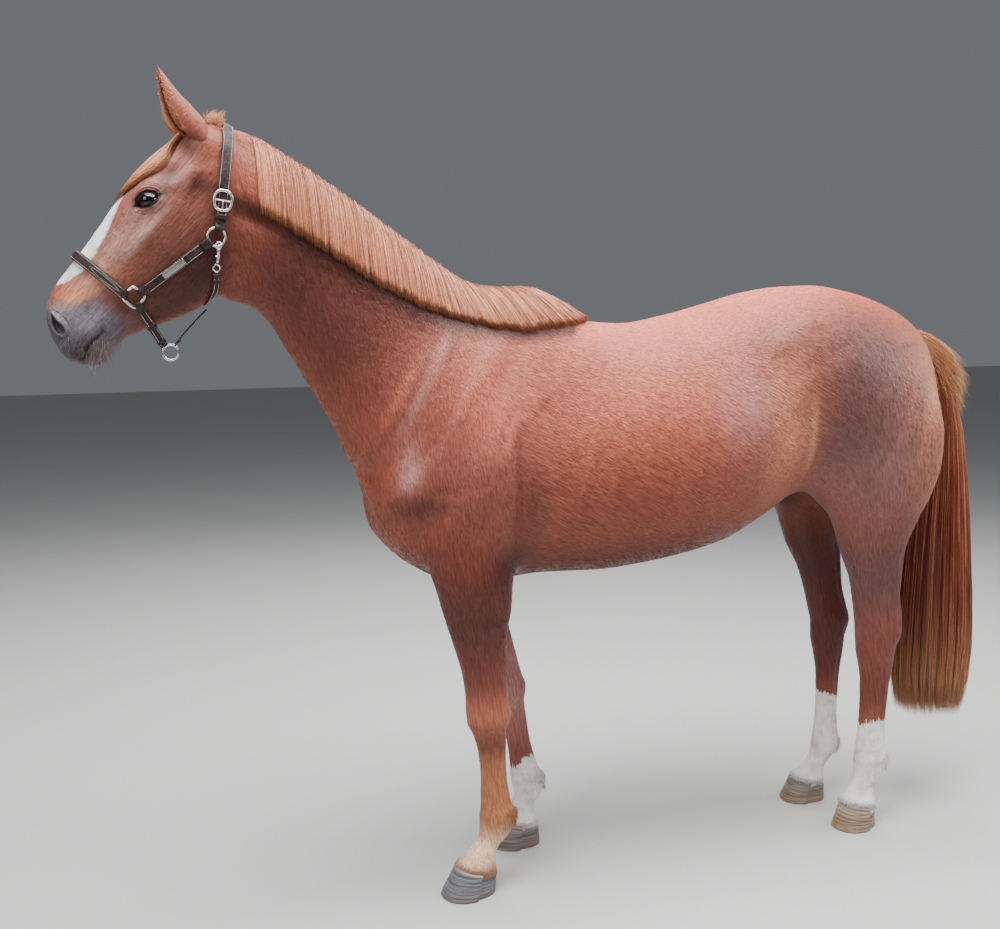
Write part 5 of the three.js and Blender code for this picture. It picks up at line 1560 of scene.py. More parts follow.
def add_eye(side, name, material, rings=40, around=64):
    """An eyeball with a bulge over its long pupil."""
    frame_ = eye_frame(side)
    polar = np.linspace(0.02, math.pi - 0.02, rings)
    turn = np.arange(around) / around * 2 * np.pi
    loops, iris, pupil = [], [], []
    for angle in polar:
        flat_radius = EYE_RADIUS * math.sin(angle)
        bulge = 1.3 * math.exp(-(angle / 0.62) ** 4)
        flat = np.stack([np.cos(turn), np.sin(turn)], 1) * flat_radius
        loops.append(frame_.at(flat, np.full(around, EYE_RADIUS * math.cos(angle) + bulge)))
        iris.append(smoothstep(21.5, 19.5, np.hypot(flat[:, 0], flat[:, 1] * 1.15))
                    * (angle < math.pi / 2))
        pupil.append(smoothstep(1.1, 0.9, np.hypot(flat[:, 0] / 12.5, flat[:, 1] / 7.5))
                     * (angle < math.pi / 2))
    points, faces = ring_mesh(np.array(loops))
    eye = mesh_object("eyeball_" + name, points, faces)
    set_float(eye, "iris", np.append(np.concatenate(iris), [1, 0]))
    set_float(eye, "pupil", np.append(np.concatenate(pupil), [1, 0]))
    eye.data.materials.append(material)
    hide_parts("eye_" + name)


EYE_MATERIAL = eye_material()
add_eye(-1, "left", EYE_MATERIAL)
add_eye(1, "right", EYE_MATERIAL)


# ---------------------------------------------------------------- the coat's own map
# Rectangles of the map: low and wide along U, then low and high along V.
TRUNK_CHART = (0.02, 0.56, 0.02, 0.44)
NECK_CHART = (0.60, 0.38, 0.02, 0.44)
HEAD_CHART = (0.02, 0.46, 0.50, 0.46)
LEG_CHART = (0.52, 0.46, 0.50, 0.11)
LEG_CHART_STEP = 0.12


def unrolled(rectangle, along, sideways, up):
    """Places in a rectangle of the map, from a share along a part and the angle round it."""
    low_u, wide_u, low_v, wide_v = rectangle
    turn = np.arctan2(sideways, up) / (2 * np.pi) + 0.5
    return np.stack([low_u + wide_u * np.clip(along, 0, 1), low_v + wide_v * turn], 1)


def chart(points):
    """A place in the unit square for each point of the body: long way and angle, part by part."""
    x, y, z = points.T
    uv = unrolled(TRUNK_CHART, (x + 620) / 1790, y, z - 1230)
    along, _, up = to_neck(points).T
    on_neck = (along > -40) & (x < -300) & (z > 1180)
    uv[on_neck] = unrolled(NECK_CHART, (along + 60) / 900, y, up)[on_neck]
    along, _, up = to_head(points).T
    on_head = x < FACE_BEFORE
    uv[on_head] = unrolled(HEAD_CHART, (along + 140) / 700, y, up + 40)[on_head]
    owner = leg_of(points)
    for number, name in enumerate(LEGS):
        mine = (owner == name) & (z < 900) & (np.abs(y) > 30)
        depth, out = on_leg(name, points[mine])
        uv[mine] = unrolled(LEG_CHART, z[mine] / 900, out, depth)
        uv[mine, 1] += LEG_CHART_STEP * number
    return uv


UV_PATCH = 0.003


def add_uv(piece, uv):
    """The OFBake map, given for each of the mesh's points."""
    layer = piece.data.uv_layers.new(name="OFBake")
    corner = np.empty(len(piece.data.loops), np.int32)
    piece.data.loops.foreach_get("vertex_index", corner)
    layer.data.foreach_set("uv", uv[corner].astype(np.float32).ravel())


# ---------------------------------------------------------------- strands
def unit_rows(vectors):
    """Vectors made one unit long."""
    return vectors / np.maximum(np.linalg.norm(vectors, axis=-1, keepdims=True), 1e-9)


def repeated(faces, count, per):
    """The faces of one small body, repeated for a number of bodies of so many points each."""
    return (faces[None] + per * np.arange(count)[:, None, None]).reshape(-1, 3)


# A strand's half width along it: at its root, the share where it is full, and the tip's loss.
STRAND_ROOT, STRAND_FULL, STRAND_LOSS = 0.6, 0.15, 0.72
STRAND_DEPTH = 0.6


def add_strands(name, paths, outwards, width, colours, material):
    """Closed three-sided strands along paths of points, each drawn out to a point at its end.

    Paths are strand by point by three; colours are the same, or one for each strand."""
    count, steps = paths.shape[:2]
    tangent = unit_rows(np.gradient(paths, axis=1))
    side = unit_rows(np.cross(tangent, outwards))
    out = np.cross(side, tangent)
    along = np.linspace(0, 1, steps)
    taper = STRAND_ROOT + (1 - STRAND_ROOT) * np.minimum(along / STRAND_FULL, 1)
    taper = taper * (1 - STRAND_LOSS * along ** 3)
    half = np.asarray(width).reshape(-1, 1, 1) * 0.5 * taper[None, :, None]
    ridge = paths + out * half * 2 * STRAND_DEPTH
    ring = np.stack([paths - side * half, paths + side * half, ridge], 2)
    body = ring[:, :-1].reshape(count, -1, 3)
    points = np.concatenate([body, paths[:, -1:]], 1)
    per = points.shape[1]
    k = np.arange(steps - 2)
    faces = [[0, 2, 1]]
    for j in range(3):
        a, b = j, (j + 1) % 3
        faces += [np.stack([3 * k + a, 3 * k + b, 3 * k + 3 + b], 1),
                  np.stack([3 * k + a, 3 * k + 3 + b, 3 * k + 3 + a], 1)]
        last = 3 * (steps - 2)
        faces.append(np.array([[last + a, last + b, per - 1]]))
    faces = facing_out(points[0], np.concatenate([np.atleast_2d(f) for f in faces]))
    piece = mesh_object(name, points.reshape(-1, 3), repeated(faces, count, per))
    if colours.ndim == 2:
        colours = np.repeat(colours[:, None], steps, 1)
    tone = np.concatenate([np.repeat(colours[:, :-1], 3, axis=1), colours[:, -1:]], 1)
    set_colour(piece, "tone", tone.reshape(-1, 3))
    step_number = np.append(np.repeat(np.arange(steps - 1), 3), steps - 1) / (steps - 1)
    corner_number = np.append(np.tile(np.arange(3), steps - 1), 0) / 3
    local = np.stack([step_number, corner_number], 1) * UV_PATCH
    add_uv(piece, (chart(paths[:, 0])[:, None] + local[None]).reshape(-1, 2))
    piece.data.materials.append(material)
    return piece


def resampled(path, count):
    """A polyline with its points spread evenly; further columns are carried along."""
    lengths = np.linalg.norm(np.diff(path[:, :3], axis=0), axis=1)
    place = np.concatenate([[0], np.cumsum(lengths)])
    wanted = np.linspace(0, place[-1], count)
    return np.stack([np.interp(wanted, place, column) for column in path.T], 1)


def blend_colours(rng, count, palette, spread=0.07):
    """Random mixtures of neighbouring colours of a palette, each a little lighter or darker."""
    palette = np.array(palette)
    place = rng.uniform(0, len(palette) - 1, count)
    i = np.minimum(place.astype(int), len(palette) - 2)
    t = (place - i)[:, None]
    colour = palette[i] * (1 - t) + palette[i + 1] * t
    return np.clip(colour * rng.normal(1, spread, (count, 1)), 0.004, 1)


# ---------------------------------------------------------------- the mane
# Places along the neck, height of the crest, and height of the mane's cut edge.
MANE = [
    (-228, 402, 450), (-214, 402, 398), (-178, 402, 345), (-94, 374, 250), (-22, 333, 198),
    (59, 290, 153), (157, 262, 108), (283, 240, 74), (394, 224, 55), (520, 204, 31),
    (626, 180, 12), (690, 167, -8), (752, 150, -30),
]
MANE_FROM, MANE_TO = -176, 748
# Guides are walked over the skin by small moves, from just beyond the crest.
MANE_WALK = 6.5
MANE_WALKS = 44
MANE_START = math.radians(9)
MANE_DRIFT = [(-176, -100, 20, 250), (0.85, 0.6, 0.3, 0.02)]
# How far the hair stands off the neck at the crest and at its edge, along the neck.
MANE_CREST = [(-214, -150, -60, 640, 748), (4, 7, 12, 12, 1)]
MANE_EDGE = [(600, 748), (6, 1.5)]
MANE_LOCKS = 160
MANE_GUIDES = 150
MANE_STEPS = 8
MANE_STRANDS = 9000
MANE_COLOURS = [linear(110, 58, 40), linear(168, 100, 70), linear(204, 134, 98),
                linear(142, 80, 55), linear(214, 148, 112), linear(124, 68, 48)]


def mane_guides():
    """Paths over the crest and down the near side, falling straight to the cut edge."""
    table = np.array(MANE, float)
    place = np.linspace(MANE_FROM, MANE_TO, MANE_GUIDES)
    crest = np.interp(place, table[:, 0], table[:, 1])
    start = (NECK_FRAME[0] + place[:, None] * NECK_FRAME[1]
             + (crest - 115)[:, None] * NECK_FRAME[2])
    ray = NECK_FRAME[2] * math.cos(MANE_START) + np.array([0, math.sin(MANE_START), 0])
    here = outward(start, np.tile(ray, (len(place), 1)), 0.0)
    drift = np.interp(place, *MANE_DRIFT)
    paths = [here]
    for _ in range(MANE_WALKS):
        normal = field_normal(here)
        flow = np.stack([drift, np.full(len(here), -0.22), np.full(len(here), -1.0)], 1)
        over_crest = smoothstep(-6, -34, here[:, 1])[:, None]
        flow = flow * over_crest + np.array([0.0, -1.0, -0.1]) * (1 - over_crest)
        flow = laid(flow, normal)
        here = settle(here + flow * MANE_WALK, 0.0)
        paths.append(here)
    paths = np.array(paths).transpose(1, 0, 2)
    guides = []
    for path in paths:
        q = to_neck(path)
        edge = np.interp(q[:, 0], table[:, 0], table[:, 2])
        below = np.nonzero((q[:, 2] < edge) & (path[:, 1] < -20))[0]
        last = below[0] if len(below) else len(path) - 1
        guides.append(resampled(path[:max(last, 4) + 1], MANE_STEPS + 6))
    return place, np.array(guides)


def add_mane(rng, material):
    """The combed mane: strands between the guides, in locks, layered from the skin outwards."""
    place, guides = mane_guides()
    count = fewer(MANE_STRANDS)
    pick = rng.uniform(0, len(place) - 1.001, count)
    i = pick.astype(int)
    t = (pick - i)[:, None, None]
    wide = guides[i] * (1 - t) + guides[i + 1] * t
    start = rng.uniform(0, 0.3, count) * np.interp(place[i], [-214, 100], [0.3, 1])
    cut = 1 - np.abs(rng.normal(0, 0.018, count))
    cut -= (rng.random(count) < 0.08) * 0.2 * rng.random(count)
    layer = rng.random(count) ** 0.8
    cut -= 0.05 * (1 - layer)
    along = np.linspace(0, 1, MANE_STEPS)
    share = start[:, None] + (cut - start)[:, None] * along
    paths = sample_paths(wide, share)
    normal = unit_rows(field_normal(paths.reshape(-1, 3)).reshape(paths.shape))
    crest, edge = (np.interp(place[i], *row)[:, None] for row in (MANE_CREST, MANE_EDGE))
    rise = 1 - np.exp(-along[None] / 0.12)
    height = -1.5 + rise * (2.2 + layer[:, None] * (crest * (1 - share) + edge * share))
    flow = np.array([0.75, 0, 0.66])
    lock = np.sin(place[i] * 0.21 + 1.7 * np.sin(place[i] * 0.053)) * 2.4
    sway = rng.normal(0, 2.4, count)[:, None] * along ** 1.4 + lock[:, None] * along ** 2
    sway += rng.normal(0, 0.8, (count, 1)) * np.sin(along * 7 + rng.uniform(0, 6, (count, 1)))
    paths = paths + normal * height[..., None] + flow * sway[..., None]
    colours = blend_colours(rng, count, MANE_COLOURS, 0.1)
    # Painted shade: darker at the roots and in the under-layers, and lighter at the tips.
    shade = 0.62 + 0.46 * np.minimum(along / 0.35, 1)
    shade = shade * np.interp(along, [0, 0.8, 1], [1, 1, 1.12])
    locks = rng.normal(1, 0.15, MANE_LOCKS)
    lock_place = np.linspace(-180, 750, MANE_LOCKS)
    lock_tone = np.interp(place[i] + rng.normal(0, 1.5, count), lock_place, locks)
    colours = colours[:, None] * shade[None, :, None] * (0.86 + 0.18 * layer[:, None, None])
    colours = colours * lock_tone[:, None, None]
    width = rng.uniform(1.5, 2.5, count)
    for name, part in halves("mane_lower", "mane_upper", count):
        piece = add_strands(name, paths[part], normal[part], width[part], colours[part], material)
        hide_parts("mane")


def halves(first, second, count):
    """Names for the two halves of a large coat, with the strands that belong to each."""
    return (first, slice(0, count // 2)), (second, slice(count // 2, count))


def sample_paths(paths, share):
    """Points of each path at shares of its length."""
    steps = paths.shape[1] - 1
    place = np.clip(share, 0, 0.99999) * steps
    i = place.astype(int)
    t = (place - i)[..., None]
    row = np.arange(len(paths))[:, None]
    return paths[row, i] * (1 - t) + paths[row, i + 1] * t


# ---------------------------------------------------------------- the tail
# Tail sections: height, front, back, half width.
TAIL = [
    (1472, 1098, 1128, 22), (1442, 1112, 1180, 40), (1395, 1128, 1230, 50),
    (1340, 1142, 1270, 55), (1255, 1150, 1298, 60), (1100, 1128, 1314, 64),
    (880, 1098, 1333, 70), (620, 1076, 1349, 76), (450, 1068, 1347, 78), (355, 1070, 1331, 76),
    (290, 1080, 1322, 72), (255, 1096, 1308, 62),
]
TAIL_TOP, TAIL_TIP, TAIL_SPREAD = 1470, 284, 330
# Heights, and places along X: of the dock's middle where the hair leaves it, of the middle of
# the fleshy dock itself, and of the hairline that its frizz grows from.
DOCK_LINE = [(1100, 1300, 1400, 1440, 1472), (1215, 1205, 1172, 1140, 1112)]
DOCK_CORE = [(1100, 1300, 1400, 1440, 1478), (1215, 1205, 1172, 1136, 1088)]
DOCK_HAIRLINE = [(1100, 1300, 1400, 1440, 1472), (1215, 1205, 1172, 1140, 1106)]
DOCK_RADIUS = [(0, 0.1, 0.3, 0.85, 1), (16, 24, 26, 15, 4)]
DOCK_TOP, DOCK_LENGTH = 1478, 380
FRIZZ_HAIRS = 2600
TAIL_LOCKS = 26
TAIL_STRANDS = 7600
TAIL_STEPS = 10
TAIL_DARK = [linear(92, 36, 28), linear(128, 56, 42), linear(106, 44, 34), linear(150, 78, 54),
             linear(98, 40, 30), linear(136, 62, 46), linear(176, 108, 74)]
TAIL_PALE = [linear(222, 162, 112), linear(190, 122, 78), linear(232, 186, 140),
             linear(172, 100, 62)]


def add_tail(rng, material):
    """The tail's long strands, gathered in locks and paler on the dock and at the tips, with painted
    shade on the strands deep inside it.
    """
    table = np.array(TAIL, float)[::-1]
    count = fewer(TAIL_STRANDS)
    root_depth = rng.beta(0.75, 1.25, count)
    root_z = TAIL_TOP - TAIL_SPREAD * root_depth
    angle = rng.uniform(0, 2 * np.pi, count)
    reach = rng.uniform(0, 1, count) ** 0.34
    end = rng.normal(0, 12, count) + TAIL_TIP
    end = end + 60 * (rng.random(count) < 0.12) * rng.random(count)
    end -= 10 * np.cos(angle) * reach
    short = rng.random(count) < 0.10
    end = np.where(short, rng.uniform(420, 980, count), end)
    along = np.linspace(0, 1, TAIL_STEPS) ** 0.92
    z = root_z[:, None] + (end - root_z)[:, None] * along
    front, back, half = (np.interp(z, table[:, 0], table[:, k]) for k in (1, 2, 3))
    middle = (front + back) / 2
    dock = np.interp(z, *DOCK_LINE)
    fallen = (root_z[:, None] - z) / 230
    spread = reach[:, None] * (1 - np.exp(-np.maximum(fallen, 0) * 1.5))
    spread = spread + 0.2 * np.exp(-fallen * 3)
    settled = smoothstep(0, 1.1, fallen)
    centre = dock * (1 - settled) + middle * settled
    lock = 2 * np.pi * (np.round(angle / (2 * np.pi) * TAIL_LOCKS) / TAIL_LOCKS)
    clump = smoothstep(0.3, 1, along)[None] * 0.42
    turn = angle[:, None] * (1 - clump) + lock[:, None] * clump
    wave = rng.normal(0, 3.2, (count, 1)) * np.sin(along * rng.uniform(5, 11, (count, 1))
                                                   + rng.uniform(0, 6, (count, 1))) * along
    x = centre + ((back - front) / 2 - 4) * spread * np.cos(turn) + wave
    y = (half - 3) * spread * np.sin(turn) + wave[:, ::-1] * 0.7
    x = x + rng.normal(0, 3, (count, 1)) * along
    y = y + rng.normal(0, 3, (count, 1)) * along
    paths = np.stack([x, y, z], 2)
    out = np.stack([np.cos(turn), np.sin(turn), np.full_like(turn, 0.08)], 2)
    dark = blend_colours(rng, count, TAIL_DARK, 0.14)
    pale = blend_colours(rng, count, TAIL_PALE, 0.1)
    blond = np.clip(np.cos(angle) * 0.9 + 0.25, 0, 1) * (root_depth < 0.42)
    golden = rng.random(count) < 0.16
    top = smoothstep(960, 1420, z) * np.maximum(blond * 0.95, 0.12)[:, None]
    tip = smoothstep(620, 300, z) * 0.75
    share = np.clip(np.maximum(np.maximum(top, tip), golden[:, None] * 0.55), 0, 1)[..., None]
    colours = dark[:, None] * (1 - share) + pale[:, None] * share
    # Painted shade: strands deep inside the tail are darker.
    colours = colours * (0.62 + 0.38 * reach[:, None, None])
    width = rng.uniform(1.6, 2.8, count)
    for name, part in halves("tail_inner", "tail_outer", count):
        piece = add_strands(name, paths[part], unit_rows(out[part]), width[part], colours[part],
                            material)
        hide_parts("tail")


def add_dock(material):
    """The fleshy dock inside the tail."""
    rings = []
    turn = np.linspace(0, 2 * np.pi, 25)[:-1]
    for share in np.linspace(0, 1, 22):
        z = DOCK_TOP - DOCK_LENGTH * share
        radius = np.interp(share, *DOCK_RADIUS)
        rings.append(np.stack([np.interp(z, *DOCK_CORE) + radius * np.cos(turn),
                               radius * 1.1 * np.sin(turn), np.full(len(turn), z)], 1))
    points, faces = ring_mesh(np.array(rings))
    dock = mesh_object("dock", points, faces)
    set_colour(dock, "tone", np.tile(np.array(TAIL_DARK[0]) * 0.8, (len(points), 1)))
    dock.data.materials.append(material)
    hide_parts("tail")


def add_frizz(rng, material, steps=6):
    """The frizz of short pale hairs on the dock's back."""
    count = fewer(FRIZZ_HAIRS)
    root_z = 1474 - 190 * rng.beta(0.9, 1.5, count)
    centre = np.interp(root_z, *DOCK_HAIRLINE)
    turn = rng.normal(0, 0.85, count)
    along = np.linspace(0, 1, steps)
    length = rng.uniform(50, 125, count)
    lift = np.interp(root_z, [1280, 1400, 1470], [20, 34, 26]) * rng.uniform(0.3, 1.25, count)
    fall = length[:, None] * (0.25 * along + 0.75 * along ** 1.6)
    away = 22 + lift[:, None] * np.sin(along * 1.9) + 0.34 * fall
    x = centre[:, None] + away * np.cos(turn)[:, None]
    x = x + fall * np.interp(root_z, [1300, 1440, 1470], [0.12, 0.55, 0.9])[:, None]
    y = (24 + lift[:, None] * along + 0.1 * fall) * np.sin(turn)[:, None]
    z = root_z[:, None] - fall * 0.86
    curl = rng.normal(0, 2.6, (count, 1)) * np.sin(along * 9 + rng.uniform(0, 6, (count, 1)))
    paths = np.stack([x + curl, y - curl, z + 0.4 * curl], 2)
    out = np.stack([np.cos(turn), np.sin(turn), np.zeros(count)], 1)[:, None]
    colours = blend_colours(rng, count, TAIL_PALE, 0.08)
    piece = add_strands("tail_frizz", paths, np.repeat(out, steps, 1), rng.uniform(0.9, 1.6, count),
                        colours, material)
    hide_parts("tail")


# ---------------------------------------------------------------- forelock
FORELOCK_HAIRS = 2000
# Places along the head, and the angles round it of the forelock's left and right edges.
FORELOCK = [
    (-104, -17, 12), (-70, -18, 12), (-25, -24, 13), (8, -36, 12), (38, -51, 11), (80, -52, 9),
    (130, -42, 7), (182, -22, 4),
]
FORELOCK_COLOURS = [linear(192, 122, 86), linear(218, 152, 112), linear(164, 96, 66),
                    linear(226, 168, 128)]


def add_forelock(rng, material, steps=9):
    """Hair that falls from the poll between the ears, over the forehead to the near side."""
    table = np.array(FORELOCK, float)
    count = fewer(FORELOCK_HAIRS)
    start = rng.uniform(-106, -52, count)
    end = np.clip(rng.normal(158, 18, count), 90, 186)
    end = np.where(rng.random(count) < 0.12, rng.uniform(20, 120, count), end)
    place = rng.uniform(0.02, 0.98, count)
    along = np.linspace(0, 1, steps)
    s = start[:, None] + (end - start)[:, None] * along
    left, right = (np.interp(s, table[:, 0], table[:, k]) for k in (1, 2))
    gather = place[:, None] + (0.42 - place[:, None]) * 0.25 * along
    angle = np.radians(left + (right - left) * gather + rng.normal(0, 1.0, (count, 1)) * along)
    middle = from_head(s.ravel(), 0.0, 10.0)
    ray = (HEAD_FRAME[2] * np.cos(angle).ravel()[:, None]
           + np.array([0, 1.0, 0]) * np.sin(angle).ravel()[:, None])
    skin_place = outward(middle, ray, 0.0).reshape(count, steps, 3)
    layer = rng.random(count)
    room = np.interp(s, [-106, -60, 20, 120, 182], [4, 13, 16, 12, 5])
    height = -2 + (1 - np.exp(-along / 0.1)) * (3 + layer[:, None] * room)
    ray = ray.reshape(count, steps, 3)
    wave = rng.normal(0, 1.6, (count, 1)) * np.sin(along * 6 + rng.uniform(0, 6, (count, 1)))
    paths = skin_place + ray * height[..., None] + np.array([0, 1.0, 0]) * wave[..., None]
    colours = blend_colours(rng, count, FORELOCK_COLOURS, 0.08)
    # Painted shade: darker at the roots and in the under-layers.
    shade = np.interp(along, [0, 0.3, 1], [0.72, 1, 1.06])
    colours = colours[:, None] * shade[None, :, None] * (0.72 + 0.32 * layer[:, None, None])
    piece = add_strands("forelock_hair", paths, ray, rng.uniform(1.2, 2.2, count), colours,
                        material)
    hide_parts("forelock")


rng = np.random.default_rng(11)
HAIR = hair_material("long_hair")
add_mane(rng, HAIR)
add_tail(rng, HAIR)
add_dock(HAIR)
add_frizz(rng, HAIR)
add_forelock(rng, HAIR)


# ---------------------------------------------------------------- hooves
HOOF_SIZE = {"fore": (73.0, 64.0), "hind": (68.0, 59.0)}
HOOF_HEEL = 0.84
CORONET_DROP = 12.0
CORONET_SLOPE = 0.24
# Share of the height, and how long and wide the wall is there.
HOOF_LEVELS = [(0, 1, 1), (0.08, 0.99, 0.99), (0.5, 0.89, 0.9), (1, 0.77, 0.77),
               (1.25, 0.68, 0.64)]
HOOF_HORN = {"foreleg_left": (linear(112, 112, 120), 0.25),
             "foreleg_right": (linear(118, 112, 108), 0.35),
             "hindleg_left": (linear(150, 132, 112), 0.9),
             "hindleg_right": (linear(128, 118, 108), 0.7)}


def hoof_wall(name, up, angle, growth):
    """Points of a hoof's wall at shares of its height and angles from the heel."""
    joints, side, toe_out = LEGS[name]
    half_length, half_width = HOOF_SIZE[name[:4]]
    (x, y, z), (ground_x, ground_y, _) = joints[4], joints[5]
    _, long, wide = Curve(HOOF_LEVELS)(up).T
    c, n = np.cos(angle), np.sin(angle)
    heel = np.where(c > 0, HOOF_HEEL, 1.0)
    back = np.sign(c) * np.abs(c) ** 0.9 * (half_length * long + growth)
    out = np.sign(n) * np.abs(n) ** 0.85 * (half_width * wide * heel + growth)
    turn = math.radians(toe_out * side)
    px = ground_x + (x - ground_x) * up + back * math.cos(turn) + out * math.sin(turn)
    py = ground_y + (y - ground_y) * up - back * math.sin(turn) + out * math.cos(turn)
    return np.stack([px, py, up * z], 1)


# Rings of the sole from its middle outwards: share of the outline, and height over the ground.
SOLE = [(0.1, 5.5), (0.45, 5), (0.72, 4.5), (0.82, 3.2), (0.86, 0), (0.985, 0)]
# Rings that close the hoof's top: share of the wall's last ring, and rise over it.
HOOF_TOP = [(0.965, 1.2), (0.9, 1.5), (0.6, 1.5), (0.2, 1.5)]
WALL_FROM = 0.012


def hoof_rings(name, rng, around=72, rows=46):
    """Rings of a hoof from the sole's middle out, up the grooved wall, and in over its top."""
    joints = LEGS[name][0]
    x, _, z = joints[4]
    angle = np.arange(around) / around * 2 * np.pi
    top = np.full(around, 0.85)
    for _ in range(8):
        place = hoof_wall(name, top, angle, 0)
        top = (z - CORONET_DROP - CORONET_SLOPE * (place[:, 0] - x)) / z
    outline = hoof_wall(name, np.zeros(around), angle, 0)
    centre = outline.mean(0)
    cleft = gauss(angle / 0.16) + gauss((angle - 2 * np.pi) / 0.16)
    frog = gauss(angle / 0.42) + gauss((angle - 2 * np.pi) / 0.42)
    rings = []
    for reach, height in SOLE:
        ring = centre + (outline - centre) * reach
        ring[:, 2] = height * (1 - 0.8 * frog * (reach < 0.83))
        rings.append(ring)
    phase = rng.uniform(0, 6)
    for share in np.linspace(WALL_FROM, 1, rows):
        wave = 0.55 * np.sin(share * 42 + phase + 1.2 * np.sin(angle + phase) + 2.2 * share ** 2)
        wave += 0.35 * np.sin(share * 91 + phase * 2 + np.sin(2 * angle))
        band = 1.6 * gauss((share - 0.965) / 0.03)
        growth = (wave * smoothstep(0, 0.12, share) * smoothstep(1.0, 0.9, share) + band
                  - 2.6 * cleft * smoothstep(0.1, 0.9, share))
        rings.append(hoof_wall(name, top * share, angle, growth))
    last, middle = rings[-1], rings[-1].mean(0)
    for reach, rise in HOOF_TOP:
        rings.append(middle + (last - middle) * reach + np.array([0, 0, rise]))
    return np.array(rings)


def hoof_material(name, horn, stain):
    """Horn with growth rings, stained by the ground from below."""
    m = Shader(name, Roughness=0.5, IOR=1.5, Specular_IOR_Level=0.35)
    up = m.attribute("up")
    rings = m.noise(m.stretched(0, 0.12, 0.12, 0.0042), detail=3)
    streaks = m.noise(m.stretched(0, 0.0016, 0.0016, 0.05), detail=2)
    blotch = m.noise(m.place(), scale=34, detail=4)
    dark = tuple(v * 0.55 for v in horn)
    pale = tuple(min(v * 1.45, 1) for v in horn)
    colour = m.blend(m.ramp(rings, 0.36, 0.66), dark, pale)
    colour = m.blend(m.ramp(streaks, 0.4, 0.75, 0, 0.35), colour, dark)
    rust = m.math("MULTIPLY", m.ramp(blotch, 0.42, 0.66, 0, stain), m.ramp(up, 0.75, 0.2))
    colour = m.blend(rust, colour, linear(150, 98, 62))
    dust = m.math("MULTIPLY", m.ramp(blotch, 0.4, 0.7), m.ramp(up, 0.22, 0.0, 0, 0.7))
    colour = m.blend(dust, colour, linear(120, 104, 88))
    colour = m.blend(m.ramp(up, 0.93, 0.97), colour, linear(150, 140, 132))
    normal = m.bump(rings, 0.0012, 0.9)
    normal = m.bump(streaks, 0.0004, 0.7, normal)
    return m.out(Base_Color=colour, Normal=normal, Roughness=m.ramp(blotch, 0.3, 0.7, 0.42, 0.66))


def add_hooves(rng):
    """The four hooves, each with its own horn."""
    for name, (horn, stain) in HOOF_HORN.items():
        rings = hoof_rings(name, rng)
        points, faces = ring_mesh(rings)
        node = name.replace("leg", "hoof")
        hoof = mesh_object(node + "_horn", points, faces)
        wall = np.linspace(WALL_FROM, 1, len(rings) - len(SOLE) - len(HOOF_TOP))
        up = np.concatenate([np.zeros(len(SOLE)), wall, np.ones(len(HOOF_TOP))])
        set_float(hoof, "up", np.append(np.repeat(up, rings.shape[1]), [0, 1]))
        hoof.data.materials.append(hoof_material(node, horn, stain))
        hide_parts(node)


add_hooves(np.random.default_rng(5))


# ---------------------------------------------------------------- the halter
# Sizes of straps and rings, and places on the head as (along it, up from its middle line).
STRAP = {"width": 23.0, "crown": 27.0, "thickness": 4.0, "padded": 8.0, "narrow": 15.0,
         "thin": 3.5, "lift": 2.0}
RING = {"wire": 3.0, "round": 22.0, "chin": 19.0, "square": 20.0, "buckle": 21.0, "raise": 6.5}
NOSE_PLACE = 346
SQUARE_PLACE = (336, -62)
ROUND_PLACE = (101, -113)
CHIN_PLACE = (381, -214)
CHEEK_FROM, CHEEK_TO = (112, -111), (326, -68)
BUCKLE_ANGLE = 125
CROWN_REACH, NOSE_REACH = 144, 126
CROWN_MIDDLE = (-27, -35)
CROWN_RAY = HEAD_FRAME[1] * -0.828 + HEAD_FRAME[2] * 0.561
STITCH_STEP = 5.2
STITCH_PROFILE = [(-1.75, 0.05), (-1.2, 0.42), (0, 0.55), (1.2, 0.42), (1.75, 0.05)]
KEEPER_LOOP = [(-1, 0.0), (-1, 0.5), (-0.96, 0.85), (-0.8, 1.0), (0, 1.08), (0.8, 1.0),
               (0.96, 0.85), (1, 0.5), (1, 0.0), (0.8, -0.12), (-0.8, -0.12)]
KEEPER_EDGES = [(-0.5, 0.9), (-0.5, 1.0), (-0.3, 1.025), (0.3, 1.025), (0.5, 1.0), (0.5, 0.9)]
DISC_PROFILE = [(0.9, -1), (1, -0.6), (1, 0.5), (0.85, 1), (0.4, 1.1)]


# A stop of a strap is a ray from inside the head, or a place in the air with the way out of it.
def cheek_stop(s, d, side):
    return from_head(s, 0.0, d), np.array([0.0, side, 0]), True


def round_stop(s, degrees):
    a = math.radians(degrees)
    return (from_head(s, 0.0, -10.0), HEAD_FRAME[2] * math.cos(a) + np.array([0, math.sin(a), 0]),
            True)


def crown_stop(degrees):
    a = math.radians(degrees)
    return (from_head(CROWN_MIDDLE[0], 0.0, CROWN_MIDDLE[1]),
            CROWN_RAY * math.cos(a) + np.array([0, math.sin(a), 0]), True)


def air_stop(s, y, d, out):
    return from_head(s, float(y), float(d)), np.array(out, float), False


def cheek_strap_stop(share, side):
    s, d = (a + (b - a) * share for a, b in zip(CHEEK_FROM, CHEEK_TO))
    return cheek_stop(s, d, side)


def solved(stops):
    """Places and outward directions of stops, with the rays followed to the head's surface."""
    at = np.array([place for place, _, _ in stops])
    out = np.array([direction for _, direction, _ in stops])
    on_skin = np.array([follow for _, _, follow in stops])
    at[on_skin] = outward(at[on_skin], out[on_skin], 0.0)
    out[on_skin] = field_normal(at[on_skin])
    return at, out


def fitting_place(stop):
    """The place of one stop on the skin, and the way out of the skin there."""
    at, out = solved([stop])
    return at[0], out[0]


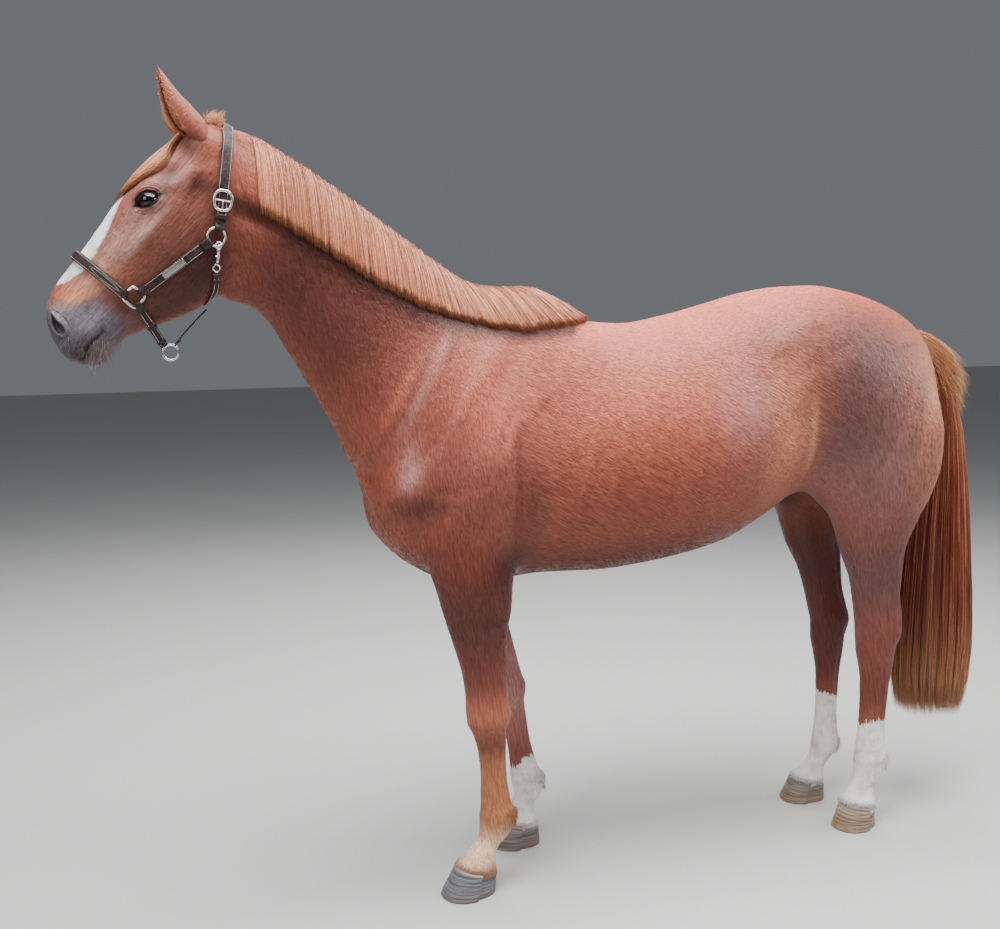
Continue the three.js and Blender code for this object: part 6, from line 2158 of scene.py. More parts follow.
def through(values, count):
    """A smooth path through points, sampled evenly."""
    values = np.asarray(values, float)
    padded = np.vstack([2 * values[0] - values[1], values, 2 * values[-1] - values[-2]])
    samples = []
    for i in range(len(values) - 1):
        p0, p1, p2, p3 = padded[i:i + 4]
        for t in np.linspace(0, 1, 13)[:-1]:
            samples.append(0.5 * (2 * p1 + (p2 - p0) * t + (2 * p0 - 5 * p1 + 4 * p2 - p3) * t ** 2
                                  + (3 * p1 - p0 - 3 * p2 + p3) * t ** 3))
    samples.append(values[-1])
    return resampled(np.array(samples), count)


class StrapPath:
    """The middle line of a strap, with the directions out of it and across it."""

    def __init__(self, stops, step=5.0):
        at, out = solved(stops)
        length = np.linalg.norm(np.diff(at, axis=0), axis=1).sum()
        self.count = max(int(length / step), 4)
        self.at = through(at, self.count)
        self.length = np.linalg.norm(np.diff(self.at, axis=0), axis=1).sum()
        raw = through(np.hstack([at, out]), 400)
        nearest = [np.argmin(np.linalg.norm(raw[:, :3] - p, axis=1)) for p in self.at]
        out = raw[nearest, 3:]
        self.along = unit_rows(np.gradient(self.at, axis=0))
        self.across = unit_rows(np.cross(self.along, out))
        self.out = np.cross(self.across, self.along)

    def at_share(self, share):
        place = np.clip(share, 0, 1) * (self.count - 1)
        return [np.stack([np.interp(place, np.arange(self.count), v[:, k]) for k in range(3)], -1)
                for v in (self.at, self.along, self.across, self.out)]


def strap_section(width, thickness, crown):
    """Half the outline of a strap across: rounded edges and a slightly raised middle."""
    half, edge = width / 2, min(thickness * 0.35, 1.4)
    top = [(-half + edge, 0), (-half, edge), (-half, thickness - edge),
           (-half + edge * 0.5, thickness - edge * 0.3), (-half + edge * 1.4, thickness)]
    middle = [(w * half, thickness + crown * math.cos(w * math.pi / 2) ** 0.8)
              for w in (-0.62, -0.3, 0, 0.3, 0.62)]
    right = [(-w, h) for w, h in top[::-1]]
    return np.array(top + middle + right)


def pointed(left, point):
    """How much of its width a strap keeps at a distance from its pointed end."""
    if point <= 0 or left >= point:
        return 1
    return max(math.sqrt(max(1 - (1 - left / point) ** 2, 0)), 0.12)


def strap_mesh(path, width, thickness, lift, crown=0.5, point=0.0, start=0.0, end=1.0):
    """A leather strap; its end narrows to a point over the given length."""
    share = np.linspace(start, end, path.count)
    at, _, across, out = path.at_share(share)
    section = strap_section(width, thickness, crown)
    rings = []
    for i in range(path.count):
        narrow = pointed((end - share[i]) * path.length, point)
        rings.append(at[i] + across[i] * section[:, :1] * narrow
                     + out[i] * (lift + section[:, 1:]))
    return ring_mesh(np.array(rings))


def stitch_row(path, offset, height, start=0.0, end=1.0, bend=None):
    """Small stitches along a strap, at a distance from its middle line."""
    number = max(int(path.length * (end - start) / STITCH_STEP), 1)
    share = start + (np.arange(number) + 0.5) / number * (end - start)
    at, along, across, out = path.at_share(share)
    sideways = np.full(number, float(offset)) if bend is None else bend(np.linspace(0, 1, number))
    centre = at + across * sideways[:, None] + out * height
    turn = np.arange(6) / 6 * 2 * np.pi
    meshes = []
    for c, a, w, o in zip(centre, along, across, out):
        rings = [c + a * s + w * np.cos(turn)[:, None] * r * 1.15
                 + o * np.sin(turn)[:, None] * r * 0.9 for s, r in STITCH_PROFILE]
        meshes.append(ring_mesh(np.array(rings)))
    return meshes


def tube_mesh(path, radius, around=12, closed=False, flat=1.0, out=None):
    """A rod of metal along a path; a flat factor under 1 presses it thinner one way."""
    path = np.asarray(path, float)
    count = len(path)
    if closed:
        along = unit_rows(np.roll(path, -1, 0) - np.roll(path, 1, 0))
    else:
        along = unit_rows(np.gradient(path, axis=0))
    out = np.tile(np.asarray(out, float), (count, 1)) if np.ndim(out) == 1 else out
    side = unit_rows(np.cross(along, out))
    up = np.cross(side, along)
    turn = np.arange(around) / around * 2 * np.pi
    radius = np.broadcast_to(radius, count)
    rings = (path[:, None] + side[:, None] * (np.cos(turn)[:, None] * radius[:, None, None])
             + up[:, None] * (np.sin(turn)[:, None] * radius[:, None, None] * flat))
    return closed_rings(rings) if closed else ring_mesh(rings)


def ring_axes(out, along):
    """Directions of a ring's plane and out of it, from the way out and a rough way along."""
    z = out / np.linalg.norm(out)
    x = along - z * (along @ z)
    x /= np.linalg.norm(x)
    return x, np.cross(z, x), z


def frame_path(centre, out, along, half_long, half_wide, power, count=56):
    """A round or nearly square loop in the plane across `out`."""
    x, y, _ = ring_axes(out, along)
    angle = np.arange(count) / count * 2 * np.pi
    c, n = np.cos(angle), np.sin(angle)
    reach = 1 / (np.abs(c) ** power + np.abs(n) ** power) ** (1 / power)
    return centre + (c * reach)[:, None] * x * half_long + (n * reach)[:, None] * y * half_wide


FOLD_THICKNESS = 3.0


def fold_mesh(centre, out, towards, distance, width):
    """The end of a strap, folded round the wire of a ring and sewn down."""
    x, y, z = ring_axes(out, towards)
    middle = RING["raise"]
    reach = RING["wire"] + FOLD_THICKNESS * 0.55
    top = STRAP["lift"] + STRAP["thickness"] - middle
    profile = [(distance + 20, top + FOLD_THICKNESS * 0.2),
               (distance + 12, top + FOLD_THICKNESS * 0.45)]
    profile += [(distance + reach * math.cos(a), reach * math.sin(a))
                for a in np.radians([75, 105, 140, 180, 220, 255])]
    profile += [(distance + 8, -middle + 2.6), (distance + 18, -middle + 2.2)]
    flat = through([(r, h, 0) for r, h in profile], 30)[:, :2]
    tangent = unit_rows(np.gradient(flat, axis=0))
    normal = np.stack([-tangent[:, 1], tangent[:, 0]], 1)
    section = strap_section(width, FOLD_THICKNESS, 0.2) - np.array([0, FOLD_THICKNESS / 2])
    rings = []
    for (r, h), (nr, nh) in zip(flat, normal):
        rings.append(centre + x * (r + nr * section[:, 1:]) + z * (h + nh * section[:, 1:])
                     + y * section[:, :1])
    return ring_mesh(np.array(rings))


def ring_fold(place, side, path, share, distance, width):
    """The fold that holds a strap on the ring at a place of the cheek."""
    at, out = fitting_place(cheek_stop(*place, side))
    towards = path.at_share(np.array([share]))[0][0] - at
    return fold_mesh(at + out * RING["raise"], out, towards, distance, width)


def hole_discs(path, shares, height, radius, thickness):
    """Discs along a strap, at a height over it: for its holes, dark with painted shade, or rivets."""
    at, _, _, out = path.at_share(np.array(shares))
    return [disc_mesh(a + o * height, o, radius, thickness) for a, o in zip(at, out)]


def keeper_mesh(path, share, width, lift, thickness, length=11.0):
    """A band of leather round a strap."""
    at, along, across, out = (v[0] for v in path.at_share(np.array([share])))
    half, high = width / 2 + 1.8, thickness + 2.2
    loop = np.array([at + across * half * w + out * (lift + 0.2 + high * h)
                     for w, h in KEEPER_LOOP])
    middle = loop.mean(0)
    return ring_mesh(np.array([middle + (loop - middle) * scale + along * shift * length
                               for shift, scale in KEEPER_EDGES]))


def disc_mesh(centre, out, radius, height, around=14):
    """A small round disc with a rounded edge, such as a rivet or a hole."""
    x, y, z = ring_axes(out, HEAD_FRAME[1])
    turn = np.arange(around) / around * 2 * np.pi
    circle = np.cos(turn)[:, None] * x + np.sin(turn)[:, None] * y
    rings = [centre + circle * radius * r + z * h * height
             for r, h in DISC_PROFILE]
    return ring_mesh(np.array(rings))


def leather_material(name, worn):
    """Dark leather, worn paler in its creases."""
    m = Shader(name, Roughness=0.5, IOR=1.45, Specular_IOR_Level=0.38, Sheen_Weight=0.03)
    grain = m.node("ShaderNodeTexVoronoi", 0, None, Vector=m.place(), Scale=900)
    crease = m.noise(m.place(), scale=140, detail=4)
    blotch = m.noise(m.place(), scale=26, detail=3)
    colour = m.blend(m.ramp(blotch, 0.35, 0.68), linear(26, 17, 17), linear(48, 33, 32))
    colour = m.blend(m.ramp(crease, 0.52, 0.72, 0, worn), colour, linear(104, 88, 86))
    normal = m.bump(grain, 0.00035, 0.7)
    normal = m.bump(crease, 0.0006, 0.5, normal)
    return m.out(Base_Color=colour, Normal=normal, Roughness=m.ramp(blotch, 0.3, 0.7, 0.34, 0.55))


def metal_material(name, tint=(0.74, 0.73, 0.7)):
    """Metal with smears and fine scratches."""
    m = Shader(name, Metallic=1.0, Roughness=0.22)
    smear = m.noise(m.place(), scale=60, detail=4)
    scratch = m.noise(m.stretched(0, 0.02, 0.0012), detail=2)
    dull = tuple(v * 0.62 for v in tint)
    colour = m.blend(m.ramp(smear, 0.5, 0.75), (*tint, 1), (*dull, 1))
    normal = m.bump(scratch, 0.00012, 0.5)
    return m.out(Base_Color=colour, Normal=normal, Roughness=m.ramp(smear, 0.35, 0.7, 0.16, 0.36))


def thread_material():
    m = Shader("thread", Roughness=0.7)
    twist = m.noise(m.place(), scale=1500, detail=1)
    soil = m.noise(m.place(), scale=40, detail=3)
    colour = m.blend(m.ramp(soil, 0.4, 0.7), linear(226, 220, 210), linear(168, 156, 144))
    return m.out(Base_Color=colour, Normal=m.bump(twist, 0.0002, 0.6))


# Near black: the painted shade inside a strap's hole.
def hole_shade_material():
    m = Shader("hole_shade", Roughness=0.9)
    dust = m.noise(m.place(), scale=800)
    return m.out(Base_Color=m.blend(dust, linear(8, 6, 6), linear(20, 16, 14)))


LEATHER = leather_material("leather", 0.35)
METAL = metal_material("nickel")
THREAD = thread_material()
HOLE_SHADE = hole_shade_material()


def add_fitting(name, meshes, material, slot, *nodes):
    """Joins meshes of the halter into one piece."""
    piece = mesh_object(name, *join(meshes))
    piece.data.materials.append(material)
    if nodes:
        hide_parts(*nodes)
    return piece


def edge_stitches(path, width, top, start=0.0, end=1.0):
    """A row of stitches along each edge of a strap."""
    inset = width / 2 - 2.6
    return (stitch_row(path, -inset, top, start, end) + stitch_row(path, inset, top, start, end))


def add_crown(stitches, holes):
    """The strap over the poll, with a lap of doubled leather and a buckle on each side."""
    path = StrapPath([crown_stop(a) for a in np.linspace(-CROWN_REACH, CROWN_REACH, 25)])
    width, thick, lift = STRAP["crown"], STRAP["thickness"], STRAP["lift"]
    lap = width - 3
    parts = [strap_mesh(path, width, thick, lift, start=0.055, end=0.945)]
    stitches += edge_stitches(path, width, lift + thick + 0.15, 0.06, 0.94)
    for side in (1, -1):
        under = StrapPath([crown_stop(a * side) for a in np.linspace(112, 146, 8)])
        parts.append(strap_mesh(under, lap, 3.2, lift + thick + 1.2, point=16))
        stitches += edge_stitches(under, lap, lift + thick + 4.7, 0.1, 0.72)
        parts.append(keeper_mesh(under, 0.72, lap, lift + 0.5, thick + 4.5))
        parts.append(ring_fold(ROUND_PLACE, side, under, 0.8, RING["round"], width - 4))
        holes += hole_discs(under, [0.1, 0.26, 0.6], lift + thick + 4.55, 1.9, 0.35)
        more = StrapPath([crown_stop(a * side) for a in np.linspace(60, 112, 9)])
        holes += hole_discs(more, np.linspace(0.25, 0.95, 4), lift + thick + 0.35, 1.9, 0.35)
    add_fitting("crown_leather", parts, LEATHER, "leather", "crown_strap")
    for side, word in ((-1, "left"), (1, "right")):
        at, out = fitting_place(crown_stop(BUCKLE_ANGLE * side))
        centre = at + out * (RING["raise"] + thick)
        loop = frame_path(centre, out, CROWN_RAY, RING["buckle"] + 2.5, RING["buckle"], 2.6)
        x, y, z = ring_axes(out, CROWN_RAY)
        bar = tube_mesh(np.linspace(centre - y * 20, centre + y * 20, 8), 1.7, 10, out=z)
        tongue_path = np.linspace(centre + z * 1.5, centre - x * (RING["buckle"] + 1.5) + z * 3, 10)
        tongue = tube_mesh(tongue_path, np.linspace(2.2, 1.3, 10), 10, flat=0.7, out=z)
        wire = tube_mesh(loop, RING["wire"] + 0.5, 14, True, 0.8, z)
        add_fitting("crown_buckle_frame_" + word, [wire, bar, tongue], METAL, "metal",
                    "crown_buckle_" + word)


def add_nose(stitches):
    """The padded noseband, with two rows of waved stitches on each side."""
    path = StrapPath([round_stop(NOSE_PLACE, a) for a in np.linspace(-NOSE_REACH, NOSE_REACH, 21)])
    width, padded, lift = STRAP["width"], STRAP["padded"], STRAP["lift"]
    outer = strap_mesh(path, width, 3.6, lift + padded - 3.6, 0.6, 0.0, 0.03, 0.97)
    pad = strap_mesh(path, width + 2.5, padded - 3.4, lift - 0.8, 0.1, 0.0, 0.03, 0.97)
    top = lift + padded + 0.15
    stitches += edge_stitches(path, width, top, 0.035, 0.965)
    for start, end in ((0.06, 0.3), (0.7, 0.94)):
        for sign in (-1, 1):
            stitches += stitch_row(path, 0, top + 0.35, start, end,
                                   lambda t, k=sign: k * 5.2 * np.sin(np.pi * t) ** 0.7)
    parts = [outer, pad]
    for side in (-1, 1):
        at, out = fitting_place(cheek_stop(*SQUARE_PLACE, side))
        towards = path.at[4 if side < 0 else -5] - at
        parts.append(fold_mesh(at + out * RING["raise"], out, towards, RING["square"], width - 1))
    add_fitting("nose_leather", parts, LEATHER, "leather", "noseband")


def add_cheeks(stitches, holes):
    """On each side, the cheek strap between its two rings and the strap down to the chin."""
    width, thick, lift = STRAP["width"], STRAP["thickness"], STRAP["lift"]
    for side, word in ((-1, "left"), (1, "right")):
        path = StrapPath([cheek_strap_stop(t, side) for t in np.linspace(0, 1, 9)])
        parts = [strap_mesh(path, width, thick, lift, start=0.13, end=0.9)]
        stitches += edge_stitches(path, width, lift + thick + 0.15, 0.16, 0.87)
        parts.append(ring_fold(ROUND_PLACE, side, path, 0.3, RING["round"], width - 1.5))
        parts.append(ring_fold(SQUARE_PLACE, side, path, 0.7, RING["square"], width - 1.5))
        add_fitting("cheek_leather_" + word, parts, LEATHER, "leather", "cheek_strap_" + word)
        chin = StrapPath([cheek_stop(340, -72, side), cheek_stop(353, -110, side),
                          air_stop(362, 40 * side, -140, (0, side, 0)),
                          air_stop(371, 17 * side, -168, (0, side, 0)),
                          air_stop(379, 6 * side, -192, (0, side, 0))])
        narrow = STRAP["narrow"] + 3
        parts = [strap_mesh(chin, narrow, STRAP["thin"], lift, start=0.12, end=1.0)]
        stitches += edge_stitches(chin, narrow, lift + STRAP["thin"] + 0.2, 0.15, 0.96)
        parts.append(keeper_mesh(chin, 0.52, narrow, lift, STRAP["thin"]))
        parts.append(keeper_mesh(chin, 0.9, narrow, lift, STRAP["thin"], 9.0))
        parts.append(ring_fold(SQUARE_PLACE, side, chin, 0.35, RING["square"], narrow))
        holes += hole_discs(chin, [0.62, 0.72, 0.82], lift + STRAP["thin"] + 0.5, 1.6, 0.3)
        add_fitting("chin_leather_" + word, parts, LEATHER, "leather", "chin_strap_" + word)


def add_throat(stitches):
    """The throat strap under the jaw, and the short strap from it forward to the chin ring."""
    stops = [cheek_stop(166, -168, -1), cheek_stop(190, -190, -1), round_stop(217, -167),
             round_stop(232, 180), round_stop(217, 167), cheek_stop(190, -190, 1),
             cheek_stop(110, -124, 1)]
    path = StrapPath(stops)
    narrow, thick, lift = STRAP["narrow"], STRAP["thickness"], STRAP["lift"]
    parts = [strap_mesh(path, narrow, thick, lift, end=0.93)]
    stitches += edge_stitches(path, narrow, lift + thick + 0.15, 0.04, 0.9)
    parts.append(keeper_mesh(path, 0.07, narrow, lift, thick, 8.0))
    parts.append(keeper_mesh(path, 0.47, narrow, lift, thick, 8.0))
    parts.append(ring_fold(ROUND_PLACE, 1, path, 0.86, RING["round"], narrow))
    add_fitting("throat_leather", parts, LEATHER, "leather", "throat_strap")
    down = -HEAD_FRAME[2]
    end = CHIN_PLACE[0] - RING["chin"] - RING["wire"] - 1
    jaw = StrapPath([air_stop(s, 0, d, down)
                     for s, d in ((243, -210), (280, -208), (320, -207), (end, -209))])
    parts = [strap_mesh(jaw, narrow - 3, STRAP["thin"], 0.0),
             keeper_mesh(jaw, 0.9, narrow - 3, 0.0, STRAP["thin"], 8.0)]
    stitches += edge_stitches(jaw, narrow - 3, STRAP["thin"] + 0.2, 0.05, 0.95)
    add_fitting("jaw_leather", parts, LEATHER, "leather", "jaw_strap")


def add_rings():
    """The metal rings: a round and a square one on each cheek, and one under the chin."""
    for side, word in ((-1, "left"), (1, "right")):
        at, out = fitting_place(cheek_stop(*ROUND_PLACE, side))
        loop = frame_path(at + out * RING["raise"], out, HEAD_FRAME[1], RING["round"],
                          RING["round"], 2)
        add_fitting("round_wire_" + word, [tube_mesh(loop, RING["wire"], 14, True, 1.0, out)],
                    METAL, "metal", "round_ring_" + word)
        at, out = fitting_place(cheek_stop(*SQUARE_PLACE, side))
        half = RING["square"]
        loop = frame_path(at + out * RING["raise"], out, HEAD_FRAME[1], half, half, 5.5)
        add_fitting("square_wire_" + word, [tube_mesh(loop, RING["wire"] + 0.5, 12, True, 0.85, out)],
                    METAL, "metal", "square_ring_" + word)
    centre = from_head(CHIN_PLACE[0], 0.0, float(CHIN_PLACE[1]))
    across = np.array([0, 1.0, 0])
    loop = frame_path(centre, across, HEAD_FRAME[1], RING["chin"], RING["chin"], 2)
    add_fitting("chin_wire", [tube_mesh(loop, RING["wire"], 14, True, 1.0, across)],
                METAL, "metal", "chin_ring")


def add_left_fittings():
    """What only the near side has: the throat strap's snap and loop, and the name plate."""
    snap = StrapPath([cheek_stop(116, -133, -1), cheek_stop(132, -145, -1),
                      cheek_stop(146, -154, -1)], 2.0)
    at, along, across, out = snap.at_share(np.linspace(0, 1, 24))
    share = np.linspace(0, 1, 24)
    radius = 4.6 - 1.7 * gauss((share - 0.42) / 0.05) + 0.7 * gauss((share - 0.5) / 0.04)
    radius -= 2.2 * smoothstep(0.86, 1.0, share) + 1.6 * smoothstep(0.14, 0.0, share)
    barrel = tube_mesh(at + out * 6.0, radius, 16, out=out[0])
    knob_from = at[13] + out[13] * 8.5 + across[13] * 2.0
    knob = tube_mesh(np.linspace(knob_from, knob_from + across[13] * 6, 8),
                     np.array([1.6, 1.6, 1.6, 1.8, 2.2, 2.4, 2.2, 1.2]), 10, out=along[13])
    hook_middle = at[0] + out[0] * 6.2 - along[0] * 5.0
    hook_loop = frame_path(hook_middle, out[0], along[0], 8.5, 6.5, 2.2, 40)[4:38]
    hook = tube_mesh(hook_loop, 2.1, 10, out=out[0])
    add_fitting("throat_snap_body", [barrel, knob, hook], METAL, "metal", "throat_snap")
    at, out = fitting_place(cheek_stop(156, -161, -1))
    loop = frame_path(at + out * (RING["raise"] - RING["wire"] / 2), out, HEAD_FRAME[1], 8.0, 8.0, 4)
    add_fitting("throat_loop_wire", [tube_mesh(loop, 1.8, 10, True, 1.0, out)], METAL, "metal",
                "throat_loop")
    path = StrapPath([cheek_strap_stop(t, -1) for t in (0.38, 0.47, 0.56, 0.66)], 2.5)
    lift = STRAP["lift"] + STRAP["thickness"] + 0.4
    parts = [strap_mesh(path, 14, 1.5, lift, crown=0.25)]
    parts += hole_discs(path, [0.045, 0.955], lift + 1.7, 1.7, 0.6)
    add_fitting("name_plate_metal", parts, metal_material("plate", (0.36, 0.33, 0.29)), "metal",
                "name_plate")


stitches, holes = [], []
add_crown(stitches, holes)
add_nose(stitches)
add_cheeks(stitches, holes)
add_throat(stitches)
add_rings()
add_left_fittings()
add_fitting("stitching", stitches, THREAD, None)
add_fitting("strap_hole_shade", holes, HOLE_SHADE, None)


# ---------------------------------------------------------------- tufts of the short coat
TUFTS = 100000
TUFTS_PER_PIECE = 48000
TUFTS_ABOVE = 62
TUFT_ROOT = -0.25
TUFT_FACES = np.array([[0, 1, 2], [0, 2, 3], [1, 3, 2], [0, 3, 1]])
TUFT_CHART = np.array([[0, 0], [1, 0], [0.5, 0.5], [0.5, 1]])
# Painted shade at each tuft's two root corners, and a little painted highlight at its tip.
TUFT_TONES = np.array([0.9, 0.9, 1, 1.06])
# Length, width and lift of the tips, in millimetres, from the body down to the face and feet.
TUFT_BODY, TUFT_LEG, TUFT_FACE = (15.0, 2.6, 1.1), (9.0, 2.0, 0.8), (6.5, 1.5, 0.5)


def tuft_sizes(points):
    """Length, width and lift of the tufts at points."""
    face = smoothstep(-900, -1050, points[:, 0])[:, None]
    leg = smoothstep(800, 520, points[:, 2])[:, None] * (1 - face)
    size = np.array(TUFT_BODY) * (1 - face - leg) + np.array(TUFT_LEG) * leg
    return size + np.array(TUFT_FACE) * face


def swirl(points, cell):
    """A gentle turning of the lie from place to place, between -1 and 1."""
    x, y, z = (points / cell).T
    return (np.sin(x * 1.3 + 2.1 * np.sin(z * 0.7)) * np.cos(z * 1.1 + 1.7 * np.sin(y * 0.9))
            + 0.5 * np.sin(x * 2.9 - z * 2.3 + y)) / 1.5


def ear_lie(points):
    """Hair on the ears points to their tips; elsewhere this is nothing."""
    lie, on_ear = np.zeros((len(points), 3)), np.zeros(len(points), bool)
    for side in (-1, 1):
        base, axis, length, _, _ = ear_axes(side)
        along = (points - base) @ axis
        off = np.linalg.norm(points - base - along[:, None] * axis, axis=1)
        mine = (along > 4) & (along < length + 10) & (off < 52) & (points[:, 2] > 1975)
        lie[mine] = axis
        on_ear |= mine
    return lie, on_ear


def tuft_roots(rng, count):
    """Places spread evenly over the coat, with the way out of the skin."""
    points, faces = join([(SKIN_POINTS, SKIN_FACES), ear_shell(-1), ear_shell(1)])
    normals = point_normals(points, faces)
    a, b, c = (points[faces[:, k]] for k in range(3))
    area = np.linalg.norm(np.cross(b - a, c - a), axis=1)
    x, _, z = ((a + b + c) / 3).T
    dense = 1 + 1.6 * smoothstep(-900, -1000, x) + 0.5 * smoothstep(700, 400, z)
    weight = np.cumsum(area * dense * (z > TUFTS_ABOVE))
    chosen = np.searchsorted(weight, rng.random(count) * weight[-1])
    u, v = rng.random((2, count, 1))
    u, v = np.where(u + v > 1, 1 - u, u), np.where(u + v > 1, 1 - v, v)
    place = a[chosen] + u * (b - a)[chosen] + v * (c - a)[chosen]
    n = [normals[faces[chosen, k]] for k in range(3)]
    normal = unit_rows(n[0] + u * (n[1] - n[0]) + v * (n[2] - n[0]))
    kept = (bareness(place) < 0.35) & ~under_patch(place)
    return place[kept], normal[kept]


def under_patch(points):
    """True for points that the patches of the eyes and nostrils cover."""
    hidden = np.zeros(len(points), bool)
    for side in (-1, 1):
        for frame_, (long_half, short_half) in ((eye_frame(side), LID["outer"]),
                                                (nostril_frame(side), NOSTRIL["outer"])):
            flat, height = frame_.flatten(points)
            inside = np.hypot(flat[:, 0] / long_half, flat[:, 1] / short_half) < 1
            hidden |= inside & (np.abs(height) < 45)
    return hidden


def add_tufts(rng, material):
    """The short coat: small tufts, each a long pyramid that lies on the skin."""
    place, normal = tuft_roots(rng, fewer(TUFTS))
    sizes = tuft_sizes(place) * rng.uniform(0.7, 1.25, (len(place), 1))
    length, width, lift = sizes.T[:, :, None]
    lie = unit_rows(hair_lie(place))
    on_ear_lie, on_ear = ear_lie(place)
    lie = np.where(on_ear[:, None], on_ear_lie, lie)
    shrink = np.where(on_ear, 0.55, 1.0)[:, None]
    side = unit_rows(np.cross(normal, lie))
    turned = lie + side * (0.2 * swirl(place, 90) + 0.1 * rng.normal(size=len(place)))[:, None]
    lie = laid(turned, normal)
    side = np.cross(normal, lie)
    root = place + normal * TUFT_ROOT
    half = side * width * 0.5 * shrink
    ridge = place + lie * length * 0.34 * shrink + normal * lift * 0.75
    tip = place + lie * length * shrink + normal * (lift * rng.uniform(0.25, 1.0, lift.shape))
    points = np.stack([root - half, root + half, ridge, tip], 1)
    faces = facing_out(points[0], TUFT_FACES)
    shade = np.clip(rng.normal(1.02, 0.1, len(place)), 0.7, 1.35)
    shade = shade * (1 + 0.06 * swirl(place, 45))
    shading = np.stack([normal - side * 0.3 - lie * 0.1, normal + side * 0.3 - lie * 0.1,
                        normal, normal + lie * 0.25], 1)
    uv = chart(place)[:, None] + TUFT_CHART * UV_PATCH
    order = np.argsort(place[:, 0], kind="stable")
    for number, start in enumerate(range(0, len(place), TUFTS_PER_PIECE)):
        part = order[start:start + TUFTS_PER_PIECE]
        piece = mesh_object("coat_tufts_%d" % number, points[part].reshape(-1, 3),
                            repeated(faces, len(part), 4))
        paint_coat(piece, np.repeat(place[part], 4, axis=0))
        set_float(piece, "shade", (shade[part][:, None] * TUFT_TONES).ravel())
        shade_like(piece, unit_rows(shading[part]).reshape(-1, 3))
        add_uv(piece, uv[part].reshape(-1, 2))
        piece.data.materials.append(material)


# ---------------------------------------------------------------- finer hairs
# Numbers of hairs: at each edge of an ear, at the poll, over each eye, and on each leg.
EAR_HAIRS, POLL_HAIRS, LASHES, CORONET_HAIRS, FETLOCK_HAIRS = 420, 620, 70, 900, 260
# Groups of whiskers: places along the head and up from its middle line, number, and lengths.
WHISKERS = [(470, 528, -50, -8, 26, 14, 34), (440, 515, -104, -70, 40, 14, 30),
            (470, 525, -112, -98, 34, 16, 34)]


def curved_paths(root, along, outwards, length, droop, steps):
    """Paths that leave a root outwards and bend over to the given direction."""
    t = np.linspace(0, 1, steps)[None, :, None]
    length = np.broadcast_to(np.asarray(length, float), len(root))[:, None, None]
    return (root[:, None] + outwards[:, None] * length * (1 - droop) * np.sin(t * 1.2)
            + along[:, None] * length * (t * (1 - droop) * 0.5 + droop * t ** 1.2))


def flat_out(normal, steps):
    """The same outward direction for each point of a path."""
    return np.repeat(normal[:, None], steps, axis=1)


def add_ear_hair(rng, material):
    """Pale hairs from the front edge of each ear and out of its hollow."""
    paths, outs = [], []
    steps = 6
    for side in (-1, 1):
        _, axis, _, across, opening = ear_axes(side)
        for edge in (-1, 1):
            count = fewer(EAR_HAIRS)
            share = rng.beta(1.0, 1.35, count) * 0.92
            shift = rng.uniform(0.80, 1.0, count)
            root = np.array([ear_arc(side, s, COAT_DEPTH * 0.5 + 1.2, np.array([edge * k]))[0]
                             for s, k in zip(share, shift)])
            inwards = -edge * across
            lean = opening * rng.uniform(0.5, 1.0, (count, 1))
            lean = lean + inwards * rng.uniform(-0.15, 0.55, (count, 1))
            size = rng.uniform(11, 24, count) * (1.1 - 0.75 * share)
            rise = np.tile(axis, (count, 1)) + rng.normal(0, 0.14, (count, 3))
            paths.append(curved_paths(root, unit_rows(rise), unit_rows(lean), size, 0.62, steps))
            outs.append(flat_out(np.tile(-opening, (count, 1)), steps))
    paths, outs = np.concatenate(paths), np.concatenate(outs)
    colours = blend_colours(rng, len(paths), FORELOCK_COLOURS, 0.1)
    piece = add_strands("ear_hair", paths, outs, rng.uniform(0.7, 1.2, len(paths)), colours,
                        material)


def add_poll_hair(rng, material):
    """The frizz of short mane behind the ears, and the clipped bridle path."""
    steps = 7
    count = fewer(POLL_HAIRS)
    s = rng.uniform(-102, -68, count)
    angle = np.radians(rng.normal(-4, 13, count))
    ray = (HEAD_FRAME[2] * np.cos(angle)[:, None] - HEAD_FRAME[1] * 0.35
           + np.array([0, 1.0, 0]) * np.sin(angle)[:, None])
    root = outward(from_head(s, 0.0, -10.0), unit_rows(ray), -1.0)
    normal = field_normal(root)
    back = unit_rows(np.array([0.8, 0, 0.25]) + rng.normal(0, 0.34, (count, 3)))
    size = rng.uniform(12, 34, count)
    paths = curved_paths(root, back, normal, size, 0.34, steps)
    t = np.linspace(0, 1, steps)
    curl = rng.normal(0, 2.6, (count, 1, 3))
    wave = np.sin(t * 8 + rng.uniform(0, 6, (count, 1)))
    paths = paths + curl * (wave * t)[:, :, None]
    colours = blend_colours(rng, count, TAIL_PALE, 0.1)
    piece = add_strands("poll_hair", paths, flat_out(normal, steps),
                        rng.uniform(0.9, 1.5, count), colours, material)


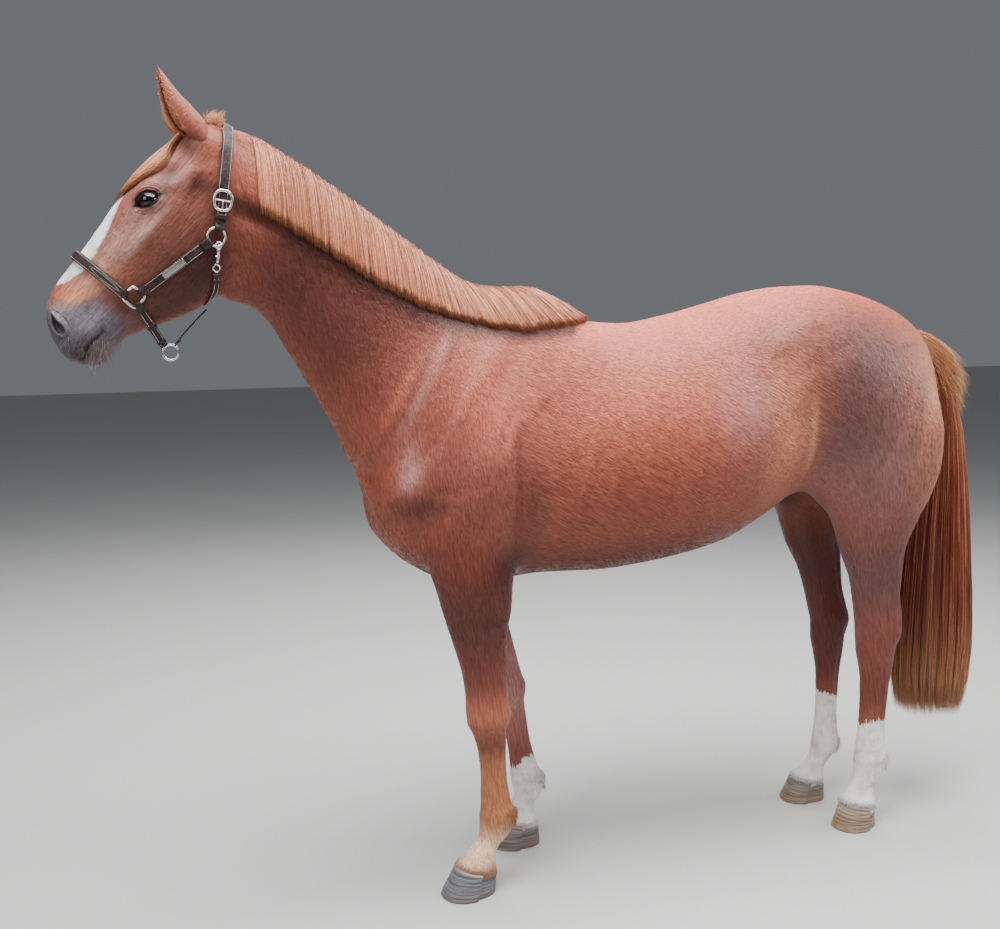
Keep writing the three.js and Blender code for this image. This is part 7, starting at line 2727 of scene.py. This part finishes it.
def add_whiskers(rng, material):
    """Long hairs of the lips and chin."""
    groups = []
    for side in (-1, 1):
        for low_s, high_s, low_d, high_d, count, short, long in WHISKERS:
            s = rng.uniform(low_s, high_s, count)
            d = rng.uniform(low_d, high_d, count)
            y = rng.uniform(0.15, 1.0, count) * side
            ray = HEAD_FRAME[2] * ((d + 40) / 70)[:, None] + np.array([0, 1.0, 0]) * y[:, None]
            root = outward(from_head(s, 0.0, -40.0), unit_rows(ray), -COAT_DEPTH - 0.4)
            normal = field_normal(root)
            fall = HEAD_FRAME[1] * 0.5 + np.array([0, 0, -0.7]) + rng.normal(0, 0.22, (count, 3))
            groups.append((root, normal, fall, rng.uniform(short, long, count)))
    root, normal, fall, size = (np.concatenate(group) for group in zip(*groups))
    paths = curved_paths(root, unit_rows(fall), normal, size, 0.42, 6)
    tones = [linear(60, 48, 48), linear(150, 130, 120), linear(36, 30, 32), linear(190, 170, 154)]
    piece = add_strands("whiskers", paths, flat_out(normal, 6), rng.uniform(0.45, 0.7, len(root)),
                        blend_colours(rng, len(root), tones, 0.1), material)


def add_lashes(rng, material):
    """The lashes of the upper lids, hanging forward over the eyes."""
    paths, outs = [], []
    for side in (-1, 1):
        lids = eye_frame(side)
        opening = lid_opening(LID_POINTS)
        upper = opening[opening[:, 1] > 2]
        upper = upper[np.argsort(upper[:, 0])]
        pick = rng.uniform(0.12, 0.98, LASHES) * (len(upper) - 1)
        flat = np.stack([np.interp(pick, np.arange(len(upper)), upper[:, k]) for k in (0, 1)], 1)
        ball = np.sqrt(np.maximum(EYE_RADIUS ** 2 - (flat ** 2).sum(1), 9.0))
        root = lids.at(flat, ball + 2.0)
        lean = lids.normal - lids.v * 0.35 + lids.u * rng.uniform(-0.3, 0.3, (LASHES, 1))
        droop = lids.normal * 0.5 - lids.v * 0.75 + lids.u * rng.uniform(-0.35, 0.35, (LASHES, 1))
        size = rng.uniform(8, 15, LASHES)
        paths.append(curved_paths(root, unit_rows(droop), unit_rows(lean), size, 0.5, 5))
        outs.append(np.tile(lids.v, (LASHES, 5, 1)))
    paths, outs = np.concatenate(paths), np.concatenate(outs)
    colours = blend_colours(rng, len(paths), [linear(30, 20, 20), linear(70, 48, 40)], 0.1)
    piece = add_strands("eyelashes", paths, outs, rng.uniform(0.5, 0.75, len(paths)), colours,
                        material)


def add_feather(rng, material):
    """The fringe over each hoof and the tuft behind each fetlock."""
    paths, outs, tones = [], [], []
    steps = 5
    for name in LEGS:
        joints = np.array(LEGS[name][0], float)
        for kind in ("coronet", "fetlock"):
            if kind == "coronet":
                count = fewer(CORONET_HAIRS)
                angle = rng.uniform(0, 2 * np.pi, count)
                centre = np.tile(joints[4] + (0, 0, -3), (count, 1))
                centre[:, 2] -= CORONET_SLOPE * 42 * np.cos(angle) - rng.uniform(-4, 7, count)
                size, droop = rng.uniform(8, 15, count), 0.9
            else:
                count = fewer(FETLOCK_HAIRS)
                angle = rng.normal(0, 0.5, count)
                centre = np.tile(joints[3], (count, 1))
                centre[:, 2] += rng.uniform(-26, 20, count)
                size, droop = rng.uniform(12, 24, count), 0.82
            ray = np.stack([np.cos(angle), np.sin(angle), np.zeros(count)], 1)
            root = outward(centre, ray, -COAT_DEPTH - 0.3)
            normal = field_normal(root)
            fall = np.array([0.1, 0, -1.0]) + rng.normal(0, 0.1, (count, 3))
            fall = laid(fall, normal) + normal * (0.12 if kind == "coronet" else 0.25)
            paths.append(curved_paths(root, unit_rows(fall), normal, size, droop, steps))
            outs.append(flat_out(normal, steps))
            tone = coat_tone(root)
            white = smoothstep(0.0, 0.006, sock_distance(root))[:, None]
            tone = tone * (1 - white) + np.array(WHITE) * 0.92 * white
            tones.append(tone * rng.normal(1, 0.08, (count, 1)))
    paths, outs, tones = (np.concatenate(group) for group in (paths, outs, tones))
    piece = add_strands("leg_fringes", paths, outs, rng.uniform(1.0, 1.9, len(paths)), tones,
                        material)


rng = np.random.default_rng(23)
add_tufts(rng, coat_material("tufts", False))
add_ear_hair(rng, HAIR)
add_poll_hair(rng, HAIR)
add_whiskers(rng, HAIR)
add_lashes(rng, HAIR)
add_feather(rng, HAIR)
